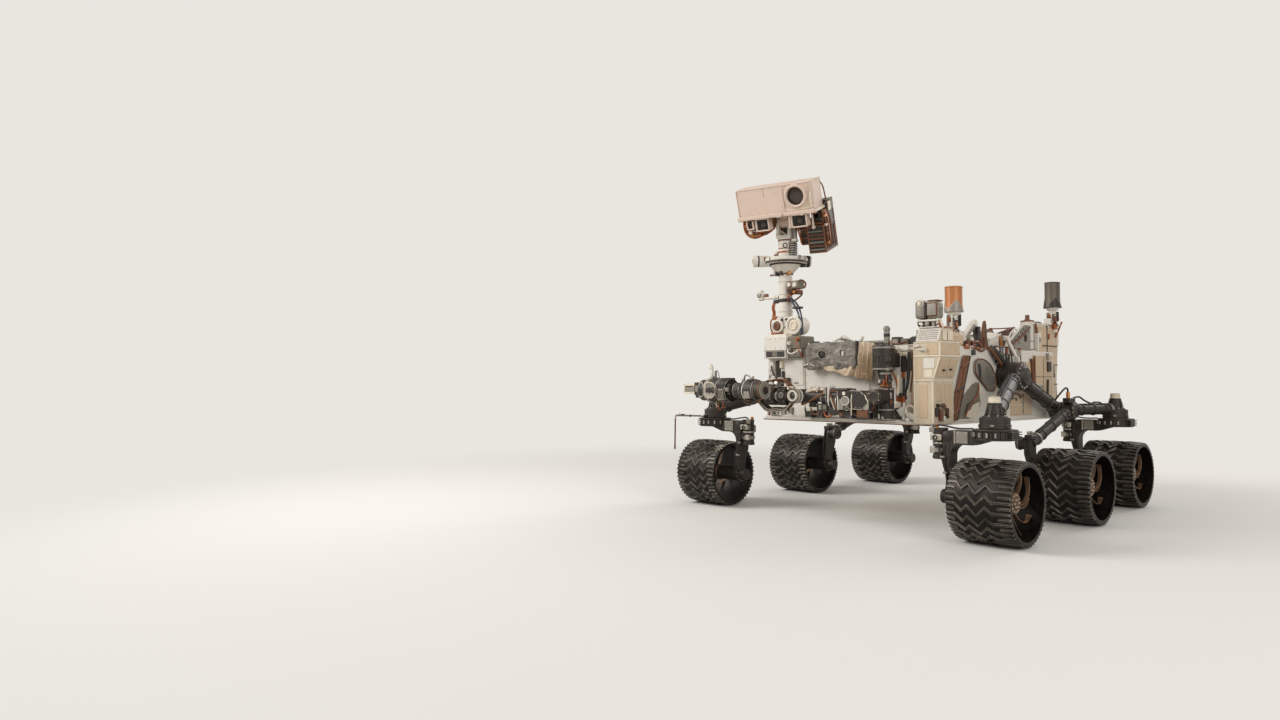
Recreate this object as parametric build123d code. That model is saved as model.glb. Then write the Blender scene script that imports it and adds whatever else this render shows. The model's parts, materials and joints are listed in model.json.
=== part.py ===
from build123d import *
import os
from math import cos, radians, sin, tan

os.makedirs("parts", exist_ok=True)

# Six-wheeled planetary rover: +X forward, +Y to its left, +Z up, millimetres.
# The origin is on the ground, below the middle axle's centre.

# Wheels: a thin drum with one flat for each chevron lug, a hub and curved spokes
wheel_r = 250
wheel_width = 400
wheel_wall = 8
wheel_lip = 14
lug_height = 12.5
lug_thick = 11
lug_angle = 13
lug_count = 24
lug_sink = 6
lug_inset = 2
hub_r = 66
hub_length = 186
hub_inset = 62
spoke_count = 6
spoke_thick = 9
spoke_width = 62
spoke_sweep = 38
spoke_inset = 12
spin_gap = 0.5

# Where the wheels stand, as (distance ahead of the middle axle, half track)
front_wheel_x = 1190
front_wheel_y = 1180
middle_wheel_y = 1180
rear_wheel_x = -1160
rear_wheel_y = 1080

# Wheel drives, and the steered forks that carry them
drive_r = 54
motor_r = 43
motor_length = 60
fork_foot_gap = 45
fork_foot_thick = 40
fork_foot_height = 75
fork_leg_gap = 70
fork_leg_thick = 50
fork_knee_z = 470
fork_depth = 96
fork_drum_r = 120
fork_drum_height = 68
fork_drum_gap = 115
fork_arm_drop = 38
fork_arm_height = 90
fork_inner_bend = 70
fork_outer_bend = 50
knee_bend = 50
knee_motor_r = 46
knee_motor_length = 190
knee_motor_step = 40

# Steering actuators: a bolted base, a tapered tower and a cap
tower_base_r = 90
tower_base_height = 31
tower_low_r = 62
tower_top_r = 40
tower_height = 130
tower_cap_r = 34
tower_cap_height = 40

# Body: a box with a flange below and a deck above
body_front = 1100
body_rear = -920
body_half = 700
body_bottom = 720
body_top = 1238
body_chamfer = 18
flange_reach = 20
flange_thick = 14
deck_thick = 14
deck_inset = 8
pad_x = 420
pad_y = -120
pad_spacing = 160
pad_hole_r = 3.3

# Rocker and bogie arms
rocker_tube_r = 46
rocker_room = 50
pivot_x = 45
pivot_z = 1045
pivot_hub_r = 105
pivot_cap_r = 70
pivot_cap_thick = 22
hub_wall = 14
bogie_tube_r = 40
bogie_pivot_x = -720
bogie_pivot_z = 778
bogie_pivot_r = 62
bogie_hub_width = 98
bogie_knee_z = 545
bogie_boss_r = 45
bogie_boss_length = 66
collar_height = 40
seat_gap = 0.3

# Front cover, and the housing that wraps the body's front left corner
cover_y0 = -280
cover_y1 = 180
cover_depth = 80
cover_z0 = 1100
cover_z1 = 1300
cover_edge = 22
boss_y = -125
boss_z = 1195
boss_r = 46
boss_height = 16
corner_length = 270
corner_reach_x = 38
corner_reach_low = 44
corner_reach_high = 96
corner_inner = 96
corner_low_z = 1020
corner_high_z = 1174
corner_top_z = 1267
grille_height = 94
grille_lean = 40

# Instruments along the left edge of the deck, as distances from the body's side
hump_x0 = 560
hump_x1 = 860
hump_width = 160
hump_height = 110
edge_inset = 20
camera_x = 1030
camera_size = 84
camera_length = 104
camera_height = 142
camera_lift = 62
camera_gap = 6
camera_post_r = 20
panel_x0 = 30
panel_x1 = 215
panel_height = 107
panel_width = 130
link_inset = 40
link_r = 26
link_low = 52
link_high = 180
can_neck_share = 0.45
can_cone = 40
fin_x0 = 223
fin_x1 = 312
fin_height = 200
fin_thick = 14
truss_x0 = -516
truss_x1 = -80
truss_height = 210
truss_thick = 14
whip_x = -580
whip_r = 50
whip_height = 250
whip_tip_r = 14
whip_tip_height = 48

# Left side: a shield plate, a pair of slanting tubes, and the front right whisker
shield_length = 340
shield_low = 180
shield_height = 265
shield_thick = 14
shield_corner = 60
side_tube_r = 12
side_tube_step = 48
whisker_reach_x = 330
whisker_reach_y = 140
whisker_drop = 270
whisker_r = 7
whisker_ball_r = 9

# Differential, and the small cameras at the body's lower edges
beam_back = 70
beam_half = 34
beam_lift = 62
beam_thick = 44
beam_post_r = 58
link_inner = 10
link_rod_r = 13
hazard_size = 60
hazard_height = 50
hazard_lift = 20
hazard_front = (-250, -150, 150, 250)
hazard_rear = (-330, 330)

# Rear cabinets and the power source between them
cabinet_y0 = 420
cabinet_y1 = 540
cabinet_length = 490
cabinet_bottom = 840
cabinet_top = 1500
source_r = 120
source_fin_r = 292
source_length = 560
source_x = -1060
source_z = 1150
source_tilt = 12
source_fins = 8
source_fin_thick = 12

# Mast: fixed foot and trunk, a ring and neck that turn, a head that tilts
mast_x = 985
mast_y = -600
mast_foot_height = 125
mast_overhang = 55
mast_foot_width = 218
mast_foot_back = 85
mast_foot_side = 82
mast_foot_edge = 26
mast_lip = 65
mast_hip_z = 1445
mast_hip_depth = 92
mast_hip_height = 76
mast_hip_proud = 20
mast_box_gap = 2
mast_box_width = 128
knob_rise = 240
knob_reach = 180
knob_r = 26
sensor_length = 110
sensor_width = 150
mast_tube_r = 54
mast_ring_r = 172
mast_ring_z = 1946
mast_ring_thick = 44
mast_cone_r = 128
mast_cone_height = 84
pan_motor_r = 44
neck_r = 56
neck_height = 170
tilt_z = 2286
tilt_barrel_r = 44
tilt_barrel_width = 72
cheek_thick = 22
head_depth = 200
head_width = 630
head_height = 220
head_clear = 90
head_forward = 60
head_pan = 15
head_pitch = 20
head_edge = 9
ledge_reach = 16
ledge_thick = 24
window_r = 70
window_rim = 14
window_side = 180
window_share = 0.56
eye_depth = 72
eye_rim_share = 0.14
housing_y0 = 200
housing_drop = 335
housing_room = 118
housing_back = 150
housing_rise = 60

# Arm: an upright shoulder, then links that fold side by side in planes of their own
shoulder_x = 1215
shoulder_y = 440
shoulder_z = 900
shoulder_r = 52
shoulder_low = 800
shoulder_high = 1080
arm_top_r = 74
arm_top_back = 24
arm_top_side = 34
arm_top_height = 170
arm_bottom_r = 56
arm_bottom_height = 62
bracket_half = 40
bracket_low = 24
bracket_high = 120
upper_r = 42
upper_length = 623
upper_drum_r = 47
upper_box_y = 184
upper_box_length = 110
upper_box_drop = 108
upper_plate_thick = 12
elbow_r = 50
forearm_r = 36
forearm_length = 385
fore_box_half = 68
link_gap = 8
barrel_lap = 3
wrist_r = 46
turret_r = 92
turret_gap = 30
turret_rise = 40
turret_shaft_r = 30
saddle_shaft_r = 20
saddle_r = 54
saddle_width = 68


def across_x(radius, x0, x1, y, z):
    return Pos((x0 + x1) / 2, y, z) * Rot(0, 90, 0) * Cylinder(radius, abs(x1 - x0))


def across_y(radius, y0, y1, x, z):
    return Pos(x, (y0 + y1) / 2, z) * Rot(90, 0, 0) * Cylinder(radius, abs(y1 - y0))


def upright(radius, z0, z1, x=0, y=0):
    return Pos(x, y, (z0 + z1) / 2) * Cylinder(radius, z1 - z0)


def block(x0, x1, y0, y1, z0, z1):
    size = Box(abs(x1 - x0), abs(y1 - y0), abs(z1 - z0))
    return Pos((x0 + x1) / 2, (y0 + y1) / 2, (z0 + z1) / 2) * size


def rod(start, end, radius):
    run = Vector(*end) - Vector(*start)
    stick = Cylinder(radius, run.length, align=(Align.CENTER, Align.CENTER, Align.MIN))
    return Plane(origin=start, z_dir=run) * stick


def save(node, shape):
    shape.label = node
    export_step(shape, "parts/" + node + ".step")


# Wheel: the drum is a ring with one flat for each lug, and a lip inside each rim
half_width = wheel_width / 2
wheel_tip_r = wheel_r + lug_height


def flat_ring(outer, inner, width):
    face = RegularPolygon(outer, lug_count, major_radius=False)
    face = face - RegularPolygon(inner, lug_count, major_radius=False)
    ring = Rot(90, 0, 0) * extrude(face, amount=width / 2, both=True)
    return Rot(0, 180 / lug_count, 0) * ring


wheel = flat_ring(wheel_r, wheel_r - wheel_wall, wheel_width)
for side in (1, -1):
    lip = flat_ring(wheel_r - 1, wheel_r - wheel_wall - wheel_lip, wheel_wall)
    wheel = wheel + Pos(0, side * (half_width - wheel_wall / 2), 0) * lip

# Lugs: each is a chevron that points one way round the drum
lug_shift = half_width * tan(radians(lug_angle)) / 2
lug_half = lug_thick / cos(radians(lug_angle)) / 2
lug_end = half_width - lug_inset
lug_face = make_face(
    Polyline(
        (-lug_shift - lug_half, -lug_end),
        (-lug_shift + lug_half, -lug_end),
        (lug_shift + lug_half, 0),
        (-lug_shift + lug_half, lug_end),
        (-lug_shift - lug_half, lug_end),
        (lug_shift - lug_half, 0),
        close=True,
    )
)
lug = Pos(0, 0, wheel_r - lug_sink) * extrude(lug_face, amount=lug_height + lug_sink)
wheel = wheel + [Rot(0, n * 360 / lug_count, 0) * lug for n in range(lug_count)]

# Hub on the inboard side, with spokes that curve out to the drum
hub_y0 = -hub_inset
wheel = wheel + across_y(hub_r, hub_y0, hub_y0 + hub_length, 0, 0)
spoke_root = hub_r - 4
spoke_end = wheel_r - wheel_wall + 3
spoke_mid = (spoke_root + spoke_end) / 2
spoke_y = hub_y0 + hub_length - spoke_width - spoke_inset
for n in range(spoke_count):
    turn = n * 360 / spoke_count
    lean = radians(spoke_sweep)
    line = ThreePointArc(
        (spoke_root, 0),
        (spoke_mid * cos(lean * 0.75), spoke_mid * sin(lean * 0.75)),
        (spoke_end * cos(lean), spoke_end * sin(lean)),
    )
    strap = extrude(trace(line, spoke_thick), amount=spoke_width)
    strap = Pos(0, spoke_y + spoke_width, 0) * Rot(90, 0, 0) * strap
    wheel = wheel + Rot(0, turn, 0) * strap

wheel_z = wheel_tip_r

wheel_table = (
    # name, x, half track, side
    ("front_left", front_wheel_x, front_wheel_y, 1),
    ("front_right", front_wheel_x, front_wheel_y, -1),
    ("middle_left", 0, middle_wheel_y, 1),
    ("middle_right", 0, middle_wheel_y, -1),
    ("rear_left", rear_wheel_x, rear_wheel_y, 1),
    ("rear_right", rear_wheel_x, rear_wheel_y, -1),
)

wheel_right = mirror(wheel, about=Plane.XZ)
for name, x, y, side in wheel_table:
    shape = wheel if side > 0 else wheel_right
    save("wheel_" + name, Pos(x, side * y, wheel_z) * shape)

# Fork: a drum under the actuator, an arm inboard, and a leg that bends out to the hub.
# It is drawn about the steering axis, with the outboard side at +Y.
foot_y1 = -half_width - fork_foot_gap
foot_y0 = foot_y1 - fork_foot_thick
foot_top = wheel_z + fork_foot_height
leg_y1 = -half_width - fork_leg_gap
leg_y0 = leg_y1 - fork_leg_thick
fork_drum_z = wheel_z + wheel_tip_r + fork_drum_gap
steer_z = fork_drum_z + fork_drum_height
fork_arm_z0 = fork_drum_z - fork_arm_drop
fork_arm_z1 = fork_arm_z0 + fork_arm_height
leg_points = [
    (leg_y0, fork_knee_z),
    (foot_y0, foot_top),
    (foot_y0, wheel_z),
    (foot_y1, wheel_z),
    (foot_y1, foot_top),
    (leg_y1, fork_knee_z),
]


def round_corner(face, y, z, radius):
    near = [v for v in face.vertices() if abs(v.X - y) < 1 and abs(v.Y - z) < 1]
    return fillet(near, radius)


def leg_solid(points, bends):
    face = make_face(Polyline(*points, close=True))
    for y, z, radius in bends:
        face = round_corner(face, y, z, radius)
    return extrude(Plane.YZ * face, amount=fork_depth / 2, both=True)


knee_bends = [(leg_y0, fork_knee_z, knee_bend), (leg_y1, fork_knee_z, knee_bend)]
fork_points = leg_points + [
    (leg_y1, fork_arm_z0),
    (-fork_drum_r, fork_arm_z0),
    (0, fork_drum_z),
    (0, fork_arm_z1),
    (leg_y0, fork_arm_z1),
]
fork_bends = knee_bends + [(leg_y1, fork_arm_z0, fork_inner_bend), (leg_y0, fork_arm_z1, fork_outer_bend)]
foot_boss = across_y(fork_depth / 2 + 10, foot_y0, foot_y1, 0, wheel_z)
fork = leg_solid(fork_points, fork_bends) + foot_boss
fork = fork + upright(fork_drum_r, fork_drum_z, steer_z - spin_gap)
knee_motor_y = leg_y0 - knee_motor_step
knee_motor_z0 = fork_arm_z1 - knee_motor_length
fork = fork + upright(knee_motor_r, knee_motor_z0, fork_arm_z1, 0, knee_motor_y)

drive_end = hub_y0 - spin_gap
drive = across_y(drive_r, foot_y1, drive_end, 0, wheel_z)
motor = across_y(motor_r, foot_y0 - motor_length, foot_y0, 0, wheel_z)

# Steering actuator
tower_z = steer_z + tower_base_height
cap_z = tower_z + tower_height
tower = upright(tower_base_r, steer_z, tower_z)
tower = tower + Pos(0, 0, tower_z + tower_height / 2) * Cone(tower_low_r, tower_top_r, tower_height)
tower = tower + upright(tower_cap_r, cap_z, cap_z + tower_cap_height)

steered = [row for row in wheel_table if not row[0].startswith("middle")]
middle = [row for row in wheel_table if row[0].startswith("middle")]


def handed(shape, side):
    return shape if side > 0 else mirror(shape, about=Plane.XZ)


towers = []
for name, x, y, side in steered:
    place = Pos(x, side * y, 0)
    save("fork_" + name, place * handed(fork, side))
    save("drive_" + name, place * handed(Compound(children=[drive, motor]), side))
    towers.append(place * tower)
save("steering_actuators", Compound(children=towers))

# Rocker: a hub on the body's side, one arm to the front actuator and one to the bogie
pivot_y = body_half + rocker_room + rocker_tube_r
hub_y1 = pivot_y + rocker_tube_r + hub_wall
arm_end_z = tower_z + rocker_tube_r - 4
pivot = (pivot_x, pivot_y, pivot_z)
actuator_room = upright(tower_low_r + seat_gap, tower_z - 1, cap_z + 60)
base_room = upright(tower_base_r + 200, steer_z - 90, tower_z)
collar = upright(tower_base_r, tower_z, tower_z + collar_height)
front_place = Pos(front_wheel_x, front_wheel_y, 0)
rocker = rod(pivot, (front_wheel_x, front_wheel_y, arm_end_z), rocker_tube_r)
rocker = rocker + rod(pivot, (bogie_pivot_x, pivot_y, bogie_pivot_z), rocker_tube_r)
rocker = rocker + across_y(pivot_hub_r, body_half, hub_y1, pivot_x, pivot_z)
rocker = rocker + across_y(pivot_cap_r, hub_y1, hub_y1 + pivot_cap_thick, pivot_x, pivot_z)
bogie_hub_y0 = pivot_y + rocker_tube_r
bogie_hub_y1 = bogie_hub_y0 + bogie_hub_width
rocker = rocker + across_y(bogie_pivot_r, pivot_y - rocker_tube_r, bogie_hub_y0, bogie_pivot_x, bogie_pivot_z)
rocker = rocker + front_place * (collar - actuator_room)
rocker = rocker - front_place * (actuator_room + base_room)

# Bogie: a hub on the rocker, an arm down to the middle drive, one to the rear actuator
bogie_y = (bogie_hub_y0 + bogie_hub_y1) / 2
bogie_pivot = (bogie_pivot_x, bogie_y, bogie_pivot_z)
middle_leg_y = middle_wheel_y + (leg_y0 + leg_y1) / 2
rear_place = Pos(rear_wheel_x, rear_wheel_y, 0)
middle_place = Pos(0, middle_wheel_y, 0)
middle_points = leg_points + [(leg_y1, bogie_knee_z), (leg_y0, bogie_knee_z)]
middle_leg = leg_solid(middle_points, knee_bends) + foot_boss
middle_leg = middle_leg + across_y(fork_depth / 2, leg_y0, leg_y1, 0, bogie_knee_z)
boss_start = leg_y0 - bogie_boss_length
middle_leg = middle_leg + across_y(bogie_boss_r, boss_start, leg_y0, 0, bogie_knee_z)
bogie = rod(bogie_pivot, (0, middle_leg_y, bogie_knee_z), bogie_tube_r) + middle_place * middle_leg
bogie = bogie + rod(bogie_pivot, (rear_wheel_x, rear_wheel_y, arm_end_z), bogie_tube_r)
bogie = bogie + across_y(bogie_pivot_r, bogie_hub_y0, bogie_hub_y1, bogie_pivot_x, bogie_pivot_z)
bogie = bogie + rear_place * (collar - actuator_room)
bogie = bogie - rear_place * (actuator_room + base_room)

for word, side in (("left", 1), ("right", -1)):
    save("rocker_" + word, handed(rocker, side))
    save("bogie_" + word, handed(bogie, side))

middle_drives = []
for name, x, y, side in middle:
    middle_drives.append(Pos(x, side * y, 0) * handed(drive, side))
    middle_drives.append(Pos(x, side * y, 0) * handed(motor, side))
save("middle_drives", Compound(children=middle_drives))

# Body
body = block(body_rear, body_front, -body_half, body_half, body_bottom, body_top)
body = chamfer(body.edges().filter_by(Axis.Z), body_chamfer)
save("chassis_body", body)
flange_z0 = body_bottom - flange_thick
belly = block(
    body_rear - flange_reach,
    body_front + flange_reach,
    -body_half - flange_reach,
    body_half + flange_reach,
    flange_z0,
    body_bottom,
)
save("belly_flange", belly)
deck_z = body_top + deck_thick
deck = block(
    body_rear + deck_inset,
    body_front - deck_inset,
    -body_half + deck_inset,
    body_half - deck_inset,
    body_top,
    deck_z,
)
for dx in (-0.5, 0.5):
    for dy in (-0.5, 0.5):
        hole_x = pad_x + dx * pad_spacing
        hole_y = pad_y + dy * pad_spacing
        deck = deck - upright(pad_hole_r, body_top - 1, deck_z + 1, hole_x, hole_y)
save("deck_plate", deck)

# Front cover: a padded box over the upper front, with a boss for a round port
cover = block(body_front, body_front + cover_depth, cover_y0, cover_y1, cover_z0, cover_z1)
cover = chamfer(cover.faces().sort_by(Axis.X)[-1].edges(), cover_edge)
cover_face = body_front + cover_depth
cover = cover + across_x(boss_r, cover_face - 2, cover_face + boss_height, boss_y, boss_z)
save("front_cover", cover)

# Corner housing: a flared shell round the front left corner, with a leaning top block
corner_x1 = body_front + corner_reach_x
corner_x0 = corner_x1 - corner_length
corner_y0 = body_half - corner_inner
corner_y1 = body_half + corner_reach_high
corner_face = make_face(
    Polyline(
        (corner_y0, body_bottom),
        (body_half + corner_reach_low, body_bottom),
        (body_half + corner_reach_low, corner_low_z),
        (corner_y1, corner_high_z),
        (corner_y1, corner_top_z),
        (corner_y0, corner_top_z),
        close=True,
    )
)
corner = Pos(corner_x0, 0, 0) * extrude(Plane.YZ * corner_face, amount=corner_length)
grille_face = make_face(
    Polyline(
        (corner_x0 + 60, corner_top_z - 1),
        (corner_x1 - 14, corner_top_z - 1),
        (corner_x1 - 14 - grille_lean, corner_top_z + grille_height),
        (corner_x0 + 60, corner_top_z + grille_height),
        close=True,
    )
)
grille_width = corner_y1 - corner_y0 - 26
corner = corner + Pos(0, corner_y0 + 8, 0) * extrude(Plane.XZ * grille_face, amount=-grille_width)
corner = corner - block(body_rear, body_front, -body_half, body_half, body_bottom - 1, deck_z)
save("corner_housing", corner)

# Deck camera: two rounded housings on a short post above the corner housing
camera_y = corner_y0 + 56
post_z = corner_top_z + grille_height
camera_z = post_z + camera_lift
deck_camera = upright(camera_post_r, post_z, camera_z + 10, camera_x, camera_y)
for side in (1, -1):
    y = camera_y + side * (camera_size + camera_gap) / 2
    eye = Pos(camera_x, y, camera_z + camera_height / 2) * Box(camera_length, camera_size, camera_height)
    deck_camera = deck_camera + chamfer(eye.edges(), 12)
bridge = Pos(camera_x, camera_y, camera_z + 17) * Box(60, 80, 26)
deck_camera = deck_camera + bridge
save("deck_camera", deck_camera)

# Instruments along the deck's left edge
edge_y = body_half - edge_inset
hump_y0 = edge_y - hump_width
hump_z = deck_z + hump_height
hump = block(hump_x0, hump_x1, hump_y0, edge_y, deck_z, hump_z)
hump = fillet(hump.faces().sort_by(Axis.Z)[-1].edges().filter_by(Axis.Y), 40)
save("deck_instrument", hump)

can_table = (
    # name, x, y, foot z, can z, radius, height
    ("antenna_can_front", hump_x0 + 48, hump_y0 + 98, hump_z, hump_z + 143, 64, 183),
    ("antenna_can_rear", -1330, (cabinet_y0 + cabinet_y1) / 2 + 50, cabinet_top, 1660, 72, 226),
)
for name, x, y, foot_z, can_z, radius, height in can_table:
    can = upright(radius, can_z, can_z + height, x, y)
    can_foot_r = radius * can_neck_share
    can = can + Pos(x, y, can_z - can_cone / 2) * Cone(can_foot_r, radius, can_cone)
    can = can + upright(can_foot_r, foot_z, can_z, x, y)
    save(name, can)

edge_plate_y = edge_y - fin_thick
panel_box = block(panel_x0, panel_x1, edge_y - panel_width, edge_y, deck_z, deck_z + panel_height)
link_x0 = fin_x1 + 60
link_x1 = hump_x0 - 30
link_y = edge_y - link_inset
link_start = (link_x1, link_y, deck_z + link_low)
link_stop = (link_x0, link_y, deck_z + link_high)
bar = rod(link_start, link_stop, link_r)
bar = bar + block(link_x1 - 40, link_x1 + 20, link_y - 30, link_y + 30, deck_z, deck_z + link_low + 8)
fin = block(fin_x0, fin_x1, edge_plate_y, edge_y, deck_z, deck_z + fin_height)
fin = chamfer(fin.faces().sort_by(Axis.Z)[-1].edges().filter_by(Axis.Y), 30)
save("deck_fittings", Compound(children=[panel_box, bar, fin]))

whip = upright(whip_r, deck_z, deck_z + whip_height, whip_x, edge_y - whip_r)
whip_top = deck_z + whip_height
whip = whip + upright(whip_tip_r, whip_top, whip_top + whip_tip_height, whip_x, edge_y - whip_r)
save("whip_antenna", whip)

# Deck truss: a ramped gusset plate with lightening holes
truss_z = deck_z + truss_height
truss_face = make_face(
    Polyline(
        (truss_x1, deck_z),
        (truss_x1 - 60, deck_z + 60),
        (truss_x0 + 120, truss_z),
        (truss_x0, truss_z),
        (truss_x0, deck_z),
        close=True,
    )
)
for n in range(3):
    share = (n + 0.7) / 3.4
    hole_x = truss_x0 + share * (truss_x1 - truss_x0)
    hole_z = deck_z + 0.42 * truss_height * (1.35 - share)
    truss_face = truss_face - Pos(hole_x, hole_z) * Circle(34 - 6 * n)
truss_plate = extrude(Plane.XZ * truss_face, amount=-truss_thick)
save("deck_truss", Pos(0, edge_plate_y, 0) * truss_plate)

# Left side: a curved shield plate ahead of the pivot, and a pair of slanting tubes
shield_x0 = pivot_x + pivot_hub_r + 20
shield_x1 = shield_x0 + shield_length
shield_z0 = body_bottom + shield_low
shield_z1 = shield_z0 + shield_height
shield = block(shield_x0, shield_x1, body_half, body_half + shield_thick, shield_z0, shield_z1)
shield = fillet(shield.edges().filter_by(Axis.Y), shield_corner)
side_pieces = [shield]
for n in range(2):
    tube_y = body_half + side_tube_r + seat_gap
    start = (shield_x1 + 80 + n * side_tube_step, tube_y, body_top - 60)
    stop = (corner_x0 - 80 + n * side_tube_step, tube_y, body_bottom + 16)
    side_pieces.append(rod(start, stop, side_tube_r))
save("side_fittings", Compound(children=side_pieces))

# Whisker: a thin rod out from the front right actuator, with a drop rod at its end
whisker_z = steer_z + 14
whisker_start = (front_wheel_x + tower_base_r - 4, -front_wheel_y - 8, whisker_z)
whisker_stop = (front_wheel_x + whisker_reach_x, -front_wheel_y - whisker_reach_y, whisker_z + 8)
whisker_tip = (whisker_stop[0], whisker_stop[1], whisker_z - whisker_drop)
whisker = rod(whisker_start, whisker_stop, whisker_r)
whisker = whisker + rod(whisker_stop, whisker_tip, whisker_r - 1)
whisker = whisker + Pos(*whisker_stop) * Sphere(whisker_ball_r)
whisker_seat = upright(tower_base_r + seat_gap, steer_z - 1, tower_z + 1)
whisker = whisker - Pos(front_wheel_x, -front_wheel_y, 0) * whisker_seat
save("side_whisker", whisker)

# Differential: a beam across the deck on a centre post, with a link at each end
beam_x = pivot_x - beam_back
beam_z = deck_z + beam_lift
beam_y = body_half - link_inner
beam = block(beam_x - beam_half, beam_x + beam_half, -beam_y, beam_y, beam_z, beam_z + beam_thick)
beam = beam + upright(beam_post_r, deck_z, beam_z + beam_lift, beam_x, 0)
save("differential_beam", beam)
links = []
for side in (1, -1):
    ball = (beam_x, side * (beam_y + 22), beam_z + beam_thick / 2)
    low = (beam_x, side * (pivot_y - 10), pivot_z + pivot_hub_r + 26)
    link = rod(ball, low, link_rod_r)
    lug_y0 = ball[1] - side * 22
    lug_y1 = ball[1] + side * 14
    link = link + block(beam_x - 14, beam_x + 14, lug_y0, lug_y1, beam_z + 6, beam_z + 38)
    horn_y0 = side * (pivot_y - 30)
    horn_y1 = side * (pivot_y + 6)
    horn = block(beam_x - 16, beam_x + 16, horn_y0, horn_y1, pivot_z + 60, low[2] + 16)
    hub_room = across_y(pivot_hub_r + seat_gap, side * body_half, side * hub_y1, pivot_x, pivot_z)
    links.append(link + horn - hub_room)
save("differential_links", Compound(children=links))

# Rear cabinets: tall panels behind the body, either side of the power source
cabinet_face = make_face(
    Polyline(
        (body_rear, cabinet_bottom),
        (body_rear, cabinet_top),
        (body_rear - cabinet_length + 90, cabinet_top),
        (body_rear - cabinet_length, cabinet_top - 130),
        (body_rear - cabinet_length + 60, cabinet_bottom),
        close=True,
    )
)
cabinet = extrude(Plane.XZ * cabinet_face, amount=-(cabinet_y1 - cabinet_y0))
cabinets = [Pos(0, cabinet_y0, 0) * cabinet, Pos(0, -cabinet_y1, 0) * cabinet]
save("rear_cabinets", Compound(children=cabinets))

# Power source: a finned drum that leans back and up, on a bracket
source = Cylinder(source_r, source_length, align=(Align.CENTER, Align.CENTER, Align.MIN))
for n in range(source_fins):
    fin = Box(source_fin_r - source_r + 6, source_fin_thick, source_length * 0.86)
    fin = Pos((source_fin_r + source_r) / 2, 0, source_length / 2) * fin
    source = source + Rot(0, 0, (n + 0.5) * 360 / source_fins) * fin
source = Pos(source_x, 0, source_z) * Rot(0, -90 + source_tilt, 0) * source
save("power_source", source)
source_bracket = rod((body_rear, 0, source_z - 30), (source_x, 0, source_z), source_r * 0.8)
source_bracket = source_bracket - block(body_rear, 0, -400, 400, 700, 1500)
bracket_cut = Pos(source_x, 0, source_z) * Rot(0, -90 + source_tilt, 0) * Cylinder(
    400, 400, align=(Align.CENTER, Align.CENTER, Align.MIN)
)
save("power_bracket", source_bracket - bracket_cut)

# Hazard cameras: two pairs of small housings below the front edge, and the rear
hazard = []
hazard_z0 = body_bottom + hazard_lift
hazard_z1 = hazard_z0 + hazard_height
hazard_half = hazard_size / 2
hazard_table = (
    # face of the body, outer face, places across the body
    (body_front, body_front + hazard_size, hazard_front),
    (body_rear, body_rear - hazard_size, hazard_rear),
)
for x0, x1, places in hazard_table:
    for y in places:
        hazard.append(block(x0, x1, y - hazard_half, y + hazard_half, hazard_z0, hazard_z1))
save("hazard_cameras", Compound(children=hazard))

# Mast foot: a box that overhangs the front, with two round hinge covers above it
foot_x1 = body_front + mast_overhang
foot_y0 = mast_y - mast_foot_side
foot_y2 = foot_y0 + mast_foot_width
foot_z = deck_z + mast_foot_height
lip_z = deck_z - mast_lip
hip_z1 = mast_hip_z + mast_hip_height
hip_x0 = mast_x - mast_hip_depth / 2
hip_x1 = hip_x0 + mast_hip_depth
foot = block(mast_x - mast_foot_back, foot_x1, foot_y0, foot_y2, deck_z, foot_z)
foot = chamfer(foot.faces().sort_by(Axis.Z)[-1].edges(), mast_foot_edge)
foot = foot + block(body_front, foot_x1, foot_y0, foot_y2, lip_z, deck_z + 1)
hip_face = make_face(
    Polyline(
        (mast_y - 40, foot_z - 2),
        (mast_y + 90, foot_z - 2),
        (mast_y + 160, mast_hip_z),
        (mast_y + mast_tube_r, hip_z1),
        (mast_y - mast_tube_r, hip_z1),
        (mast_y - 90, mast_hip_z),
        close=True,
    )
)
foot = foot + Pos(hip_x0, 0, 0) * extrude(Plane.YZ * hip_face, amount=mast_hip_depth)
hip_table = (
    # y from the mast, radius of the round cover
    (-30, 52),
    (130, 70),
)
for y, radius in hip_table:
    foot = foot + across_x(radius, hip_x0, hip_x1 + mast_hip_proud, mast_y + y, mast_hip_z)
save("mast_foot", foot)

# Mast trunk, with a cone under the ring
ring_low = mast_ring_z - spin_gap
cone_z = ring_low - mast_cone_height
trunk = upright(mast_tube_r, hip_z1, cone_z + 4, mast_x, mast_y)
cone = Cone(mast_tube_r, mast_cone_r, mast_cone_height)
trunk = trunk + Pos(mast_x, mast_y, cone_z + mast_cone_height / 2) * cone
save("mast_trunk", trunk)

# Fittings: a cable box beside the foot, a side arm with a knob, and a boxed sensor
box_x1 = foot_x1 - 20
box_y0 = foot_y2 + mast_box_gap
box_y1 = box_y0 + mast_box_width
cable_box = block(mast_x - 20, box_x1, box_y0, box_y1, deck_z, foot_z - 20)
cable_box = cable_box + block(body_front, box_x1, box_y0, box_y1, lip_z, deck_z + 1)
knob_x = mast_x + 20
knob_y = mast_y - mast_tube_r - knob_reach
knob_z = mast_hip_z + knob_rise
side_arm = rod((knob_x, knob_y, knob_z), (knob_x, mast_y - mast_tube_r + 20, knob_z), 12)
side_arm = side_arm + upright(knob_r, knob_z - 14, knob_z + 66, knob_x, knob_y)
sensor_x0 = mast_x - 50
sensor_y0 = mast_y + 40
sensor_z0 = knob_z + 6
sensor_x1 = sensor_x0 + sensor_length
sensor_y1 = sensor_y0 + sensor_width
sensor = block(sensor_x0, sensor_x1, sensor_y0, sensor_y1, sensor_z0, sensor_z0 + 110)
trunk_room = upright(mast_tube_r + seat_gap, knob_z - 100, knob_z + 200, mast_x, mast_y)
save("mast_fittings", Compound(children=[cable_box, side_arm - trunk_room, sensor - trunk_room]))

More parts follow.
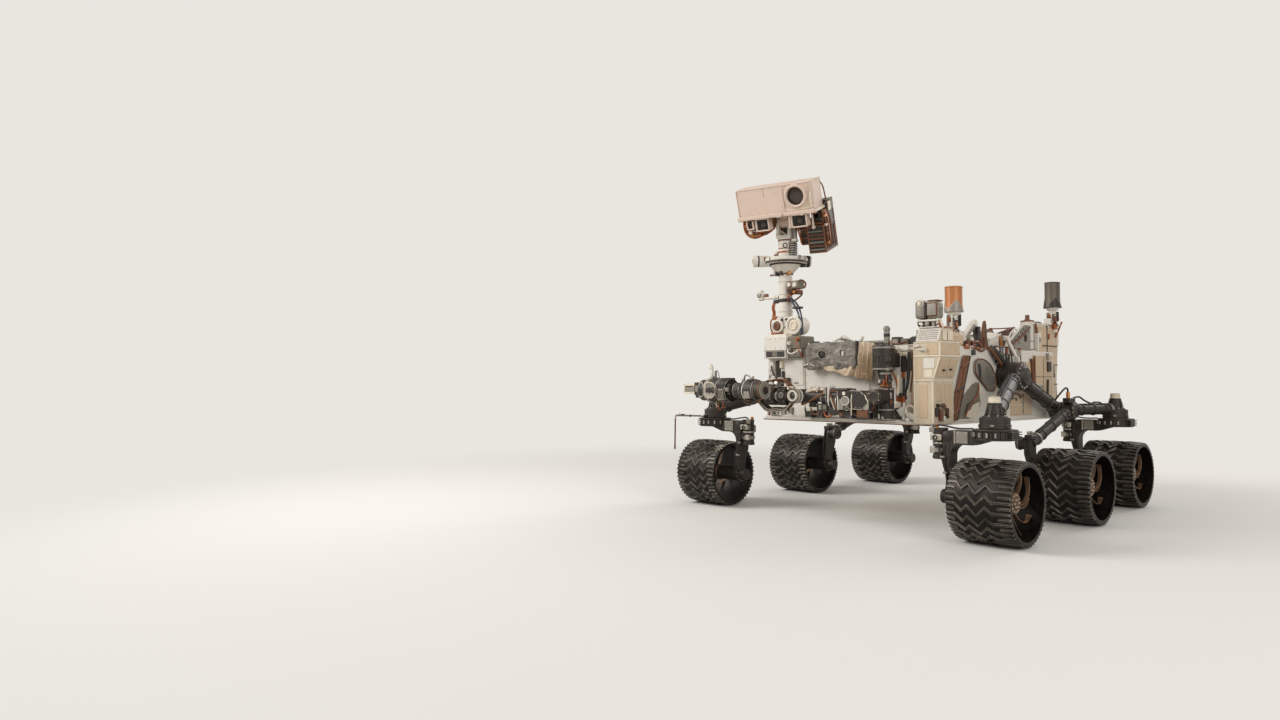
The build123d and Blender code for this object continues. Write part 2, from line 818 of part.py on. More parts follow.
# Ring and neck, drawn facing +X about the mast's axis and then panned
ring_top = mast_ring_z + mast_ring_thick
neck = upright(mast_ring_r, mast_ring_z, ring_top)
stub_table = (
    # turn from the facing direction, reach from the axis
    (-56, 262),
    (124, 200),
)
for turn, reach in stub_table:
    stub = across_x(pan_motor_r, mast_ring_r - 40, reach, 0, mast_ring_z + mast_ring_thick / 2)
    neck = neck + Rot(0, 0, turn) * stub
neck_top = ring_top + neck_height
neck = neck + upright(neck_r, ring_top, neck_top)
cheek_y = tilt_barrel_width / 2 + spin_gap
yoke_half = cheek_y + cheek_thick
yoke_depth = tilt_barrel_r + 2
neck = neck + block(-yoke_depth, yoke_depth, -yoke_half, yoke_half, neck_top - 10, neck_top + 16)
for side in (1, -1):
    y0 = side * cheek_y
    y1 = side * (cheek_y + cheek_thick)
    neck = neck + block(-tilt_barrel_r, tilt_barrel_r, y0, y1, neck_top, tilt_z)
    neck = neck + across_y(tilt_barrel_r, y0, y1, 0, tilt_z)

# Head, drawn level about its tilt axis and then pitched down
front = head_forward + head_depth / 2
back = head_forward - head_depth / 2
half_head = head_width / 2
head = block(back, front, -half_head, half_head, head_clear, head_clear + head_height)
head = chamfer(head.edges(), head_edge)
shelf_z = head_clear - ledge_reach
ledge_half = half_head + 5
ledge_front = front + ledge_reach
head = head + block(back + 10, ledge_front, -ledge_half, ledge_half, shelf_z, shelf_z + ledge_thick)
window_z = head_clear + head_height * window_share
head = head + across_x(window_r + window_rim, front - 4, front + 14, window_side, window_z)
head = head - across_x(window_r, front - 40, front + 20, window_side, window_z)
barrel_half = tilt_barrel_width / 2
keel = across_y(tilt_barrel_r, -barrel_half, barrel_half, 0, 0)
keel = keel + block(-34, 34, -barrel_half + 4, barrel_half - 4, 0, head_clear - 10)
eye_table = (
    # y, width, height, of the camera housings under the head's front edge
    (-232, 62, 84),
    (-126, 118, 104),
    (182, 132, 104),
)
eyes = []
for y, width, height in eye_table:
    eye = block(front - eye_depth, front + 6, y - width / 2, y + width / 2, shelf_z - height, shelf_z)
    pane_half = width * (0.5 - eye_rim_share)
    rim = height * eye_rim_share
    pane = block(front - 14, front + 10, y - pane_half, y + pane_half, shelf_z - height + rim, shelf_z - rim)
    eyes.append(eye - pane)
housing_y1 = half_head + 26
housing_x0 = back - housing_back
housing_top = shelf_z - housing_room
housing = block(housing_x0, back + 116, housing_y0, housing_y1, shelf_z - housing_drop, housing_top)
housing = housing + block(housing_x0, back, housing_y0, housing_y1, housing_top - 2, shelf_z + housing_rise)

mast_turn = Pos(mast_x, mast_y, 0) * Rot(0, 0, head_pan)
head_place = mast_turn * Pos(0, 0, tilt_z) * Rot(0, head_pitch, 0)
save("mast_neck", mast_turn * neck)
save("mast_head", head_place * (head + keel))
save("head_cameras", head_place * Compound(children=eyes))
save("head_housing", head_place * housing)

# Arm mount: a drum above and a bearing below the shoulder, on brackets from the body
top_x = shoulder_x - arm_top_back
top_y = shoulder_y - arm_top_side
bracket_y0 = shoulder_y - bracket_half
bracket_y1 = shoulder_y + bracket_half
bracket_z0 = shoulder_high + bracket_low
bracket_z1 = shoulder_high + bracket_high
top_drum = upright(arm_top_r, shoulder_high + spin_gap, shoulder_high + arm_top_height, top_x, top_y)
bracket = block(body_front, shoulder_x, bracket_y0, bracket_y1, bracket_z0, bracket_z1)
bottom_z0 = shoulder_low - arm_bottom_height
bottom_drum = upright(arm_bottom_r, bottom_z0, shoulder_low - spin_gap, shoulder_x, shoulder_y)
low_bracket = block(body_front, shoulder_x, bracket_y0 - 6, bracket_y1 + 6, bottom_z0 + 4, shoulder_low - 20)
arm_mount = Compound(children=[top_drum + bracket, bottom_drum + low_bracket])
save("arm_mount", arm_mount)

# Shoulder: the upright that turns, with a barrel for the upper arm
shoulder_face = shoulder_x + shoulder_r
column = upright(shoulder_r * 0.72, shoulder_low, shoulder_high, shoulder_x, shoulder_y)
column = column + upright(shoulder_r, shoulder_low, shoulder_z + 62, shoulder_x, shoulder_y)
column = column + across_x(shoulder_r, shoulder_x, shoulder_face + 6, shoulder_y, shoulder_z)
save("arm_shoulder", column)

# Upper arm, forearm and wrist lie in planes one in front of the other
upper_x0 = shoulder_face + 6 + spin_gap
upper_x1 = upper_x0 + 2 * upper_r + 2 * barrel_lap
upper_x = (upper_x0 + upper_x1) / 2
elbow_y = shoulder_y - upper_length
upper = across_x(shoulder_r, upper_x0, upper_x1, shoulder_y, shoulder_z)
upper = upper + across_y(upper_r, elbow_y, shoulder_y, upper_x, shoulder_z)
upper = upper + across_x(elbow_r, upper_x0, upper_x1, elbow_y, shoulder_z)
upper_table = (
    # y from the shoulder, length, drop below the tube
    (-150, 40, 30),
    (-336, 66, 34),
    (-410, 52, 12),
)
for y, length, drop in upper_table:
    y0 = shoulder_y + y - length / 2
    upper = upper + across_y(upper_drum_r, y0, y0 + length, upper_x, shoulder_z - drop)
gear_y = shoulder_y - upper_box_y
gear_z0 = shoulder_z - upper_box_drop
gear_z1 = shoulder_z + upper_r + 2
gear_box = block(upper_x0, upper_x1, gear_y - upper_box_length, gear_y, gear_z0, gear_z1)
upper = upper + chamfer(gear_box.edges().filter_by(Axis.Y), 18)
plate_x = upper_x + upper_r - 5
plate_face = make_face(
    Polyline(
        (shoulder_y - 190, shoulder_z - 86),
        (shoulder_y - 92, shoulder_z - 92),
        (shoulder_y - 40, shoulder_z - 10),
        (shoulder_y - 92, shoulder_z + 36),
        (shoulder_y - 190, shoulder_z + 42),
        close=True,
    )
)
upper = upper + Pos(plate_x, 0, 0) * extrude(Plane.YZ * plate_face, amount=upper_plate_thick)
save("arm_upper", upper)

fore_x0 = upper_x1 + spin_gap
fore_x1 = fore_x0 + 2 * forearm_r + 2 * barrel_lap + link_gap
fore_x = fore_x0 + link_gap + barrel_lap + forearm_r
wrist_y = elbow_y - forearm_length
fore = across_x(elbow_r, fore_x0, fore_x1, elbow_y, shoulder_z)
fore = fore + across_y(forearm_r, wrist_y, elbow_y, fore_x, shoulder_z)
fore = fore + across_x(wrist_r, fore_x0 + link_gap, fore_x1, wrist_y, shoulder_z)
fore_table = (
    # y from the elbow, length of the motor box
    (-96, 70),
    (-214, 92),
)
for y, length in fore_table:
    y0 = elbow_y + y - length / 2
    box_z0 = shoulder_z - fore_box_half
    motor_box = block(fore_x0 + 2, fore_x1, y0, y0 + length, box_z0, shoulder_z + fore_box_half)
    fore = fore + chamfer(motor_box.edges().filter_by(Axis.Y), 16)
save("arm_forearm", fore)

# Wrist: a barrel in front of the forearm and a saddle on the turret's back
wrist_x0 = fore_x1 + spin_gap
turret_x = wrist_x0 + turret_gap + turret_r
turret_z = shoulder_z + turret_rise
wrist = across_x(wrist_r, wrist_x0, wrist_x0 + turret_gap - 8, wrist_y, shoulder_z)
wrist = wrist + block(wrist_x0, wrist_x0 + 16, wrist_y - 30, wrist_y + 30, shoulder_z, turret_z + 46)
saddle_y0 = wrist_y - saddle_width / 2
saddle_y1 = wrist_y + saddle_width / 2
wrist = wrist + across_y(saddle_r, saddle_y0, saddle_y1, turret_x, turret_z)
wrist = wrist + block(wrist_x0, turret_x, wrist_y - 30, wrist_y + 30, turret_z - 40, turret_z + 40)
wrist = wrist - across_y(saddle_shaft_r + seat_gap, saddle_y0 - 1, saddle_y1 + 1, turret_x, turret_z)
save("arm_wrist", wrist)

# Turret: a row of instrument drums on one shaft, which turns in the saddle
turret_table = (
    # y from the wrist, length, radius
    (-332, 68, 80),
    (-234, 128, turret_r),
    (-122, 84, 84),
    (126, 94, 78),
    (206, 64, 66),
)
turret_y0 = wrist_y - 440
turret_y1 = wrist_y + 238
turret = across_y(turret_shaft_r, turret_y0, saddle_y0 - spin_gap, turret_x, turret_z)
turret = turret + across_y(turret_shaft_r, saddle_y1 + spin_gap, turret_y1, turret_x, turret_z)
turret = turret + across_y(saddle_shaft_r, turret_y0, turret_y1, turret_x, turret_z)
for y, length, radius in turret_table:
    y0 = wrist_y + y - length / 2
    turret = turret + across_y(radius, y0, y0 + length, turret_x, turret_z)
end_box = block(turret_x - 50, turret_x + 40, turret_y0 - 112, turret_y0 + 30, turret_z - 26, turret_z + 46)
turret = turret + end_box
save("arm_turret", turret)
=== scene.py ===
import json
from math import cos, pi, radians, sin

import bmesh
import bpy
from mathutils import Matrix, Vector, noise


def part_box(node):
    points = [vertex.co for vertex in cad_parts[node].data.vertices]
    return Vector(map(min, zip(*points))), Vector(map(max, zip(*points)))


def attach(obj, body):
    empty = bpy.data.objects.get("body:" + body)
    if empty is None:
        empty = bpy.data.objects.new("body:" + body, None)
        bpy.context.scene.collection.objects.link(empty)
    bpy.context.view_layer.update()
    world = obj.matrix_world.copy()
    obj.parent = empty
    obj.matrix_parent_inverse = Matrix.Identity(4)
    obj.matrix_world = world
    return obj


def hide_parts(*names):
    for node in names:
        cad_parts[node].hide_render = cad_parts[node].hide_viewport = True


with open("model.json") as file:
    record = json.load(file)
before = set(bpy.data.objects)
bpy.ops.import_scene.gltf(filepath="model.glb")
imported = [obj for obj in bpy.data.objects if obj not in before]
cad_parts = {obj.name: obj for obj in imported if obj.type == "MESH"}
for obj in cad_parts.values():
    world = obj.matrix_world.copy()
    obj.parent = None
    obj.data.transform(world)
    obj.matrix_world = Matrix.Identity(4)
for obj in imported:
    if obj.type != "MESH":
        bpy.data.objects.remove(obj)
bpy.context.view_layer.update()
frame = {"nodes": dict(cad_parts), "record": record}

# Camera: stands ahead of the rover on its left, a metre up, and looks slightly above level.
# Its place and lens were fitted to the six wheels in the photograph.
camera = bpy.data.objects.new("camera", bpy.data.cameras.new("camera"))
camera.data.sensor_width = 36
camera.data.lens = 23.115
camera.location = (6.2114, 3.5305, 0.9854)
camera.rotation_euler = (radians(91.688), 0, radians(138.4))
bpy.context.scene.collection.objects.link(camera)
bpy.context.scene.camera = camera

# Studio: a pale floor, a pale backdrop that only the camera and reflections see, and three
# large soft lamps. The strongest stands where the photograph's sun does, ahead on the right.
view = bpy.context.scene.view_settings
view.view_transform = "Standard"


def linear(code):
    parts = [int(code[i : i + 2], 16) / 255 for i in (1, 3, 5)]
    return [p / 12.92 if p <= 0.04045 else ((p + 0.055) / 1.055) ** 2.4 for p in parts] + [1]


def node(tree, kind, inputs=None, **settings):
    made = tree.nodes.new(kind)
    for key, value in settings.items():
        setattr(made, key, value)
    for key, value in (inputs or {}).items():
        if isinstance(value, bpy.types.NodeSocket):
            tree.links.new(value, made.inputs[key])
        else:
            made.inputs[key].default_value = value
    return made


backdrop_colour = linear("#E9E6E0")
world = bpy.data.worlds.new("studio")
world.use_nodes = True
world.node_tree.nodes.clear()
sky = world.node_tree
rays = node(sky, "ShaderNodeLightPath")
seen = node(sky, "ShaderNodeMath", {0: rays.outputs["Is Camera Ray"],
    1: rays.outputs["Is Glossy Ray"]}, operation="MAXIMUM")
seen = node(sky, "ShaderNodeMath", {0: seen.outputs[0], 1: rays.outputs["Is Transmission Ray"]},
    operation="MAXIMUM")
lit = node(sky, "ShaderNodeBackground", {"Color": linear("#F2F1F0"), "Strength": 0.42})
shown = node(sky, "ShaderNodeBackground", {"Color": backdrop_colour, "Strength": 1.0})
both = node(sky, "ShaderNodeMixShader", {0: seen.outputs[0], 1: lit.outputs[0],
    2: shown.outputs[0]})
node(sky, "ShaderNodeOutputWorld", {"Surface": both.outputs[0]})
bpy.context.scene.world = world

lamp_table = (
    # name, place, size, watts
    ("key", (6.5, -5.2, 6.0), 5.0, 620),
    ("fill", (4.5, 8.0, 4.5), 6.0, 330),
    ("rear", (-7.5, 1.0, 6.0), 6.0, 330),
)
aim = Vector((0, 0, 0.9))
for name, place, size, watts in lamp_table:
    lamp = bpy.data.objects.new("lamp_" + name, bpy.data.lights.new("lamp_" + name, "AREA"))
    lamp.data.shape = "DISK"
    lamp.data.size = size
    lamp.data.energy = watts
    lamp.location = place
    lamp.rotation_euler = (aim - Vector(place)).to_track_quat("-Z", "Y").to_euler()
    bpy.context.scene.collection.objects.link(lamp)

floor_reach = 60
floor_mesh = bpy.data.meshes.new("floor")
floor_mesh.from_pydata([(x * floor_reach, y * floor_reach, 0) for x,
    y in ((-1, -1), (1, -1), (1, 1), (-1, 1))], [], [(0, 1, 2, 3)])
floor = bpy.data.objects.new("floor", floor_mesh)
bpy.context.scene.collection.objects.link(floor)
floor_look = bpy.data.materials.new("matt floor paint")
floor_look.use_nodes = True
tree = floor_look.node_tree
tree.nodes.clear()
place = node(tree, "ShaderNodeTexCoord")
rays = node(tree, "ShaderNodeLightPath")
away = node(tree, "ShaderNodeVectorMath", {0: place.outputs["Object"]}, operation="LENGTH")
fade = node(tree, "ShaderNodeMapRange", {0: away.outputs["Value"], 1: 3.0, 2: 7.5},
    interpolation_type="SMOOTHSTEP")
fade = node(tree, "ShaderNodeMath", {0: fade.outputs[0], 1: rays.outputs["Is Camera Ray"]},
    operation="MULTIPLY")
paint = node(tree, "ShaderNodeBsdfPrincipled", {"Base Color": linear("#DDD9D2"), "Roughness": 0.9})
glow = node(tree, "ShaderNodeEmission", {"Color": backdrop_colour, "Strength": 1.0})
both = node(tree, "ShaderNodeMixShader",
    {0: fade.outputs[0], 1: paint.outputs[0], 2: glow.outputs[0]})
node(tree, "ShaderNodeOutputMaterial", {"Surface": both.outputs[0]})
floor_mesh.materials.append(floor_look)


# Wheels: each is machined from one aluminium block and black anodised. A thin crowned skin
# carries 24 zigzag lugs, and six pairs of curved spokes join it to a bolted hub. Dust lies
# in the corners. The lugs are painted a paler black than the skin as a painted highlight,
# their pale edges are partly wear and partly painted highlight, and the darker skin between
# them is painted shade.
def coated(name, colour, worn, dust, metallic=0.0, roughness=0.6, dusty=0.5, edge=0.5, grain=0.0012,
        relief=0.25):
    look = bpy.data.materials.new(name)
    look.use_nodes = True
    tree = look.node_tree
    tree.nodes.clear()
    place = node(tree, "ShaderNodeTexCoord")
    shape = node(tree, "ShaderNodeNewGeometry")
    here = place.outputs["Object"]
    patches = node(tree, "ShaderNodeTexNoise", {"Vector": here, "Scale": 9.0, "Detail": 5.0})
    grit = node(tree, "ShaderNodeTexNoise", {"Vector": here, "Scale": 0.25 / grain, "Detail": 3.0})
    round_edge = node(tree, "ShaderNodeBevel", {"Radius": 0.004}, samples=4)
    turn = node(tree, "ShaderNodeVectorMath",
        {0: round_edge.outputs[0], 1: shape.outputs["Normal"]}, operation="DOT_PRODUCT")
    rim = node(tree, "ShaderNodeMapRange",
        {0: turn.outputs["Value"], 1: 0.99, 2: 0.86, 3: 0.0, 4: 1.0})
    rub = node(tree, "ShaderNodeMapRange",
        {0: patches.outputs["Fac"], 1: 0.35, 2: 0.6, 3: 0.0, 4: edge})
    rubbed = node(tree, "ShaderNodeMath", {0: rim.outputs[0], 1: rub.outputs[0]},
        operation="MULTIPLY")
    up = node(tree, "ShaderNodeSeparateXYZ", {0: place.outputs["Normal"]})
    lie = node(tree, "ShaderNodeMapRange", {0: up.outputs["Z"], 1: -0.3, 2: 1.0, 3: 0.25, 4: 1.0})
    cloud = node(tree, "ShaderNodeTexNoise",
        {"Vector": here, "Scale": 22.0, "Detail": 8.0, "Roughness": 0.65})
    patch = node(tree, "ShaderNodeMapRange",
        {0: cloud.outputs["Fac"], 1: 0.38, 2: 0.68, 3: 0.0, 4: dusty})
    dusted = node(tree, "ShaderNodeMath", {0: lie.outputs[0], 1: patch.outputs[0]},
        operation="MULTIPLY")
    shade = [c * 0.86 for c in linear(colour)[:3]] + [1]
    tone = node(tree, "ShaderNodeMix", {0: patches.outputs["Fac"], 6: shade, 7: linear(colour)},
        data_type="RGBA")
    with_wear = node(tree, "ShaderNodeMix",
        {0: rubbed.outputs[0], 6: tone.outputs[2], 7: linear(worn)}, data_type="RGBA")
    with_dust = node(tree, "ShaderNodeMix",
        {0: dusted.outputs[0], 6: with_wear.outputs[2], 7: linear(dust)}, data_type="RGBA")
    dull = node(tree, "ShaderNodeMapRange",
        {0: dusted.outputs[0], 1: 0.0, 2: 1.0, 3: roughness, 4: 0.92})
    relief = {"Height": grit.outputs["Fac"], "Strength": relief, "Distance": grain,
        "Normal": round_edge.outputs[0]}
    bump = node(tree, "ShaderNodeBump", relief)
    finish = {"Base Color": with_dust.outputs[2], "Metallic": metallic,
        "Roughness": dull.outputs[0], "Normal": bump.outputs[0]}
    surface = node(tree, "ShaderNodeBsdfPrincipled", finish)
    node(tree, "ShaderNodeOutputMaterial", {"Surface": surface.outputs[0]})
    return look


# The skin and the lugs are two copies of one black anodised metal: the lugs are painted paler as a
# painted highlight, and the darker skin between them is painted shade. The lugs' pale rubbed edges
# are partly wear and partly painted highlight.
wheel_skin = coated("black anodised aluminium", "#191715", "#8A7A68", "#54422F", metallic=0.7,
    roughness=0.38, dusty=0.35, edge=0.7)
lug_painted_highlight_and_wear = coated("black anodised lug, painted highlight and wear", "#3A3733", "#BDB2A2", "#62503F",
    metallic=0.8, roughness=0.3, dusty=0.3, edge=1.0)
dusty_spoke = coated("dusty titanium spoke", "#5C4636", "#C4A07A", "#9C744F", metallic=0.35,
    roughness=0.55, dusty=1.0, edge=0.9)
steel = coated("zinc-plated steel", "#B7B0A4", "#D9D3C8", "#8F7256", metallic=1.0, roughness=0.32,
    dusty=0.3, edge=0.3)


def ring_copies(mesh, count, axis, look):
    """The mesh repeated evenly round an axis through the origin, as one plain mesh."""
    tree = bpy.data.node_groups.new("ring_copies", "GeometryNodeTree")
    face = tree.interface
    face.new_socket("Geometry", in_out="INPUT", socket_type="NodeSocketGeometry")
    number = face.new_socket("Count", in_out="INPUT", socket_type="NodeSocketInt")
    turn = face.new_socket("Axis", in_out="INPUT", socket_type="NodeSocketVector")
    face.new_socket("Geometry", in_out="OUTPUT", socket_type="NodeSocketGeometry")
    given = node(tree, "NodeGroupInput")
    spots = node(tree, "GeometryNodePoints", {"Count": given.outputs["Count"]})
    index = node(tree, "GeometryNodeInputIndex")
    share = node(tree, "ShaderNodeMath", {0: index.outputs[0], 1: given.outputs["Count"]},
        operation="DIVIDE")
    angle = node(tree, "ShaderNodeMath", {0: share.outputs[0], 1: 2 * pi}, operation="MULTIPLY")
    spin = node(tree, "FunctionNodeAxisAngleToRotation",
        {"Axis": given.outputs["Axis"], "Angle": angle.outputs[0]})
    each = {"Points": spots.outputs[0], "Instance": given.outputs["Geometry"],
        "Rotation": spin.outputs[0]}
    copies = node(tree, "GeometryNodeInstanceOnPoints", each)
    real = node(tree, "GeometryNodeRealizeInstances", {"Geometry": copies.outputs[0]})
    painted = node(tree, "GeometryNodeSetMaterial", {"Geometry": real.outputs[0], "Material": look})
    node(tree, "NodeGroupOutput", {"Geometry": painted.outputs[0]})
    holder = bpy.data.objects.new("ring_copies", mesh)
    bpy.context.scene.collection.objects.link(holder)
    step = holder.modifiers.new("copies", "NODES")
    step.node_group = tree
    step[number.identifier] = count
    step[turn.identifier] = axis
    bpy.context.view_layer.update()
    result = bpy.data.meshes.new_from_object(
        holder.evaluated_get(bpy.context.evaluated_depsgraph_get()))
    bpy.data.objects.remove(holder)
    return result


def lathe(form, profile, base, toward, look=0, steps=24):
    """Adds a turned shape to form: profile is (distance along the axis, radius) pairs."""
    run = Vector(toward).normalized()
    side = run.orthogonal().normalized()
    other = run.cross(side)
    rings = []
    for along, radius in profile:
        centre = Vector(base) + run * along
        if radius < 1e-6:
            rings.append([form.verts.new(centre)])
            continue
        spots = [radius * (side * cos(a) + other * sin(a))
            for a in (2 * pi * n / steps for n in range(steps))]
        rings.append([form.verts.new(centre + spot) for spot in spots])
    for low, high in zip(rings, rings[1:]):
        for n in range(steps):
            m = (n + 1) % steps
            corners = [low[n % len(low)], low[m % len(low)], high[m % len(high)],
                high[n % len(high)]]
            corners = list(dict.fromkeys(corners))
            if len(corners) > 2:
                made = form.faces.new(corners)
                made.material_index = look
                made.smooth = True


def band(low, high, inner, outer):
    """The profile of a plain ring, for lathe."""
    return [(low, inner), (low, outer), (high, outer), (high, inner)]


def finish(form, name, looks, body, slot=None, hides=(), flat=False):
    """Turns form into a finished piece that rides on a body and may stand for CAD nodes."""
    bmesh.ops.remove_doubles(form, verts=form.verts, dist=0.00002)
    bmesh.ops.recalc_face_normals(form, faces=form.faces)
    made = bpy.data.meshes.new(name)
    form.to_mesh(made)
    form.free()
    return keep(made, name, looks, body, hides, flat)


def keep(made, name, looks, body, hides=(), flat=False):
    """Makes a mesh into a piece with its materials and its place in the frame."""
    for look in looks:
        made.materials.append(look)
    if not flat:
        made.set_sharp_from_angle(angle=radians(35))
    piece = bpy.data.objects.new(name, made)
    bpy.context.scene.collection.objects.link(piece)
    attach(piece, body)
    if hides:
        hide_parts(*hides)
    return piece


wheel_low, wheel_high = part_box("wheel_front_left")
wheel_half = (wheel_high.y - wheel_low.y) / 2
wheel_tip = (wheel_high.z - wheel_low.z) / 2
lug_high = 0.0125
lug_count = 24
skin_r = wheel_tip - lug_high
crown = 0.007
skin_wall = 0.006
lug_pitch = 2 * pi * skin_r / lug_count

# Zigzag of one lug: (share of the width, share of the pitch)
lug_line = ((0, 0), (0.15, 0.02), (0.25, 0.62), (0.34, 0.12), (0.48, 0.98), (0.62, 0.15),
    (0.73, 0.68), (0.86, 0.62), (1, 0.62))


def skin_at(share):
    """The skin's radius at a share of the wheel's width."""
    return skin_r - crown * (2 * share - 1) ** 4


def lug_strip(line):
    """One lug's mesh, along a line of (share of the width, share of the pitch)."""
    form = bmesh.new()
    rows = []
    for n, (share, lag) in enumerate(line):
        before = line[max(n - 1, 0)]
        after = line[min(n + 1, len(line) - 1)]
        y = (2 * share - 1) * (wheel_half - 0.002)
        run = Vector(((after[0] - before[0]) * 2 * wheel_half, (after[1] - before[1]) * lug_pitch))
        slope = min(abs(run.y / run.x), 1.2)
        row = []
        for up, wide in ((-0.004, 0.0084), (lug_high * 0.88, 0.0062), (lug_high, 0.0050)):
            for sign in (1, -1):
                swing = (lag * lug_pitch + sign * wide * (1 + slope * 0.45)) / skin_r
                reach = skin_at(share) + up
                row.append(form.verts.new((reach * sin(swing), y, reach * cos(swing))))
        rows.append([row[0], row[2], row[4], row[5], row[3], row[1]])
    for one, two in zip(rows, rows[1:]):
        for n in range(6):
            m = (n + 1) % 6
            form.faces.new((one[n], one[m], two[m], two[n]))
    form.faces.new(rows[0])
    form.faces.new(reversed(rows[-1]))
    bmesh.ops.recalc_face_normals(form, faces=form.faces)
    mesh = bpy.data.meshes.new("lug")
    form.to_mesh(mesh)
    form.free()
    return mesh


# The lugs take the paler copy of the black metal: a painted highlight, with edges that are partly
# worn and partly painted highlight.
lugs = ring_copies(lug_strip(lug_line), lug_count, (0, 1, 0), lug_painted_highlight_and_wear)
edge_lugs = [ring_copies(lug_strip(line), lug_count, (0, 1, 0), lug_painted_highlight_and_wear)
    for line in (((0, 0.50), (0.07, 0.50), (0.13, 0.56)), ((0.82, 0.14), (0.92, 0.12), (1, 0.12)))]

# Spokes, in pairs: each strap leaves the hub nearly sideways and curls out to the skin
hub_r = 0.066
hub_y = (-0.062, 0.124)
spoke_count = 6
spokes = []
for pair in (-1, 1):
    form = bmesh.new()
    rows = []
    for n in range(13):
        share = n / 12
        reach = hub_r - 0.006 + share * (skin_r - skin_wall - hub_r + 0.008)
        swing = radians(8 + 5 * pair + (42 + 13 * pair) * share**1.25)
        thick = 0.0088 - 0.003 * sin(pi * share)
        wide = 0.0165 - 0.005 * sin(pi * share)
        middle = 0.083 + 0.010 * pair + 0.026 * sin(pi * share * 0.9)
        row = []
        for across, turn in ((-wide, -thick / 2), (-wide, thick / 2), (0, thick * 0.9),
                (wide, thick / 2), (wide, -thick / 2), (0, -thick * 0.3)):
            a = swing + turn / reach
            row.append(form.verts.new((reach * sin(a), middle + across, reach * cos(a))))
        rows.append(row)
    for one, two in zip(rows, rows[1:]):
        for n in range(6):
            m = (n + 1) % 6
            form.faces.new((one[n], one[m], two[m], two[n])).smooth = True
    form.faces.new(rows[0])
    form.faces.new(reversed(rows[-1]))
    bmesh.ops.recalc_face_normals(form, faces=form.faces)
    spoke_mesh = bpy.data.meshes.new("spoke")
    form.to_mesh(spoke_mesh)
    form.free()
    spokes.append(ring_copies(spoke_mesh, spoke_count, (0, 1, 0), dusty_spoke))

# Hub bolts in two rings
bolts = []
for count, reach, base, radius in ((12, 0.052, hub_y[1], 0.0048),
        (6, 0.026, hub_y[1] + 0.004, 0.006)):
    form = bmesh.new()
    head = [(0, radius), (0.004, radius), (0.0052, radius * 0.8), (0.0052, 0)]
    lathe(form, head, (reach, base - 0.001, 0), (0, 1, 0), steps=8)
    bolt_mesh = bpy.data.meshes.new("bolt")
    form.to_mesh(bolt_mesh)
    form.free()
    bolts.append(ring_copies(bolt_mesh, count, (0, 1, 0), steel))

form = bmesh.new()
skin_profile = []
for n in range(13):
    share = n / 12
    skin_profile.append(((2 * share - 1) * wheel_half, skin_at(share)))
lip = skin_wall + 0.013
inside = [(wheel_half, skin_r - crown - lip), (wheel_half - 0.008, skin_r - crown - lip)]
inside += [(wheel_half - 0.010, skin_r - crown - skin_wall), (0, skin_r - skin_wall)]
inside += [(-wheel_half + 0.010, skin_r - crown - skin_wall),
    (-wheel_half + 0.008, skin_r - crown - lip)]
inside += [(-wheel_half, skin_r - crown - lip), (-wheel_half, skin_at(0))]
lathe(form, skin_profile + inside, (0, 0, 0), (0, 1, 0), steps=72)
hub_profile = [(hub_y[0], 0), (hub_y[0], hub_r - 0.006), (hub_y[0] + 0.01, hub_r - 0.002),
    (0.03, hub_r - 0.008), (0.045, hub_r)]
hub_profile += [(hub_y[1] - 0.004, hub_r), (hub_y[1], hub_r - 0.004), (hub_y[1], 0.040),
    (hub_y[1] - 0.006, 0.037)]
hub_profile += [(hub_y[1] - 0.006, 0.033), (hub_y[1] + 0.004, 0.031), (hub_y[1] + 0.004, 0)]
lathe(form, hub_profile, (0, 0, 0), (0, 1, 0), look=1, steps=36)
bmesh.ops.recalc_face_normals(form, faces=form.faces)
body_mesh = bpy.data.meshes.new("wheel")
form.to_mesh(body_mesh)
form.free()

for word in ("front_left", "front_right", "middle_left", "middle_right", "rear_left", "rear_right"):
    low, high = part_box("wheel_" + word)
    centre = (low + high) / 2
    centre.z = wheel_tip
    side = 1 if centre.y > 0 else -1
    place = Matrix.Translation(centre) @ Matrix.Diagonal((1, side, 1, 1))
    form = bmesh.new()
    form.from_mesh(body_mesh)
    for mesh, look in ((lugs, 3), (edge_lugs[0], 3), (edge_lugs[1], 3), (spokes[0], 1),
            (spokes[1], 1), (bolts[0], 2), (bolts[1], 2)):
        spots = [form.verts.new(v.co) for v in mesh.vertices]
        for polygon in mesh.polygons:
            face = form.faces.new([spots[n] for n in polygon.vertices])
            face.material_index = look
            face.smooth = polygon.use_smooth
    form.transform(place)
    if side < 0:
        bmesh.ops.reverse_faces(form, faces=form.faces)
    made = bpy.data.meshes.new("wheel_" + word)
    form.to_mesh(made)
    form.free()
    looks = (wheel_skin, dusty_spoke, steel, lug_painted_highlight_and_wear)
    keep(made, "wheel_shape_" + word, looks, "wheel_" + word, ("wheel_" + word,))

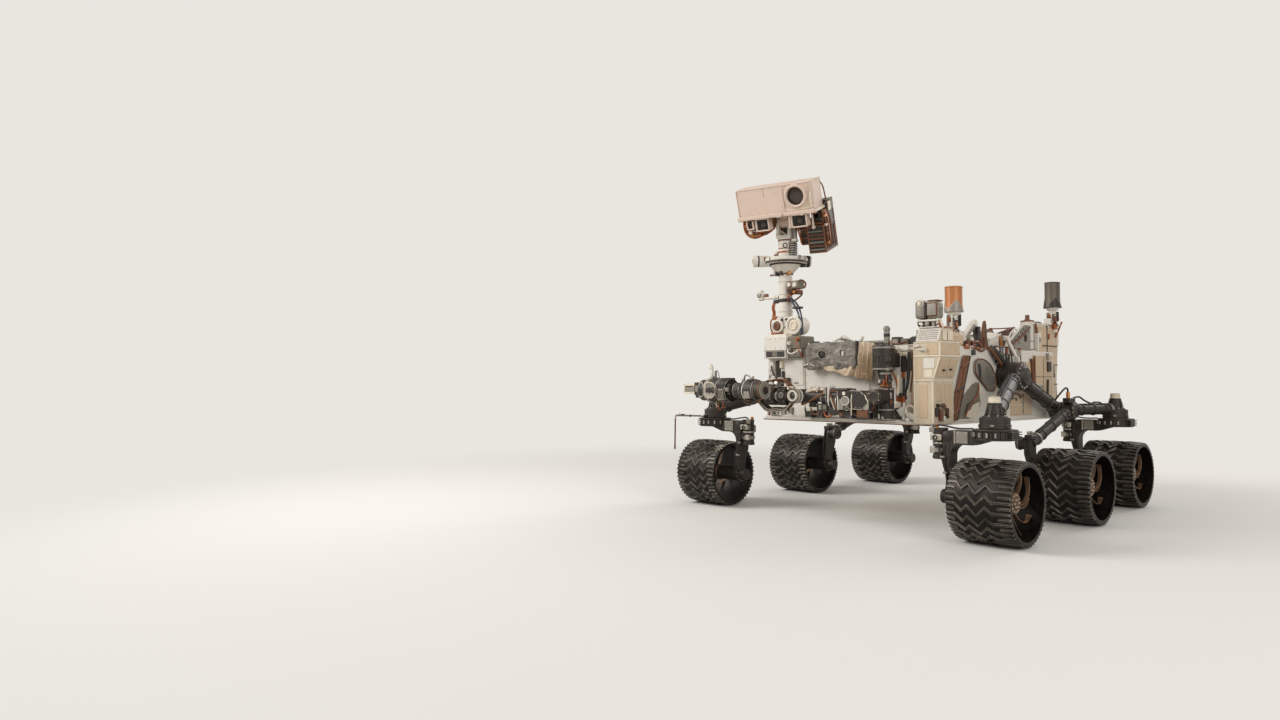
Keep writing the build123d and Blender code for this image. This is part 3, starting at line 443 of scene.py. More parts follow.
# Steered forks: forged aluminium legs, anodised dark bronze, under a finned drum that holds
# the steering gear. Each knee carries a motor with bright fittings, and its cable runs down
# the leg to the drive in the hub.
dark_metal = coated("dark bronze anodised aluminium", "#2D2925", "#8A7861", "#6A4E38",
    metallic=0.35, roughness=0.5, dusty=0.25, edge=0.8)
black_gear = coated("black nylon housing", "#1C1B1A", "#4A443C", "#6E5440", metallic=0.1,
    roughness=0.5, dusty=0.35, edge=0.5)
grey_metal = coated("bead-blasted grey aluminium", "#8C877D", "#C9C2B4", "#9C7A58", metallic=0.45,
    roughness=0.45, dusty=0.35, edge=0.5)
brass = coated("gold-chromated brass", "#A9703A", "#D9A866", "#8B5F3A", metallic=0.8, roughness=0.4,
    dusty=0.35, edge=0.6)
white_paint = coated("white thermal paint", "#DDD7CB", "#EFEAE0", "#B98F68", roughness=0.6,
    dusty=0.35, edge=0.3)
amber_film = coated("amber polyimide tape", "#9A4F1E", "#C98444", "#7E5434", metallic=0.25,
    roughness=0.35, dusty=0.4, edge=0.4)
black_sleeve = coated("black braided sleeve", "#201E1D", "#3A3632", "#6E5440", roughness=0.7,
    dusty=0.3, edge=0.2, grain=0.002, relief=0.6)
brown_sleeve = coated("brown glass-fibre sleeve", "#6B4428", "#96683F", "#8B6140", roughness=0.75,
    dusty=0.4, edge=0.2, grain=0.002, relief=0.6)


def slab(form, low, high, look=0, edge=0.003, place=None):
    """Adds a box with chamfered edges to form, turned and moved by place."""
    low, high = Vector(low), Vector(high)
    size = Matrix.Diagonal((*(abs(a) for a in high - low), 1))
    where = Matrix.Translation((low + high) / 2) @ size
    fresh = bmesh.ops.create_cube(form, size=1, matrix=where)["verts"]
    if place is not None:
        bmesh.ops.transform(form, matrix=place, verts=fresh)
    edges = list({e for v in fresh for e in v.link_edges})
    edge = min(edge, 0.3 * min(abs(a) for a in high - low))
    made = bmesh.ops.bevel(form, geom=edges, offset=edge, segments=1, affect="EDGES")
    for face in {f for v in made["verts"] for f in v.link_faces}:
        face.material_index = look


def include(form, mesh, look, place=None):
    """Adds a mesh to form with one look."""
    spots = [form.verts.new(v.co if place is None else place @ v.co) for v in mesh.vertices]
    for polygon in mesh.polygons:
        made = form.faces.new([spots[n] for n in polygon.vertices])
        made.material_index = look
        made.smooth = polygon.use_smooth


def cable(form, points, radius, look):
    """Adds a clipped-down cable to form: one smooth spline through the route."""
    line = bpy.data.curves.new("cable", "CURVE")
    line.dimensions = "3D"
    line.bevel_depth = radius
    line.bevel_resolution = 1
    line.resolution_u = 5
    line.use_fill_caps = True
    run = line.splines.new("NURBS")
    run.points.add(len(points) - 1)
    for spot, point in zip(run.points, points):
        spot.co = (*point, 1)
    run.order_u = 3
    run.use_endpoint_u = True
    holder = bpy.data.objects.new("cable", line)
    bpy.context.scene.collection.objects.link(holder)
    mesh = bpy.data.meshes.new_from_object(
        holder.evaluated_get(bpy.context.evaluated_depsgraph_get()))
    bpy.data.objects.remove(holder)
    include(form, mesh, look)


def bolt_head(radius, steps=8):
    head = bmesh.new()
    lathe(head, [(-0.001, radius), (radius * 0.7, radius), (radius * 0.9, radius * 0.75),
        (radius * 0.9, 0)], (0, 0, 0), (0, 0, 1), steps=steps)
    mesh = bpy.data.meshes.new("bolt")
    head.to_mesh(mesh)
    head.free()
    return mesh


def screws(form, points, toward, radius, look):
    """Adds a screw head at every point, by instancing one on a cloud of points."""
    tree = bpy.data.node_groups.new("screws", "GeometryNodeTree")
    tree.interface.new_socket("Geometry", in_out="INPUT", socket_type="NodeSocketGeometry")
    facing = tree.interface.new_socket("Facing", in_out="INPUT", socket_type="NodeSocketVector")
    part = tree.interface.new_socket("Screw", in_out="INPUT", socket_type="NodeSocketObject")
    tree.interface.new_socket("Geometry", in_out="OUTPUT", socket_type="NodeSocketGeometry")
    given = node(tree, "NodeGroupInput")
    turn = node(tree, "FunctionNodeAlignRotationToVector", {"Vector": given.outputs["Facing"]},
        axis="Z")
    screw = node(tree, "GeometryNodeObjectInfo", {"Object": given.outputs["Screw"]})
    each = {"Points": given.outputs["Geometry"], "Instance": screw.outputs["Geometry"],
        "Rotation": turn.outputs[0]}
    copies = node(tree, "GeometryNodeInstanceOnPoints", each)
    real = node(tree, "GeometryNodeRealizeInstances", {"Geometry": copies.outputs[0]})
    painted = node(tree, "GeometryNodeSetMaterial",
        {"Geometry": real.outputs[0], "Material": steel})
    node(tree, "NodeGroupOutput", {"Geometry": painted.outputs[0]})
    cloud = bpy.data.meshes.new("screws")
    cloud.from_pydata([tuple(p) for p in points], [], [])
    holder = bpy.data.objects.new("screws", cloud)
    pattern = bpy.data.objects.new("screw", bolt_head(radius))
    for each in (holder, pattern):
        bpy.context.scene.collection.objects.link(each)
    step = holder.modifiers.new("screws", "NODES")
    step.node_group = tree
    step[facing.identifier] = tuple(toward)
    step[part.identifier] = pattern
    bpy.context.view_layer.update()
    mesh = bpy.data.meshes.new_from_object(
        holder.evaluated_get(bpy.context.evaluated_depsgraph_get()))
    for each in (holder, pattern):
        bpy.data.objects.remove(each)
    include(form, mesh, look)


def bolt_circle(form, centre, reach, count, toward, radius, look, first=0.0):
    """Adds an even number of screws in a circle round centre, on the face that toward leaves."""
    cx, cy, cz = centre
    spots = []
    for a in (n * pi / (count // 2) + first for n in range(count)):
        if toward[0]:
            spots.append((cx, cy + reach * sin(a), cz + reach * cos(a)))
        elif toward[1]:
            spots.append((cx + reach * sin(a), cy, cz + reach * cos(a)))
        else:
            spots.append((cx + reach * sin(a), cy + reach * cos(a), cz))
    screws(form, spots, toward, radius, look)


def along(start, end, count):
    """Evenly spaced points from start to end, both included."""
    start, end = Vector(start), Vector(end)
    return [start.lerp(end, n / (count - 1)) for n in range(count)]


corner_looks = (dark_metal, black_gear, steel, grey_metal, brass, black_sleeve, white_paint)
DARK, BLACK, BRIGHT, GREY, GOLD, SLEEVE, WHITE = range(7)
corners = (
    # name, place of the steering axis, side
    ("front_left", 1.19, 1.18, 1),
    ("front_right", 1.19, 1.18, -1),
    ("rear_left", -1.16, 1.08, 1),
    ("rear_right", -1.16, 1.08, -1),
)
drum_r = 0.120
drum_z = (0.640, 0.7075)
knee_y = -0.360

rib = bmesh.new()
slab(rib, (drum_r - 0.004, -0.004, drum_z[0] + 0.010), (drum_r + 0.007, 0.004, drum_z[1] - 0.012),
    edge=0.002)
rib_mesh = bpy.data.meshes.new("rib")
rib.to_mesh(rib_mesh)
rib.free()
ribs = ring_copies(rib_mesh, 26, (0, 0, 1), dark_metal)

axle_z = 0.2625
for name, x, y, side in corners:
    form = bmesh.new()
    lathe(form, [(0.0, drum_r + 0.001), (0.0, drum_r + 0.008), (0.007, drum_r + 0.009),
        (0.009, drum_r - 0.002)], (0, 0, drum_z[0]), (0, 0, 1), DARK, 40)
    lathe(form, [(0.0, drum_r - 0.002), (0.003, drum_r + 0.012), (0.011, drum_r + 0.012),
        (0.0115, drum_r - 0.03)], (0, 0, drum_z[1] - 0.012), (0, 0, 1), DARK, 40)
    include(form, ribs, DARK)
    # Cooling fins stand on the outboard half
    for n in range(4):
        z = drum_z[0] + 0.008 + n * 0.014
        slab(form, (-0.072, 0.098, z), (0.072, 0.136, z + 0.006), BLACK, 0.002)
    slab(form, (-0.050, 0.090, drum_z[0] + 0.004), (0.050, 0.128, drum_z[1] - 0.004), BLACK)
    for n in range(5):
        a = radians(28 + n * 22)
        slab(form, (-0.006, -0.012, 0), (0.006, 0.012, 0.030), BRIGHT if n % 2 else GREY, 0.002,
            Matrix.Translation((0.123 * sin(a), -0.123 * cos(a), 0.658)) @ Matrix.Rotation(a, 4,
            "Z"))
    # Plates on the arm, with a bright strap, and the knee's gusset
    for face in (1, -1):
        slab(form, (face * 0.046, -0.228, 0.610), (face * 0.053, -0.150, 0.686), GREY if face > 0
            else DARK, 0.004)
        slab(form, (face * 0.046, -0.241, 0.606), (face * 0.056, -0.231, 0.690), BRIGHT, 0.002)
        lathe(form, [(0, 0.034), (0.006, 0.032), (0.012, 0.020), (0.013, 0.0)],
            (face * 0.046, -0.292, 0.654), (face, 0, 0), DARK, 20)
        slab(form, (face * 0.046, -0.262, 0.300), (face * 0.052, -0.252, 0.45), DARK, 0.002)
        slab(form, (face * 0.046, -0.314, 0.46), (face * 0.053, -0.304, 0.60), DARK, 0.002)
        slab(form, (face * 0.046, -0.286, 0.46), (face * 0.053, -0.276, 0.60), DARK, 0.002)
        screws(form, [(face * 0.050, -0.190 + dy, 0.648 + dz) for dy in (-0.026, 0.028)
            for dz in (-0.026, 0.026)], (face, 0, 0), 0.004, BRIGHT)
    # Knee motor: banded can, bright clamp with a round eye, connectors
    for z, tall, wide, look in ((0.505, 0.018, 0.050, DARK), (0.548, 0.026, 0.0515, GREY),
            (0.600, 0.010, 0.050, BRIGHT), (0.690, 0.012, 0.049, DARK)):
        lathe(form, band(0, tall, wide - 0.006, wide), (0, knee_y, z), (0, 0, 1), look, 24)
    slab(form, (0.020, knee_y - 0.040, 0.622), (0.062, knee_y + 0.036, 0.664), BRIGHT, 0.005)
    lathe(form, band(0, 0.008, 0.010, 0.017), (0.060, knee_y - 0.004, 0.642), (1, 0, 0), BLACK, 16)
    slab(form, (-0.062, knee_y - 0.030, 0.600), (-0.030, knee_y + 0.030, 0.660), GREY, 0.005)
    slab(form, (0.028, knee_y - 0.048, 0.540), (0.054, knee_y - 0.010, 0.585), BRIGHT, 0.004)
    slab(form, (0.030, knee_y - 0.054, 0.672), (0.050, knee_y - 0.020, 0.706), GREY, 0.004)
    lathe(form, [(0, 0.012), (0.030, 0.012), (0.036, 0.008), (0.036, 0)],
        (-0.012, knee_y - 0.030, 0.690), (0, 0, 1), GOLD, 14)
    cable(form, [(0.04, knee_y - 0.04, 0.700), (0.03, knee_y - 0.02, 0.724), (0.02, -0.30, 0.716),
        (0.03, -0.22, 0.700), (0.02, -0.13, 0.706)], 0.006, SLEEVE)
    cable(form, [(0.056, knee_y + 0.01, 0.60), (0.066, -0.330, 0.56), (0.060, -0.312, 0.48),
        (0.056, -0.286, 0.38), (0.052, -0.300, 0.30), (0.030, -0.32, 0.285)], 0.006, SLEEVE)
    cable(form, [(0.050, knee_y + 0.02, 0.58), (0.058, -0.335, 0.55), (0.054, -0.300, 0.46),
        (0.050, -0.27, 0.36), (0.046, -0.295, 0.29), (0.020, -0.31, 0.30)], 0.004, SLEEVE)
    for z, spot in ((0.52, -0.316), (0.42, -0.298)):
        slab(form, (0.046, spot - 0.014, z - 0.007), (0.070, spot + 0.014, z + 0.007), GREY, 0.003)
    # Drive: bolted flange on the foot and a ribbed motor end
    bolt_circle(form, (0, -0.2455, axle_z), 0.046, 10, (0, 1, 0), 0.0045, BRIGHT)
    bolt_circle(form, (0, -0.2845, axle_z), 0.050, 10, (0, -1, 0), 0.0045, BRIGHT)
    for n in range(4):
        lathe(form, band(0, 0.006, 0.042, 0.046), (0, -0.296 - n * 0.013, axle_z), (0, -1, 0),
            BLACK, 24)
    form.transform(Matrix.Translation((x, side * y, 0)) @ Matrix.Diagonal((1, side, 1, 1)))
    finish(form, "fork_fittings_" + name, corner_looks, "steer_" + name, "dark_metal")

# Steering towers: a turned aluminium cone on a bolted flange holds the gearbox, under a
# cream cap. The flange's bolts are bright steel, and a cable leaves its foot for the rocker.
cream_paint = coated("cream epoxy paint", "#E2D5BE", "#F2E9D8", "#A9805A", roughness=0.5, dusty=0.4,
    edge=0.4)
tower_looks = (dark_metal, black_gear, steel, grey_metal, brass, black_sleeve, cream_paint)
rib = bmesh.new()
foot = [(0.066, 0.0), (0.072, 0.0), (0.0455, 0.112), (0.040, 0.112)]
faces = []
for across in (-0.0035, 0.0035):
    faces.append([rib.verts.new((reach, across, 0.742 + up)) for reach, up in foot])
rib.faces.new(faces[0])
rib.faces.new(reversed(faces[1]))
for n in range(4):
    m = (n + 1) % 4
    rib.faces.new((faces[0][m], faces[0][n], faces[1][n], faces[1][m]))
bmesh.ops.recalc_face_normals(rib, faces=rib.faces)
rib_mesh = bpy.data.meshes.new("tower_rib")
rib.to_mesh(rib_mesh)
rib.free()
tower_ribs = ring_copies(rib_mesh, 10, (0, 0, 1), dark_metal)
for name, x, y, side in corners:
    form = bmesh.new()
    include(form, tower_ribs, DARK)
    lathe(form, [(0, 0.066), (0, 0.074), (0.010, 0.073), (0.012, 0.064)], (0, 0, 0.778), (0, 0, 1),
        DARK, 32)
    lathe(form, [(0, 0.091), (0.001, 0.0945), (0.009, 0.0945), (0.010, 0.091)], (0, 0, 0.713),
        (0, 0, 1), DARK, 36)
    lathe(form, [(0, 0.038), (0, 0.044), (0.010, 0.044), (0.011, 0.036)], (0, 0, 0.858), (0, 0, 1),
        BLACK, 28)
    cap = [(0, 0.0345), (0.002, 0.037), (0.024, 0.036), (0.025, 0.0348), (0.028, 0.0348),
        (0.030, 0.036), (0.036, 0.035), (0.0415, 0.029), (0.0425, 0.015), (0.0415, 0.0)]
    lathe(form, cap, (0, 0, 0.869), (0, 0, 1), WHITE, 28)
    bolt_circle(form, (0, 0, 0.7395), 0.081, 12, (0, 0, 1), 0.0080, BRIGHT, 0.2)
    bolt_circle(form, (0, 0, 0.7895), 0.0655, 8, (0, 0, 1), 0.0050, BRIGHT, 0.1)
    for n in range(6):
        a = radians(n * 60 + 15)
        slab(form, (0.070, -0.012, 0.722), (0.0985, 0.012, 0.738), DARK if n % 2 else GREY, 0.003,
            Matrix.Rotation(a, 4, "Z"))
    slab(form, (-0.082, -0.060, 0.745), (-0.052, -0.030, 0.790), BLACK, 0.004)
    cable(form, [(-0.066, -0.045, 0.785), (-0.075, -0.055, 0.82), (-0.13, -0.09, 0.86),
        (-0.20, -0.12, 0.865)] if "front" in name
        else [(0.066, -0.045, 0.785), (0.09, -0.06, 0.82), (0.14, -0.08, 0.845),
        (0.20, -0.10, 0.836)], 0.007, SLEEVE)
    form.transform(Matrix.Translation((x, side * y, 0)) @ Matrix.Diagonal((1, side, 1, 1)))
    finish(form, "tower_fittings_" + name, tower_looks, "chassis", "dark_metal")

# Rocker and bogie: welded titanium tubes, dark anodised, with bolted clamp rings at both
# ends. A harness of black cables is strapped along each tube, and round caps close the pivots.
def ring_on(form, start, end, share, radius, wide, look, bolts=0):
    """A clamp ring round a tube, at a share of its length, with bolts on its rim."""
    start, end = Vector(start), Vector(end)
    run = (end - start).normalized()
    spot = start.lerp(end, share)
    lathe(form, [(0, radius - 0.008), (0, radius), (0.003, radius + 0.003),
        (wide - 0.003, radius + 0.003), (wide, radius), (wide, radius - 0.008)],
        spot - run * wide / 2, run, look, 28)
    if bolts:
        across = run.orthogonal().normalized()
        other = run.cross(across)
        turns = [2 * pi * n / bolts for n in range(bolts)]
        rim = [spot + run * wide / 2 + (radius - 0.005) * (across * cos(a) + other * sin(a))
            for a in turns]
        screws(form, rim, run, 0.005, BRIGHT)


def strapped(form, start, end, radius, offset, cords):
    """Cables laid along a tube's top, with a strap every so often."""
    start, end = Vector(start), Vector(end)
    run = (end - start).normalized()
    side = run.cross(Vector((0, 0, 1))).normalized()
    top = side.cross(run).normalized()
    for n, (thick, look) in enumerate(cords):
        lift = radius + thick
        sway = (n - (len(cords) - 1) / 2) * 0.016 + offset
        line = []
        for step in range(7):
            share = 0.16 + 0.68 * step / 6
            wave = 0.003 * sin(step * 2.1 + n * 1.7)
            line.append(start.lerp(end, share) + top * (lift * cos(sway / radius)) + side
                * (lift * sin(sway / radius) + wave))
        cable(form, line, thick, look)
    for share in (0.25, 0.5, 0.74):
        ring_on(form, start, end, share, radius + 0.003, 0.012, DARK)


rocker_pivot = (0.045, 0.796, 1.045)
rocker_front = (1.19, 1.18, 0.781)
rocker_rear = (-0.72, 0.796, 0.778)
bogie_pivot = (-0.72, 0.891, 0.778)
bogie_middle = (0.0, 0.885, 0.545)
bogie_rear = (-1.16, 1.08, 0.781)
for word, side in (("left", 1), ("right", -1)):
    form = bmesh.new()
    for start, end in ((rocker_pivot, rocker_front), (rocker_pivot, rocker_rear)):
        ring_on(form, start, end, 0.135, 0.052, 0.030, DARK, 10)
        ring_on(form, start, end, 0.18, 0.050, 0.014, BLACK)
        ring_on(form, start, end, 0.90, 0.052, 0.022, DARK, 8)
        strapped(form, start, end, 0.046, 0.01, ((0.008, SLEEVE), (0.006, SLEEVE), (0.005, SLEEVE)))
    px, _, pz = rocker_pivot
    hub_profile = [(0.858 - 0.702, 0.098), (0.858 - 0.702, 0.1045), (0.170, 0.096), (0.172, 0.080),
        (0.180, 0.071), (0.194, 0.062), (0.196, 0.03), (0.200, 0.028), (0.202, 0.0)]
    lathe(form, hub_profile, (px, 0.698, pz), (0, 1, 0), DARK, 40)
    for along_y, radius in ((0.722, 0.1085), (0.790, 0.1075), (0.848, 0.1085)):
        lathe(form, band(0, 0.010, 0.104, radius), (px, along_y, pz), (0, 1, 0), DARK, 40)
    bolt_circle(form, (px, 0.868, pz), 0.088, 14, (0, 1, 0), 0.006, BRIGHT)
    bx, _, bz = rocker_rear
    lathe(form, band(0, 0.090, 0.060, 0.066), (bx, 0.752, bz), (0, 1, 0), DARK, 32)
    form.transform(Matrix.Diagonal((1, side, 1, 1)))
    finish(form, "rocker_fittings_" + word, corner_looks, "chassis", "dark_metal")

    form = bmesh.new()
    for start, end in ((bogie_pivot, bogie_middle), (bogie_pivot, bogie_rear)):
        ring_on(form, start, end, 0.14, 0.046, 0.026, DARK, 8)
        ring_on(form, start, end, 0.86, 0.046, 0.020, GREY, 8)
        strapped(form, start, end, 0.040, -0.006, ((0.007, SLEEVE), (0.006, SLEEVE)))
    bx, _, bz = bogie_pivot
    lathe(form, [(0, 0.058), (0, 0.067), (0.020, 0.067), (0.024, 0.052), (0.030, 0.048),
        (0.032, 0.02), (0.034, 0.0)], (bx, 0.918, bz), (0, 1, 0), DARK, 32)
    bolt_circle(form, (bx, 0.938, bz), 0.058, 10, (0, 1, 0), 0.005, BRIGHT)
    slab(form, (bx - 0.05, 0.862, bz + 0.056), (bx + 0.06, 0.920, bz + 0.098), BLACK, 0.006)
    lathe(form, [(0, 0.014), (0.050, 0.014), (0.056, 0.010), (0.058, 0)],
        (bx + 0.02, 0.89, bz + 0.09), (0, 0, 1), GOLD, 14)
    cable(form, [(bx + 0.02, 0.89, bz + 0.14), (bx + 0.05, 0.90, bz + 0.19),
        (bx + 0.13, 0.89, bz + 0.16), (bx + 0.20, 0.86, bz + 0.08)], 0.007, SLEEVE)
    cable(form, [(bx - 0.03, 0.90, bz + 0.09), (bx - 0.08, 0.93, bz + 0.12),
        (bx - 0.15, 0.95, bz + 0.07), (bx - 0.22, 0.98, bz + 0.05)], 0.007, SLEEVE)
    kz = bogie_middle[2]
    lathe(form, [(0, 0.046), (0, 0.050), (0.016, 0.050), (0.020, 0.046), (0.026, 0.044),
        (0.028, 0.036), (0.022, 0.033), (0.022, 0.012), (0.028, 0.010), (0.028, 0)],
        (0, 0.820, kz), (0, -1, 0), DARK, 32)
    lathe(form, band(0.0, 0.006, 0.046, 0.0515), (0, 0.816, kz), (0, -1, 0), GREY, 32)
    bolt_circle(form, (0, 0.794, kz), 0.040, 8, (0, -1, 0), 0.004, BRIGHT)
    slab(form, (-0.040, 0.862, kz + 0.030), (0.048, 0.920, kz + 0.066), BLACK, 0.006)
    for dx, look in ((-0.03, BRIGHT), (0.0, GREY), (0.03, BRIGHT)):
        lathe(form, [(0, 0.010), (0.026, 0.010), (0.030, 0.006), (0.030, 0)],
            (dx, 0.885, kz + 0.062), (0.2, 0.1, 1), look, 12)
    cable(form, [(0.0, 0.885, kz + 0.08), (0.05, 0.90, kz + 0.06), (0.060, 0.905, kz - 0.05),
        (0.056, 0.925, 0.36), (0.040, 0.90, 0.29)], 0.006, SLEEVE)
    for face in (1, -1):
        slab(form, (face * 0.046, 0.866, 0.46), (face * 0.053, 0.876, 0.54), DARK, 0.002)
        slab(form, (face * 0.046, 0.894, 0.46), (face * 0.053, 0.904, 0.54), DARK, 0.002)
        slab(form, (face * 0.046, 0.918, 0.300), (face * 0.052, 0.928, 0.45), DARK, 0.002)
    bolt_circle(form, (0, 0.9345, axle_z), 0.046, 10, (0, 1, 0), 0.0045, BRIGHT)
    form.transform(Matrix.Diagonal((1, side, 1, 1)))
    finish(form, "bogie_fittings_" + word, corner_looks, "chassis", "dark_metal")

# Mast: a white-painted tube on a bolted foot, with a folding hip between them. The hip's two
# round covers face forward. Clamps hold a sensor cluster, a short side arm and the cables.
window_glass = coated("dark bronzed glass", "#3B2F28", "#5A4A40", "#7A5A40", roughness=0.12,
    dusty=0.18, edge=0.0, grain=0.0006, relief=0.05)
slate_sleeve = coated("slate-blue braided sleeve", "#3F4650", "#6C727A", "#7A5A40", roughness=0.7,
    dusty=0.25, edge=0.2, grain=0.002, relief=0.6)
copper_paint = coated("copper-brown paint", "#6B4129", "#B07A4E", "#8B6140", metallic=0.25,
    roughness=0.5, dusty=0.3, edge=0.8)
olive_box = coated("olive-grey primer", "#6F695A", "#9A927F", "#8B6A4C", roughness=0.6, dusty=0.4,
    edge=0.5)
mast_looks = (dark_metal, black_gear, steel, grey_metal, brass, slate_sleeve, white_paint,
    amber_film, brown_sleeve, copper_paint, window_glass, olive_box, cream_paint)
AMBER, BROWN, COPPER, GLASS, OLIVE, CREAM = range(7, 13)
mx, my = 0.985, -0.600

form = bmesh.new()
# Clamp bands and the cone's seams
for z, tall, radius, look in ((1.860, 0.020, 0.060, BROWN), (1.800, 0.012, 0.0575, WHITE),
        (1.640, 0.026, 0.0600, DARK), (1.700, 0.010, 0.0572, WHITE), (1.560, 0.014, 0.058, WHITE)):
    lathe(form, [(0, 0.050), (0, radius), (0.003, radius + 0.002), (tall - 0.003, radius + 0.002),
        (tall, radius), (tall, 0.050)], (mx, my, z), (0, 0, 1), look, 28)
for n in range(5):
    a = radians(20 + n * 72)
    seam = Matrix.Translation((mx, my, 1.903)) @ Matrix.Rotation(a, 4,
        "Z") @ Matrix.Translation((0.092, 0, 0)) @ Matrix.Rotation(radians(41), 4, "Y")
    slab(form, (-0.002, -0.003, -0.055), (0.002, 0.003, 0.055), CREAM, 0.001, seam)
lathe(form, band(0, 0.010, 0.118, 0.1305), (mx, my, 1.934), (0, 0, 1), DARK, 36)
for angle, look in ((10, BLACK), (60, GOLD), (300, GREY), (330, BLACK)):
    a = radians(angle)
    slab(form, (0.052, -0.012, -0.014), (0.084, 0.012, 0.016), look, 0.003,
        Matrix.Translation((mx, my, 1.866)) @ Matrix.Rotation(a, 4, "Z"))
slab(form, (-0.008, -0.150, -0.010), (0.006, -0.050, 0.004), COPPER, 0.003,
    Matrix.Translation((mx + 0.01, my, 1.872)))
slab(form, (-0.010, -0.118, -0.004), (0.010, -0.086, 0.030), WHITE, 0.005,
    Matrix.Translation((mx + 0.01, my, 1.872)))
# Side arm: white knob, triangular brown bracket, clamp
knob = Vector((mx + 0.020, my - 0.234, 1.671))
lathe(form, [(0, 0.018), (0.004, 0.028), (0.050, 0.029), (0.060, 0.020), (0.078, 0.019),
    (0.084, 0.012), (0.085, 0)], knob, (0, 0, 1), WHITE, 22)
lathe(form, [(0, 0.0), (0, 0.020), (0.012, 0.020), (0.014, 0.012), (0.014, 0)],
    knob + Vector((0.024, 0, 0.040)), (1, 0, 0), GREY, 18)
slab(form, (mx + 0.004, my - 0.195, 1.690), (mx + 0.034, my - 0.165, 1.722), COPPER, 0.006)
slab(form, (mx + 0.008, my - 0.170, 1.672), (mx + 0.030, my - 0.060, 1.696), CREAM, 0.004)
lathe(form, [(0, 0.0155), (0.050, 0.0155), (0.052, 0.0)], (mx + 0.020, my - 0.130, 1.685),
    (0, 1, 0), WHITE, 18)
slab(form, (mx + 0.000, my - 0.098, 1.636), (mx + 0.040, my - 0.050, 1.664), BLACK, 0.005)
for n in range(3):
    y = my - 0.080 - n * 0.011
    cable(form, [(mx + 0.03, y, 1.640), (mx + 0.042, y - 0.008, 1.600),
        (mx + 0.03, y + 0.004, 1.555), (mx + 0.035, y - 0.006, 1.520)], 0.0045, AMBER)
# Sensor cluster: boxes and lenses with looped cables
slab(form, (0.950, -0.545, 1.700), (1.040, -0.500, 1.795), COPPER, 0.006)
slab(form, (0.965, -0.500, 1.735), (1.046, -0.430, 1.798), OLIVE, 0.006)
slab(form, (0.960, -0.500, 1.694), (1.030, -0.445, 1.728), COPPER, 0.005)
for y, z, radius, look in ((-0.520, 1.770, 0.017, WHITE), (-0.520, 1.722, 0.014, BLACK),
        (-0.465, 1.766, 0.020, WHITE), (-0.470, 1.710, 0.012, GOLD)):
    lathe(form, [(0, radius), (0.012, radius), (0.014, radius * 0.8), (0.010, radius * 0.7),
        (0.009, 0)], (1.040, y, z), (1, 0, 0), look, 20)
cable(form, [(1.03, -0.44, 1.785), (1.045, -0.415, 1.800), (1.02, -0.392, 1.790),
    (1.00, -0.385, 1.760), (1.01, -0.40, 1.735)], 0.007, BROWN)
cable(form, [(1.03, -0.455, 1.73), (1.045, -0.42, 1.72), (1.02, -0.41, 1.70), (1.00, -0.43, 1.685),
    (1.0, -0.47, 1.66), (1.0, -0.53, 1.63)], 0.007, COPPER)
cable(form, [(0.99, -0.51, 1.70), (1.05, -0.50, 1.69), (1.055, -0.53, 1.665), (1.02, -0.545, 1.64)],
    0.006, AMBER)
# Slate cables down the right of the trunk to the box beside the foot
for n in range(5):
    dx, dy = 0.010 * (n % 3), 0.011 * n
    route = [(1.000 + dx, -0.545 + dy * 0.4, 1.668), (1.018 + dx, -0.520 + dy, 1.640),
        (1.020 + dx, -0.478 + dy, 1.590), (1.022 + dx, -0.452 + dy * 0.8, 1.545)]
    route += [(1.020 + dx, -0.430 + dy * 0.5, 1.490), (1.030 + dx, -0.418 + dy * 0.5, 1.430),
        (1.040 + dx, -0.408 + dy * 0.5, 1.372)]
    cable(form, route, 0.0065, SLEEVE)
slab(form, (1.006, -0.480, 1.575), (1.060, -0.410, 1.592), BLACK, 0.004)
# Hip: concentric rings on both covers, and the V-shaped brace between them
for y, radius, middle in ((-0.630, 0.052, COPPER), (-0.470, 0.070, CREAM)):
    rings = [(-0.002, radius + 0.004), (0.010, radius + 0.004), (0.014, radius - 0.002),
        (0.014, radius * 0.80), (0.006, radius * 0.76), (0.006, radius * 0.70)]
    lathe(form, rings, (1.051, y, 1.445), (1, 0, 0), WHITE, 36)
    boss = [(0.003, radius * 0.70), (0.005, radius * 0.52), (0.012, radius * 0.50),
        (0.013, radius * 0.34), (0.006, radius * 0.30), (0.008, 0.0)]
    lathe(form, boss, (1.051, y, 1.445), (1, 0, 0), middle, 32)
    bolt_circle(form, (1.064, y, 1.445), radius - 0.007, 12, (1, 0, 0), 0.0032, BRIGHT)
for y, z, lean, tall in ((-0.585, 1.418, 28, 0.105), (-0.522, 1.425, -30, 0.110)):
    slab(form, (0, -0.012, -tall / 2), (0.010, 0.012, tall / 2), WHITE, 0.003,
        Matrix.Translation((1.032, y, z)) @ Matrix.Rotation(radians(-lean), 4, "X"))
slab(form, (1.028, -0.580, 1.378), (1.048, -0.522, 1.430), CREAM, 0.006)
for y in (-0.60, -0.555, -0.51):
    lathe(form, [(0, 0.012), (0.010, 0.011), (0.011, 0)], (1.030, y, 1.498), (1, 0, 0), DARK, 16)
slab(form, (1.010, -0.692, 1.462), (1.036, -0.672, 1.520), WHITE, 0.004)
slab(form, (1.000, -0.684, 1.500), (1.040, -0.655, 1.530), AMBER, 0.005)
slab(form, (1.012, -0.700, 1.420), (1.030, -0.680, 1.468), COPPER, 0.004)
cable(form, [(1.03, -0.665, 1.53), (1.045, -0.70, 1.51), (1.04, -0.712, 1.46), (1.04, -0.70, 1.40),
    (1.04, -0.66, 1.372)], 0.006, AMBER)
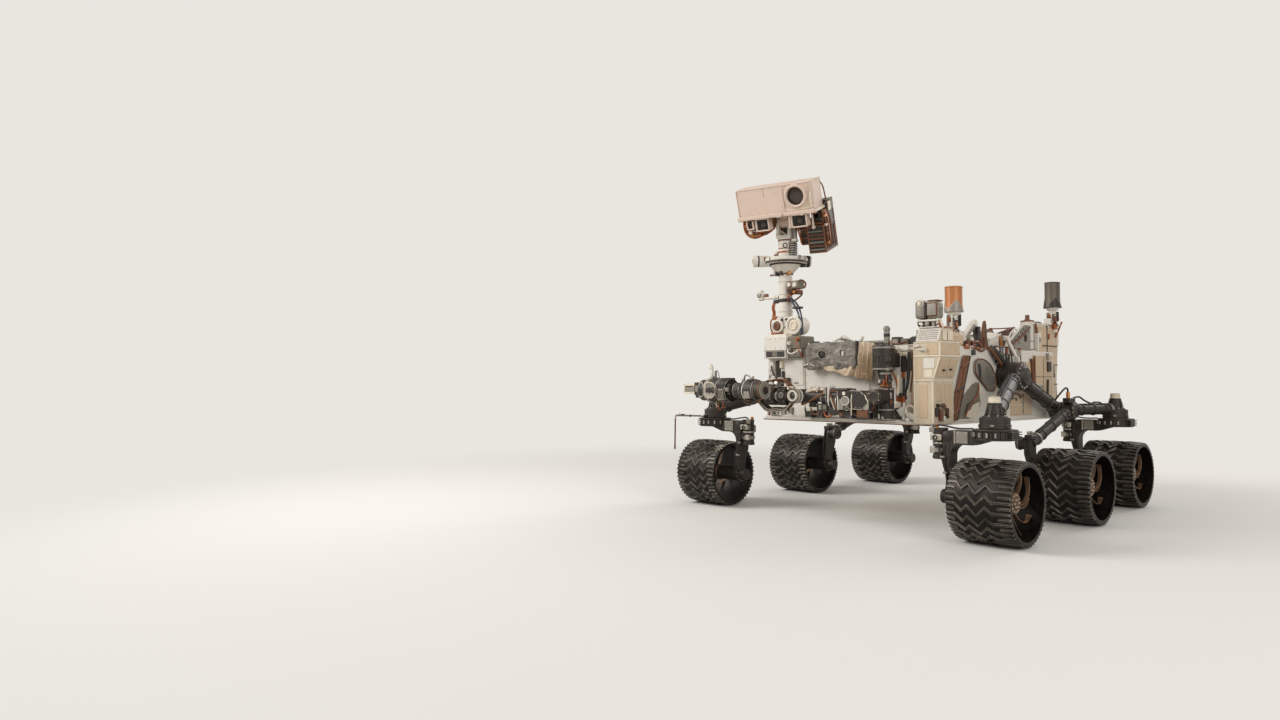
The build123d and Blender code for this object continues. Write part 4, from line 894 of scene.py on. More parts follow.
# Foot: lip, recessed front panel, screws, and the box beside it
slab(form, (1.0, -0.688, 1.249), (1.1645, -0.458, 1.258), WHITE, 0.003)
slab(form, (1.1545, -0.660, 1.196), (1.1575, -0.478, 1.242), BLACK, 0.002)
slab(form, (1.154, -0.672, 1.192), (1.1605, -0.662, 1.250), WHITE, 0.002)
slab(form, (1.154, -0.476, 1.192), (1.1605, -0.466, 1.250), WHITE, 0.002)
slab(form, (1.154, -0.672, 1.188), (1.1605, -0.466, 1.196), WHITE, 0.002)
slab(form, (1.156, -0.60, 1.200), (1.159, -0.55, 1.238), OLIVE, 0.002)
screws(form, [(1.156, y, z) for y in (-0.668, -0.62, -0.57, -0.52, -0.478) for z in (1.270, 1.340)],
    (1, 0, 0), 0.0035, BRIGHT)
slab(form, (1.03, -0.640, 1.375), (1.13, -0.585, 1.392), AMBER, 0.005)
slab(form, (1.135, -0.452, 1.262), (1.142, -0.344, 1.350), OLIVE, 0.004)
for y, z, look in ((-0.440, 1.30, WHITE), (-0.440, 1.25, GREY), (-0.360, 1.33, AMBER),
        (-0.352, 1.24, WHITE)):
    lathe(form, [(0, 0.016), (0.014, 0.016), (0.018, 0.011), (0.030, 0.010), (0.030, 0)],
        (1.136, y, z), (1, 0, 0), look, 16)
cable(form, [(1.16, -0.440, 1.25), (1.185, -0.432, 1.235), (1.18, -0.40, 1.215),
    (1.172, -0.37, 1.225), (1.164, -0.352, 1.24)], 0.006, WHITE)
cable(form, [(1.16, -0.360, 1.33), (1.182, -0.352, 1.32), (1.18, -0.335, 1.28),
    (1.17, -0.325, 1.22), (1.13, -0.32, 1.19)], 0.005, AMBER)
finish(form, "mast_clamps", mast_looks, "chassis", "white_paint", ("mast_fittings",))
beside = bmesh.new()
slab(beside, (0.966, -0.461, 1.254), (1.134, -0.335, 1.356), 0, 0.008)
slab(beside, (1.100, -0.461, 1.188), (1.134, -0.335, 1.260), 0, 0.006)
lathe(beside, [(0, 0.012), (0.180, 0.012)], (mx + 0.020, my - 0.234, 1.685), (0, 1, 0), 1, 16)
finish(beside, "mast_cable_box", (olive_box, white_paint), "chassis", "white_paint",
    ("mast_fittings",))

# Neck: turns on the mast. A wide ring holds the pan gear, with a motor stub on each side,
# and a short post carries the fork of the tilt joint. Orange sealant shows along its joints.
head_turn, tilt_z = radians(15), 2.286
neck_place = Matrix.Translation((mx, my, 0)) @ Matrix.Rotation(head_turn, 4, "Z")
form = bmesh.new()
lathe(form, [(0, 0.160), (0, 0.173), (0.014, 0.173), (0.015, 0.168)], (0, 0, 1.9465), (0, 0, 1),
    BLACK, 48)
lathe(form, [(0, 0.168), (0, 0.176), (0.004, 0.178), (0.020, 0.178), (0.024, 0.172),
    (0.025, 0.160)], (0, 0, 1.9625), (0, 0, 1), WHITE, 48)
lathe(form, [(0, 0.150), (0, 0.169), (0.0025, 0.169), (0.003, 0.150)], (0, 0, 1.9875), (0, 0, 1),
    AMBER, 48)
lathe(form, [(0, 0.164), (0.003, 0.158), (0.005, 0.100), (0.010, 0.074), (0.012, 0.050)],
    (0, 0, 1.988), (0, 0, 1), WHITE, 40)
for a in (-20, 100, 215):
    slab(form, (0.166, -0.003, 1.964), (0.181, 0.003, 1.988), DARK, 0.001,
        Matrix.Rotation(radians(a), 4, "Z"))
for a in (-44, 60, 80):
    slab(form, (0.150, -0.014, 1.966), (0.186, 0.014, 1.996), GREY if a > 0 else COPPER, 0.003,
        Matrix.Rotation(radians(a), 4, "Z"))
for turn, reach, looks in ((-56, 0.262, (COPPER, WHITE, BLACK, WHITE)),
        (124, 0.200, (BLACK, DARK, GREY, DARK))):
    a = radians(turn)
    out = Vector((cos(a), sin(a), 0))
    base = out * (reach - 0.040) + Vector((0, 0, 1.968))
    lathe(form, [(0.040, 0), (0.0405, 0.020), (0.038, 0.036), (0.030, 0.0445)], base, out, looks[0],
        28)
    lathe(form, [(0.030, 0.0445), (0.026, 0.0465), (0.004, 0.0465)], base, out, looks[1], 28)
    lathe(form, [(0.004, 0.0450), (-0.008, 0.0450)], base, out, looks[2], 28)
    lathe(form, [(-0.008, 0.0470), (-0.040, 0.0470), (-0.044, 0.044)], base, out, looks[3], 28)
for z, tall, radius, look in ((2.034, 0.012, 0.0585, AMBER), (2.064, 0.008, 0.0575, COPPER),
        (2.128, 0.012, 0.0585, COPPER), (2.10, 0.006, 0.0572, WHITE)):
    lathe(form, band(0, tall, 0.050, radius), (0, 0, z), (0, 0, 1), look, 28)
lathe(form, [(0, 0.020), (0.004, 0.020), (0.003, 0.015), (-0.002, 0.014), (-0.002, 0)],
    (0.053, 0.020, 2.09), (0.93, 0.36, 0), BLACK, 18)
slab(form, (-0.030, 0.048, 2.000), (0.040, 0.088, 2.120), GREY, 0.006)
for n in range(6):
    slab(form, (-0.033, 0.050, 2.008 + n * 0.018), (0.0435, 0.0915, 2.016 + n * 0.018), DARK, 0.002)
slab(form, (-0.028, -0.052, 2.150), (0.006, 0.052, 2.240), DARK, 0.004)
slab(form, (0.004, -0.050, 2.160), (0.012, -0.012, 2.224), COPPER, 0.003)
slab(form, (0.004, 0.020, 2.156), (0.014, 0.050, 2.216), GREY, 0.004)
slab(form, (0.010, -0.044, 2.156), (0.018, 0.040, 2.170), WHITE, 0.003,
    Matrix.Translation((0, 0, 2.19)) @ Matrix.Rotation(radians(-34), 4,
    "X") @ Matrix.Translation((0, 0, -2.163)))
lathe(form, [(0, 0), (0, 0.020), (0.120, 0.020), (0.124, 0.012), (0.124, 0)], (0.006, 0.082, 2.115),
    (0, 0, 1), GREY, 24)
slab(form, (-0.024, 0.060, 2.120), (0.030, 0.102, 2.140), WHITE, 0.004)
slab(form, (-0.010, -0.086, 2.004), (0.034, -0.050, 2.030), COPPER, 0.004)
lathe(form, [(0, 0.016), (0.022, 0.016), (0.026, 0.010), (0.026, 0)], (0.01, -0.070, 2.028),
    (0, 0, 1), WHITE, 18)
for side in (1, -1):
    for z, look in ((2.19, WHITE), (2.235, GREY)):
        slab(form, (-0.040, side * 0.0585, z - 0.012), (0.040, side * 0.064, z + 0.012), look,
            0.002)
    lathe(form, [(0, 0.042), (0.006, 0.041), (0.008, 0.030), (0.004, 0.027), (0.007, 0)],
        (0, side * 0.0585, tilt_z), (0, side, 0), CREAM, 28)
    bolt_circle(form, (0, side * 0.064, tilt_z), 0.035, 8, (0, side, 0), 0.0035, BRIGHT)
cable(form, [(-0.05, 0.03, 1.995), (-0.085, 0.05, 2.04), (-0.080, 0.04, 2.10), (-0.070, 0.02, 2.15),
    (-0.066, 0.0, 2.18)], 0.008, SLEEVE)
cable(form, [(-0.05, -0.02, 1.995), (-0.090, -0.04, 2.05), (-0.080, -0.03, 2.10),
    (-0.064, -0.02, 2.14)], 0.006, AMBER)
form.transform(neck_place)
finish(form, "neck_fittings", mast_looks, "mast_pan", "white_paint")

# Head: a painted aluminium box with a round window, on a cream ledge. Below it hang two
# pairs of hooded cameras in white frames, orange-wrapped harness, and a louvred electronics
# housing with a copper-brown frame.
head_place = Matrix.Translation((mx, my, tilt_z)) @ Matrix.Rotation(head_turn, 4,
    "Z") @ Matrix.Rotation(radians(20), 4, "Y")
form = bmesh.new()
slab(form, (-0.043, -0.318, 0.303), (0.1635, 0.318, 0.3135), WHITE, 0.003)
for y in (-0.3165, 0.3105):
    slab(form, (0.156, y, 0.098), (0.1635, y + 0.006, 0.306), WHITE, 0.002)
slab(form, (0.1596, -0.0815, 0.232), (0.1606, -0.0795, 0.304), BROWN, 0.0004)
slab(form, (0.1596, -0.2820, 0.100), (0.1604, -0.2810, 0.304), CREAM, 0.0004)
slab(form, (0.1596, -0.0690, 0.100), (0.1604, -0.0680, 0.20), CREAM, 0.0004)
wy, wz = 0.180, 0.213
lathe(form, [(-0.004, 0.096), (0.004, 0.094), (0.014, 0.089), (0.018, 0.084), (0.0185, 0.078),
    (0.014, 0.0725), (-0.010, 0.0700)], (0.160, wy, wz), (1, 0, 0), WHITE, 48)
lathe(form, [(-0.010, 0.0700), (-0.022, 0.0696), (-0.022, 0.0660), (-0.018, 0.0652)],
    (0.160, wy, wz), (1, 0, 0), BLACK, 48)
lathe(form, [(-0.019, 0.0675), (-0.016, 0.048), (-0.0145, 0.024), (-0.014, 0.0)], (0.160, wy, wz),
    (1, 0, 0), GLASS, 40)
bolt_circle(form, (0.1775, wy, wz), 0.0825, 16, (1, 0, 0), 0.0026, WHITE)
for low, high in (((0.159, 0.074, 0.104), (0.166, 0.082, 0.306)),
        ((0.159, 0.278, 0.104), (0.166, 0.286, 0.306)),
        ((0.159, 0.074, 0.302), (0.166, 0.286, 0.309))):
    slab(form, low, high, WHITE, 0.003)
slab(form, (0.159, 0.290, 0.110), (0.1645, 0.308, 0.235), CREAM, 0.002)
slab(form, (0.159, 0.0825, 0.104), (0.1625, 0.278, 0.118), CREAM, 0.002)
screws(form, [(0.1602, y, z) for y in (-0.304, -0.22, -0.14, -0.02, 0.06) for z in (0.112, 0.292)],
    (1, 0, 0), 0.0024, BRIGHT)
screws(form, [(x, 0.3155, z) for x in (-0.028, 0.03, 0.09, 0.148) for z in (0.112, 0.292)],
    (0, 1, 0), 0.0024, BRIGHT)
slab(form, (-0.030, 0.3145, 0.130), (0.140, 0.3170, 0.280), WHITE, 0.002)
# Ledge with worn edges, in two lengths
slab(form, (0.150, -0.326, 0.070), (0.1855, 0.060, 0.099), WHITE, 0.004)
slab(form, (0.150, 0.064, 0.070), (0.1840, 0.328, 0.099), WHITE, 0.004)
for y, wide in ((-0.318, 0.020), (-0.24, 0.05), (-0.05, 0.03), (0.30, 0.03), (0.21, 0.02)):
    slab(form, (0.140, y, 0.062), (0.187, y + wide, 0.074), COPPER if wide > 0.02 else WHITE, 0.003)
screws(form, [(0.168, y, 0.100) for y in (-0.31, -0.25, -0.19, -0.13, -0.06, 0.0, 0.05, 0.09, 0.27,
    0.31)], (0, 0, 1), 0.003, BRIGHT)
slab(form, (-0.050, 0.312, 0.072), (0.150, 0.326, 0.094), CREAM, 0.003)
# Cameras
for y, wide, tall in ((-0.232, 0.062, 0.084), (-0.126, 0.118, 0.104), (0.182, 0.132, 0.104)):
    top = 0.073
    low, high = y - wide / 2, y + wide / 2
    slab(form, (0.088, low, top - tall), (0.149, high, top), WHITE, 0.005)
    rim = 0.011
    for a, b in (((0.146, low, top - tall), (0.1695, low + rim, top)),
            ((0.146, high - rim, top - tall), (0.1695, high, top)),
            ((0.146, low, top - tall), (0.1700, high, top - tall + rim)),
            ((0.146, low, top - rim), (0.1700, high, top))):
        slab(form, a, b, WHITE, 0.003)
    slab(form, (0.148, low + rim, top - tall + rim), (0.1505, high - rim, top - rim), BLACK, 0.001)
    eye = min(wide, tall) * 0.30
    lathe(form, [(0, eye), (0.010, eye), (0.012, eye * 0.86), (0.005, eye * 0.80)],
        (0.150, y, top - tall / 2), (1, 0, 0), BLACK, 28)
    lathe(form, [(0.004, eye * 0.80), (0.008, eye * 0.4), (0.009, 0)], (0.150, y, top - tall / 2),
        (1, 0, 0), GLASS, 28)
    screws(form, [(0.1695, a, b) for a in (low + 0.005, high - 0.005)
        for b in (top - tall + 0.006, top - 0.006)], (1, 0, 0), 0.0024, BRIGHT)
slab(form, (0.02, -0.250, -0.020), (0.100, -0.070, 0.072), BLACK, 0.006)
slab(form, (0.03, -0.070, 0.000), (0.085, -0.052, 0.070), COPPER, 0.004)
slab(form, (0.020, 0.070, -0.020), (0.090, 0.110, 0.072), COPPER, 0.005)
# Harness below the left cameras
for n, (drop, thick, look) in enumerate(
        ((0.00, 0.009, AMBER), (0.014, 0.008, BROWN), (0.006, 0.006, COPPER),
        (0.022, 0.007, AMBER))):
    d = n * 0.012
    route = [(0.09 - d, -0.285, 0.060), (0.10 - d, -0.300, 0.010),
        (0.095 - d, -0.275, -0.035 - drop), (0.09 - d, -0.225, -0.052 - drop)]
    route += [(0.085 - d, -0.165, -0.050 - drop), (0.07 - d, -0.115, -0.045 - drop * 0.5),
        (0.04, -0.070, -0.022), (0.01, -0.058, 0.02)]
    cable(form, route, thick, look)
slab(form, (0.010, -0.292, -0.034), (0.088, -0.150, 0.040), BROWN, 0.010)
slab(form, (0.086, -0.296, -0.060), (0.104, -0.200, -0.034), COPPER, 0.006)
for n, look in enumerate((AMBER, COPPER, BROWN)):
    cable(form, [(0.092 - n * 0.014, -0.312, 0.066), (0.104 - n * 0.014, -0.318, 0.0),
        (0.100 - n * 0.014, -0.296, -0.062 - n * 0.008),
        (0.092 - n * 0.014, -0.240, -0.090 - n * 0.004), (0.080 - n * 0.014, -0.170, -0.070),
        (0.060, -0.120, -0.060), (0.030, -0.085, -0.030)], 0.010 - n * 0.001, look)
slab(form, (-0.100, 0.130, -0.190), (0.030, 0.206, -0.048), DARK, 0.008)
slab(form, (0.022, 0.126, -0.196), (0.036, 0.206, -0.184), COPPER, 0.003)
slab(form, (0.022, 0.126, -0.190), (0.036, 0.136, -0.050), COPPER, 0.003)
for z, look in ((-0.168, BLACK), (-0.146, COPPER), (-0.124, BLACK), (-0.102, BROWN),
        (-0.080, BLACK)):
    slab(form, (0.028, 0.140, z), (0.038, 0.200, z + 0.010), look, 0.002)
slab(form, (0.020, 0.118, -0.052), (0.060, 0.206, -0.030), AMBER, 0.005)
lathe(form, [(0, 0.011), (0.010, 0.011), (0.014, 0.006), (0.014, 0)], (0.040, 0.132, -0.040),
    (1, 0, 0), WHITE, 18)
cable(form, [(0.060, 0.115, -0.02), (0.072, 0.130, -0.06), (0.066, 0.165, -0.075),
    (0.074, 0.205, -0.060), (0.080, 0.240, -0.052)], 0.009, BROWN)
cable(form, [(0.050, 0.105, 0.03), (0.056, 0.112, -0.03), (0.044, 0.124, -0.10),
    (0.040, 0.130, -0.18)], 0.008, AMBER)
slab(form, (0.150, 0.096, -0.032), (0.1665, 0.114, 0.102), WHITE, 0.005)
for place, size, look in (((0.105, -0.262, -0.040), 0.014, WHITE),
        ((0.100, -0.245, -0.068), 0.013, GOLD), ((0.098, -0.190, -0.066), 0.014, AMBER),
        ((0.10, -0.292, 0.018), 0.012, GOLD), ((0.09, -0.140, -0.060), 0.013, COPPER)):
    c = Vector(place)
    slab(form, c - Vector((1, 1.2, 0.9)) * size, c + Vector((1, 1.2, 0.9)) * size, look, 0.004)
# Louvred housing: dark core, copper frame, slats over the front
hx0, hx1, hy0, hy1, hz0, hz1 = -0.186, 0.072, 0.204, 0.337, -0.257, -0.048
slab(form, (hx0, hy0, hz0), (hx1, hy1, hz1), BLACK, 0.004)
slab(form, (hx0, hy0, hz1 - 0.004), (-0.044, hy1, 0.130), BLACK, 0.004)
for y in (hy0 - 0.004, hy1 - 0.006):
    slab(form, (hx1 - 0.006, y, hz0 - 0.004), (hx1 + 0.010, y + 0.011, hz1 + 0.004), COPPER, 0.003)
    slab(form, (hx0 - 0.004, y, hz0 - 0.004), (hx0 + 0.010, y + 0.011, 0.134), COPPER, 0.003)
for z in (hz0 - 0.004, hz1 - 0.006):
    slab(form, (hx1 - 0.006, hy0 - 0.004, z), (hx1 + 0.010, hy1 + 0.005, z + 0.011), COPPER, 0.003)
    slab(form, (hx0, hy1 - 0.004, z), (hx1 + 0.006, hy1 + 0.006, z + 0.011), COPPER, 0.003)
for n in range(6):
    z = hz0 + 0.024 + n * 0.029
    lean = Matrix.Translation((hx1, 0, z)) @ Matrix.Rotation(radians(28), 4, "Y")
    slab(form, (-0.006, hy0 + 0.008, -0.002), (0.012, hy1 - 0.008, 0.003), COPPER if n in (1, 3, 4)
        else GREY, 0.001, lean)
for n in range(5):
    x = hx0 + 0.030 + n * 0.048
    slab(form, (x, hy1 - 0.002, hz0 + 0.02), (x + 0.010, hy1 + 0.007, hz1 - 0.02), DARK if n % 2
        else COPPER, 0.002)
for n, look in enumerate((BROWN, COPPER, AMBER, BROWN)):
    x = 0.045 - n * 0.028
    bow = 0.010 + 0.006 * (n % 2)
    cable(form, [(x, hy1 - 0.01, 0.062), (x, hy1 + 0.003 + bow, 0.02),
        (x - 0.006, hy1 + bow, -0.06), (x + 0.006, hy1 + 0.006 + bow, -0.14),
        (x, hy1 + bow, -0.20), (x - 0.004, hy1 - 0.01, hz0 + 0.01)], 0.008, look)
for z, look in ((0.02, GOLD), (-0.05, WHITE), (-0.12, COPPER), (-0.19, GOLD)):
    slab(form, (0.020, hy1 + 0.000, z - 0.010), (0.058, hy1 + 0.020, z + 0.010), look, 0.004)
# Hangers between the ledge and the housing, and the small folded bracket behind
slab(form, (0.096, 0.262, -0.046), (0.108, 0.276, 0.074), WHITE, 0.003)
lathe(form, [(0, 0.014), (0.012, 0.014), (0.012, 0.0)], (0.094, 0.269, -0.050), (1, 0, 0), WHITE,
    18)
for y, look in ((0.215, DARK), (0.245, GREY), (0.300, DARK), (0.325, COPPER)):
    slab(form, (0.040, y, hz1 - 0.004), (0.052, y + 0.010, 0.074), look, 0.002)
slab(form, (-0.040, 0.206, -0.020), (0.060, 0.330, 0.010), DARK, 0.004)
slab(form, (0.064, 0.205, -0.036), (0.076, 0.330, -0.022), COPPER, 0.003)
cable(form, [(0.08, 0.20, 0.06), (0.09, 0.215, 0.02), (0.07, 0.235, -0.02), (0.06, 0.26, -0.04)],
    0.006, AMBER)
# Seamed covers with vents and screws on the head's back and right side
for y0, y1 in ((-0.306, -0.110), (-0.100, 0.100), (0.110, 0.306)):
    slab(form, (-0.0445, y0, 0.112), (-0.0385, y1, 0.294), WHITE, 0.003)
    screws(form, [(-0.0445, a, b) for a in (y0 + 0.012, (y0 + y1) / 2, y1 - 0.012)
        for b in (0.124, 0.282)], (-1, 0, 0), 0.0026, BRIGHT)
for n in range(6):
    slab(form, (-0.0475, -0.070, 0.150 + n * 0.018), (-0.0435, 0.070, 0.156 + n * 0.018), DARK,
        0.001)
slab(form, (-0.060, -0.280, 0.150), (-0.042, -0.180, 0.240), GREY, 0.005)
slab(form, (-0.058, 0.180, 0.160), (-0.042, 0.260, 0.230), DARK, 0.005)
cable(form, [(-0.056, -0.230, 0.160), (-0.070, -0.220, 0.11), (-0.064, -0.180, 0.06),
    (-0.050, -0.120, 0.03), (-0.02, -0.08, 0.01)], 0.008, SLEEVE)
cable(form, [(-0.054, 0.200, 0.165), (-0.072, 0.190, 0.12), (-0.080, 0.195, 0.06),
    (-0.085, 0.206, 0.02)], 0.007, AMBER)
slab(form, (-0.030, -0.3170, 0.130), (0.140, -0.3145, 0.280), WHITE, 0.002)
screws(form, [(x, -0.3165, z) for x in (-0.028, 0.03, 0.09, 0.148) for z in (0.112, 0.292)],
    (0, -1, 0), 0.0024, BRIGHT)
screws(form, [(x, y, 0.3135) for x in (-0.034, 0.06, 0.155)
    for y in (-0.308, -0.15, 0.0, 0.15, 0.308)], (0, 0, 1), 0.0026, BRIGHT)
slab(form, (0.000, -0.200, 0.312), (0.120, 0.200, 0.3155), WHITE, 0.002)
for z in (-0.21, -0.15, -0.09, -0.03, 0.03, 0.09):
    slab(form, (hx0 - 0.006, hy0 + 0.010, z), (hx0 + 0.004, hy1 - 0.010, z + 0.012), COPPER if z < 0
        else GREY, 0.002)
screws(form, [(hx0 - 0.004, y, z) for y in (hy0 + 0.004, hy1 - 0.002)
    for z in (-0.24, -0.16, -0.08, 0.0, 0.08)], (-1, 0, 0), 0.003, BRIGHT)
bend = Matrix.Translation((-0.060, 0.330, 0.105)) @ Matrix.Rotation(radians(35), 4, "X")
slab(form, (-0.050, -0.010, -0.004), (0.030, 0.050, 0.004), OLIVE, 0.002, bend)
slab(form, (-0.180, 0.214, 0.040), (-0.052, 0.344, 0.132), OLIVE, 0.010)
slab(form, (-0.120, 0.300, 0.080), (-0.040, 0.352, 0.088), OLIVE, 0.003)
slab(form, (-0.105, 0.343, 0.044), (-0.050, 0.352, 0.126), CREAM, 0.003)
cable(form, [(-0.046, 0.300, 0.285), (-0.056, 0.322, 0.26), (-0.060, 0.330, 0.20),
    (-0.070, 0.332, 0.12)], 0.006, COPPER)
slab(form, (-0.058, 0.296, 0.276), (-0.040, 0.314, 0.296), GREY, 0.003)
form.transform(head_place)
dusty_white = coated("white thermal paint under red dust", "#D9C3B2", "#EFE3D6", "#B98F6C",
    roughness=0.6, dusty=0.4, edge=0.4)
head_looks = tuple(dusty_white if look is white_paint else look for look in mast_looks)
finish(form, "head_fittings", head_looks, "mast_tilt", "white_paint",
    ("head_cameras", "head_housing"))

# Body: a painted aluminium box with riveted panels, a bright angle along its lower edge, and
# connectors, clips and pipes on its front. Small hazard cameras sit under the front edge.
beige_paint = coated("beige epoxy primer", "#C9B193", "#E2D2B8", "#A9805A", roughness=0.6,
    dusty=0.45, edge=0.4)
body_looks = (dark_metal, black_gear, steel, grey_metal, brass, black_sleeve, white_paint,
    amber_film, brown_sleeve, copper_paint, window_glass, olive_box, cream_paint, beige_paint)
BEIGE = 13
face_x = 1.100
form = bmesh.new()
# Panels and strips on the front: (y from, y to, z from, z to, how proud, look)
front_table = (
    (-0.514, -0.342, 0.976, 1.176, 0.004, WHITE),
    (-0.430, -0.385, 0.990, 1.000, 0.006, DARK),
    (-0.334, -0.328, 0.726, 1.236, 0.003, CREAM),
    (-0.326, -0.323, 0.726, 1.236, 0.0015, DARK),
    (-0.318, 0.226, 0.740, 0.742, 0.0015, DARK),
    (0.228, 0.240, 0.726, 1.200, 0.007, WHITE),
    (0.246, 0.322, 0.980, 1.198, 0.005, WHITE),
    (0.244, 0.330, 0.735, 0.950, 0.030, GREY),
    (0.252, 0.290, 0.800, 0.930, 0.042, BLACK),
    (0.300, 0.326, 0.745, 0.870, 0.050, DARK),
    (0.340, 0.360, 0.730, 1.190, 0.006, DARK),
    (-0.604, -0.560, 0.960, 1.170, 0.006, DARK),
    (-0.660, -0.612, 1.100, 1.166, 0.030, WHITE),
    (-0.672, -0.600, 1.030, 1.060, 0.016, GREY),
    (-0.655, -0.612, 0.990, 1.024, 0.024, WHITE),
    (-0.545, -0.522, 0.960, 1.090, 0.014, BLACK),
    (-0.500, -0.462, 0.960, 1.036, 0.026, BLACK),
    (-0.560, -0.535, 1.110, 1.170, 0.020, CREAM),
    (-0.690, -0.640, 0.728, 0.804, 0.020, WHITE),
    (-0.672, -0.650, 0.740, 0.790, 0.026, COPPER),
    (-0.620, -0.560, 0.735, 0.760, 0.014, GREY),
    (0.392, 0.468, 1.224, 1.250, 0.030, WHITE),
    (0.466, 0.548, 1.224, 1.250, 0.006, WHITE),
    (0.455, 0.540, 1.180, 1.226, 0.006, CREAM),
    (0.560, 0.602, 0.730, 1.230, 0.004, BEIGE),
    (0.400, 0.440, 0.730, 0.770, 0.030, WHITE),
    (0.470, 0.520, 0.860, 0.905, 0.022, AMBER),
    (0.486, 0.506, 0.895, 0.925, 0.030, BLACK),
)
for y0, y1, z0, z1, proud, look in front_table:
    slab(form, (face_x - 0.002, y0, z0), (face_x + proud, y1, z1), look, min(0.004, proud * 0.4))
# Lower edge: bright angle over a rust-brown lip
slab(form, (face_x - 0.002, -0.700, 0.712), (face_x + 0.024, 0.604, 0.7205), WHITE, 0.002)
slab(form, (face_x - 0.002, -0.720, 0.7055), (face_x + 0.0225, 0.716, 0.7125), COPPER, 0.002)
slab(form, (face_x + 0.016, -0.700, 0.7200), (face_x + 0.020, 0.604, 0.7330), WHITE, 0.001)
screws(form, [(face_x + 0.0010, y, z) for y in (-0.47, -0.39) for z in (0.984, 1.168)]
    + along((face_x + 0.001, -0.30, 1.225), (face_x + 0.001, 0.21, 1.225), 10)
    + along((face_x + 0.001, -0.31, 0.755), (face_x + 0.001, 0.215, 0.755), 10), (1, 0, 0), 0.0035,
    BRIGHT)
screws(form, along((face_x + 0.001, -0.312, 0.79), (face_x + 0.001, -0.312, 1.19), 7)
    + along((face_x + 0.001, 0.218, 0.79), (face_x + 0.001, 0.218, 1.06), 5)
    + along((face_x + 0.005, 0.284, 1.00), (face_x + 0.005, 0.284, 1.18), 4), (1, 0, 0), 0.0035,
    BRIGHT)
# Pipes, clips and connectors between the cover and the shoulder
lathe(form, band(0, 0.275, 0, 0.0045), (face_x + 0.004, 0.535, 0.90), (0, 0, 1), CREAM, 12)
for y, z0, z1, radius, look in ((0.467, 0.91, 1.05, 0.009, CREAM), (0.380, 0.78, 1.17, 0.007, GREY),
        (0.512, 0.74, 0.86, 0.010, WHITE), (0.450, 0.735, 0.83, 0.014, DARK)):
    lathe(form, band(0, z1 - z0, 0, radius), (face_x + 0.012, y, z0), (0, 0, 1), look, 14)
for y, z, radius, look in ((-0.636, 1.085, 0.018, WHITE), (-0.636, 1.135, 0.014, GREY),
        (0.310, 0.905, 0.014, BRIGHT), (0.270, 0.770, 0.020, BLACK), (0.420, 0.80, 0.016, WHITE),
        (-0.580, 0.90, 0.012, DARK)):
    lathe(form, [(0, radius), (0.026, radius), (0.030, radius * 0.8), (0.024, radius * 0.6),
        (0.022, 0)], (face_x, y, z), (1, 0, 0), look, 18)
cable(form, [(1.118, -0.636, 1.135), (1.150, -0.620, 1.12), (1.150, -0.585, 1.05),
    (1.125, -0.575, 0.98), (1.122, -0.578, 0.90), (1.110, -0.58, 0.86)], 0.006, SLEEVE)
cable(form, [(1.112, -0.53, 1.05), (1.130, -0.515, 1.02), (1.130, -0.49, 0.96),
    (1.118, -0.485, 0.90), (1.112, -0.47, 0.82), (1.110, -0.44, 0.75)], 0.005, SLEEVE)
cable(form, [(1.115, 0.270, 0.78), (1.155, 0.285, 0.80), (1.150, 0.330, 0.86), (1.128, 0.36, 0.93),
    (1.120, 0.366, 1.05), (1.115, 0.372, 1.14)], 0.007, BROWN)
cable(form, [(1.125, 0.310, 0.905), (1.160, 0.325, 0.90), (1.150, 0.370, 0.83),
    (1.125, 0.40, 0.80)], 0.006, AMBER)
# Ring-shaped pipe and folded white sheet-metal covers at the lower right
bead = [(0.035 * cos(2 * pi * n / 20), 0.035 * sin(2 * pi * n / 20)) for n in range(21)]
cable(form, [(1.128, 0.568 + a, 0.806 + b) for a, b in bead], 0.008, CREAM)
cable(form, [(1.088, 0.60, 0.86), (1.098, 0.585, 0.845), (1.098, 0.55, 0.842), (1.090, 0.52, 0.82)],
    0.008, WHITE)
for y, z, wide, tall, roll, pitch, look in ((0.510, 0.800, 0.070, 0.060, 30, 20, WHITE),
        (0.585, 0.765, 0.070, 0.050, -18, 26, WHITE), (0.470, 0.845, 0.050, 0.050, 12, -20, CREAM),
        (0.545, 0.745, 0.030, 0.030, 45, 0, WHITE)):
    lean = Matrix.Translation((face_x + 0.024, y, z)) @ Matrix.Rotation(radians(roll), 4,
        "X") @ Matrix.Rotation(radians(pitch), 4, "Y")
    slab(form, (-0.003, -wide / 2, -tall / 2), (0.003, wide / 2, tall / 2), look, 0.001, lean)
# Hazard cameras: a hood, a pale rim and a round lens on each
for x, facing in ((1.160, 1), (-0.980, -1)):
    for y in (-0.250, -0.150, 0.150, 0.250) if facing > 0 else (-0.330, 0.330):
        z = 0.765
        lathe(form, [(-0.004, 0.023), (0.004, 0.022), (0.0055, 0.018), (0.001, 0.0165)], (x, y, z),
            (facing, 0, 0), GREY, 24)
        lathe(form, [(0.001, 0.0168), (0.0035, 0.010), (0.0042, 0.0)], (x, y, z), (facing, 0, 0),
            GLASS, 24)
        slab(form, (x - facing * 0.050, y - 0.032, z + 0.022),
            (x + facing * 0.004, y + 0.032, z + 0.0275), WHITE, 0.002)
        screws(form, [(x, y + a, z + b) for a in (-0.024, 0.024) for b in (-0.019, 0.017)],
            (facing, 0, 0), 0.0025, BRIGHT)
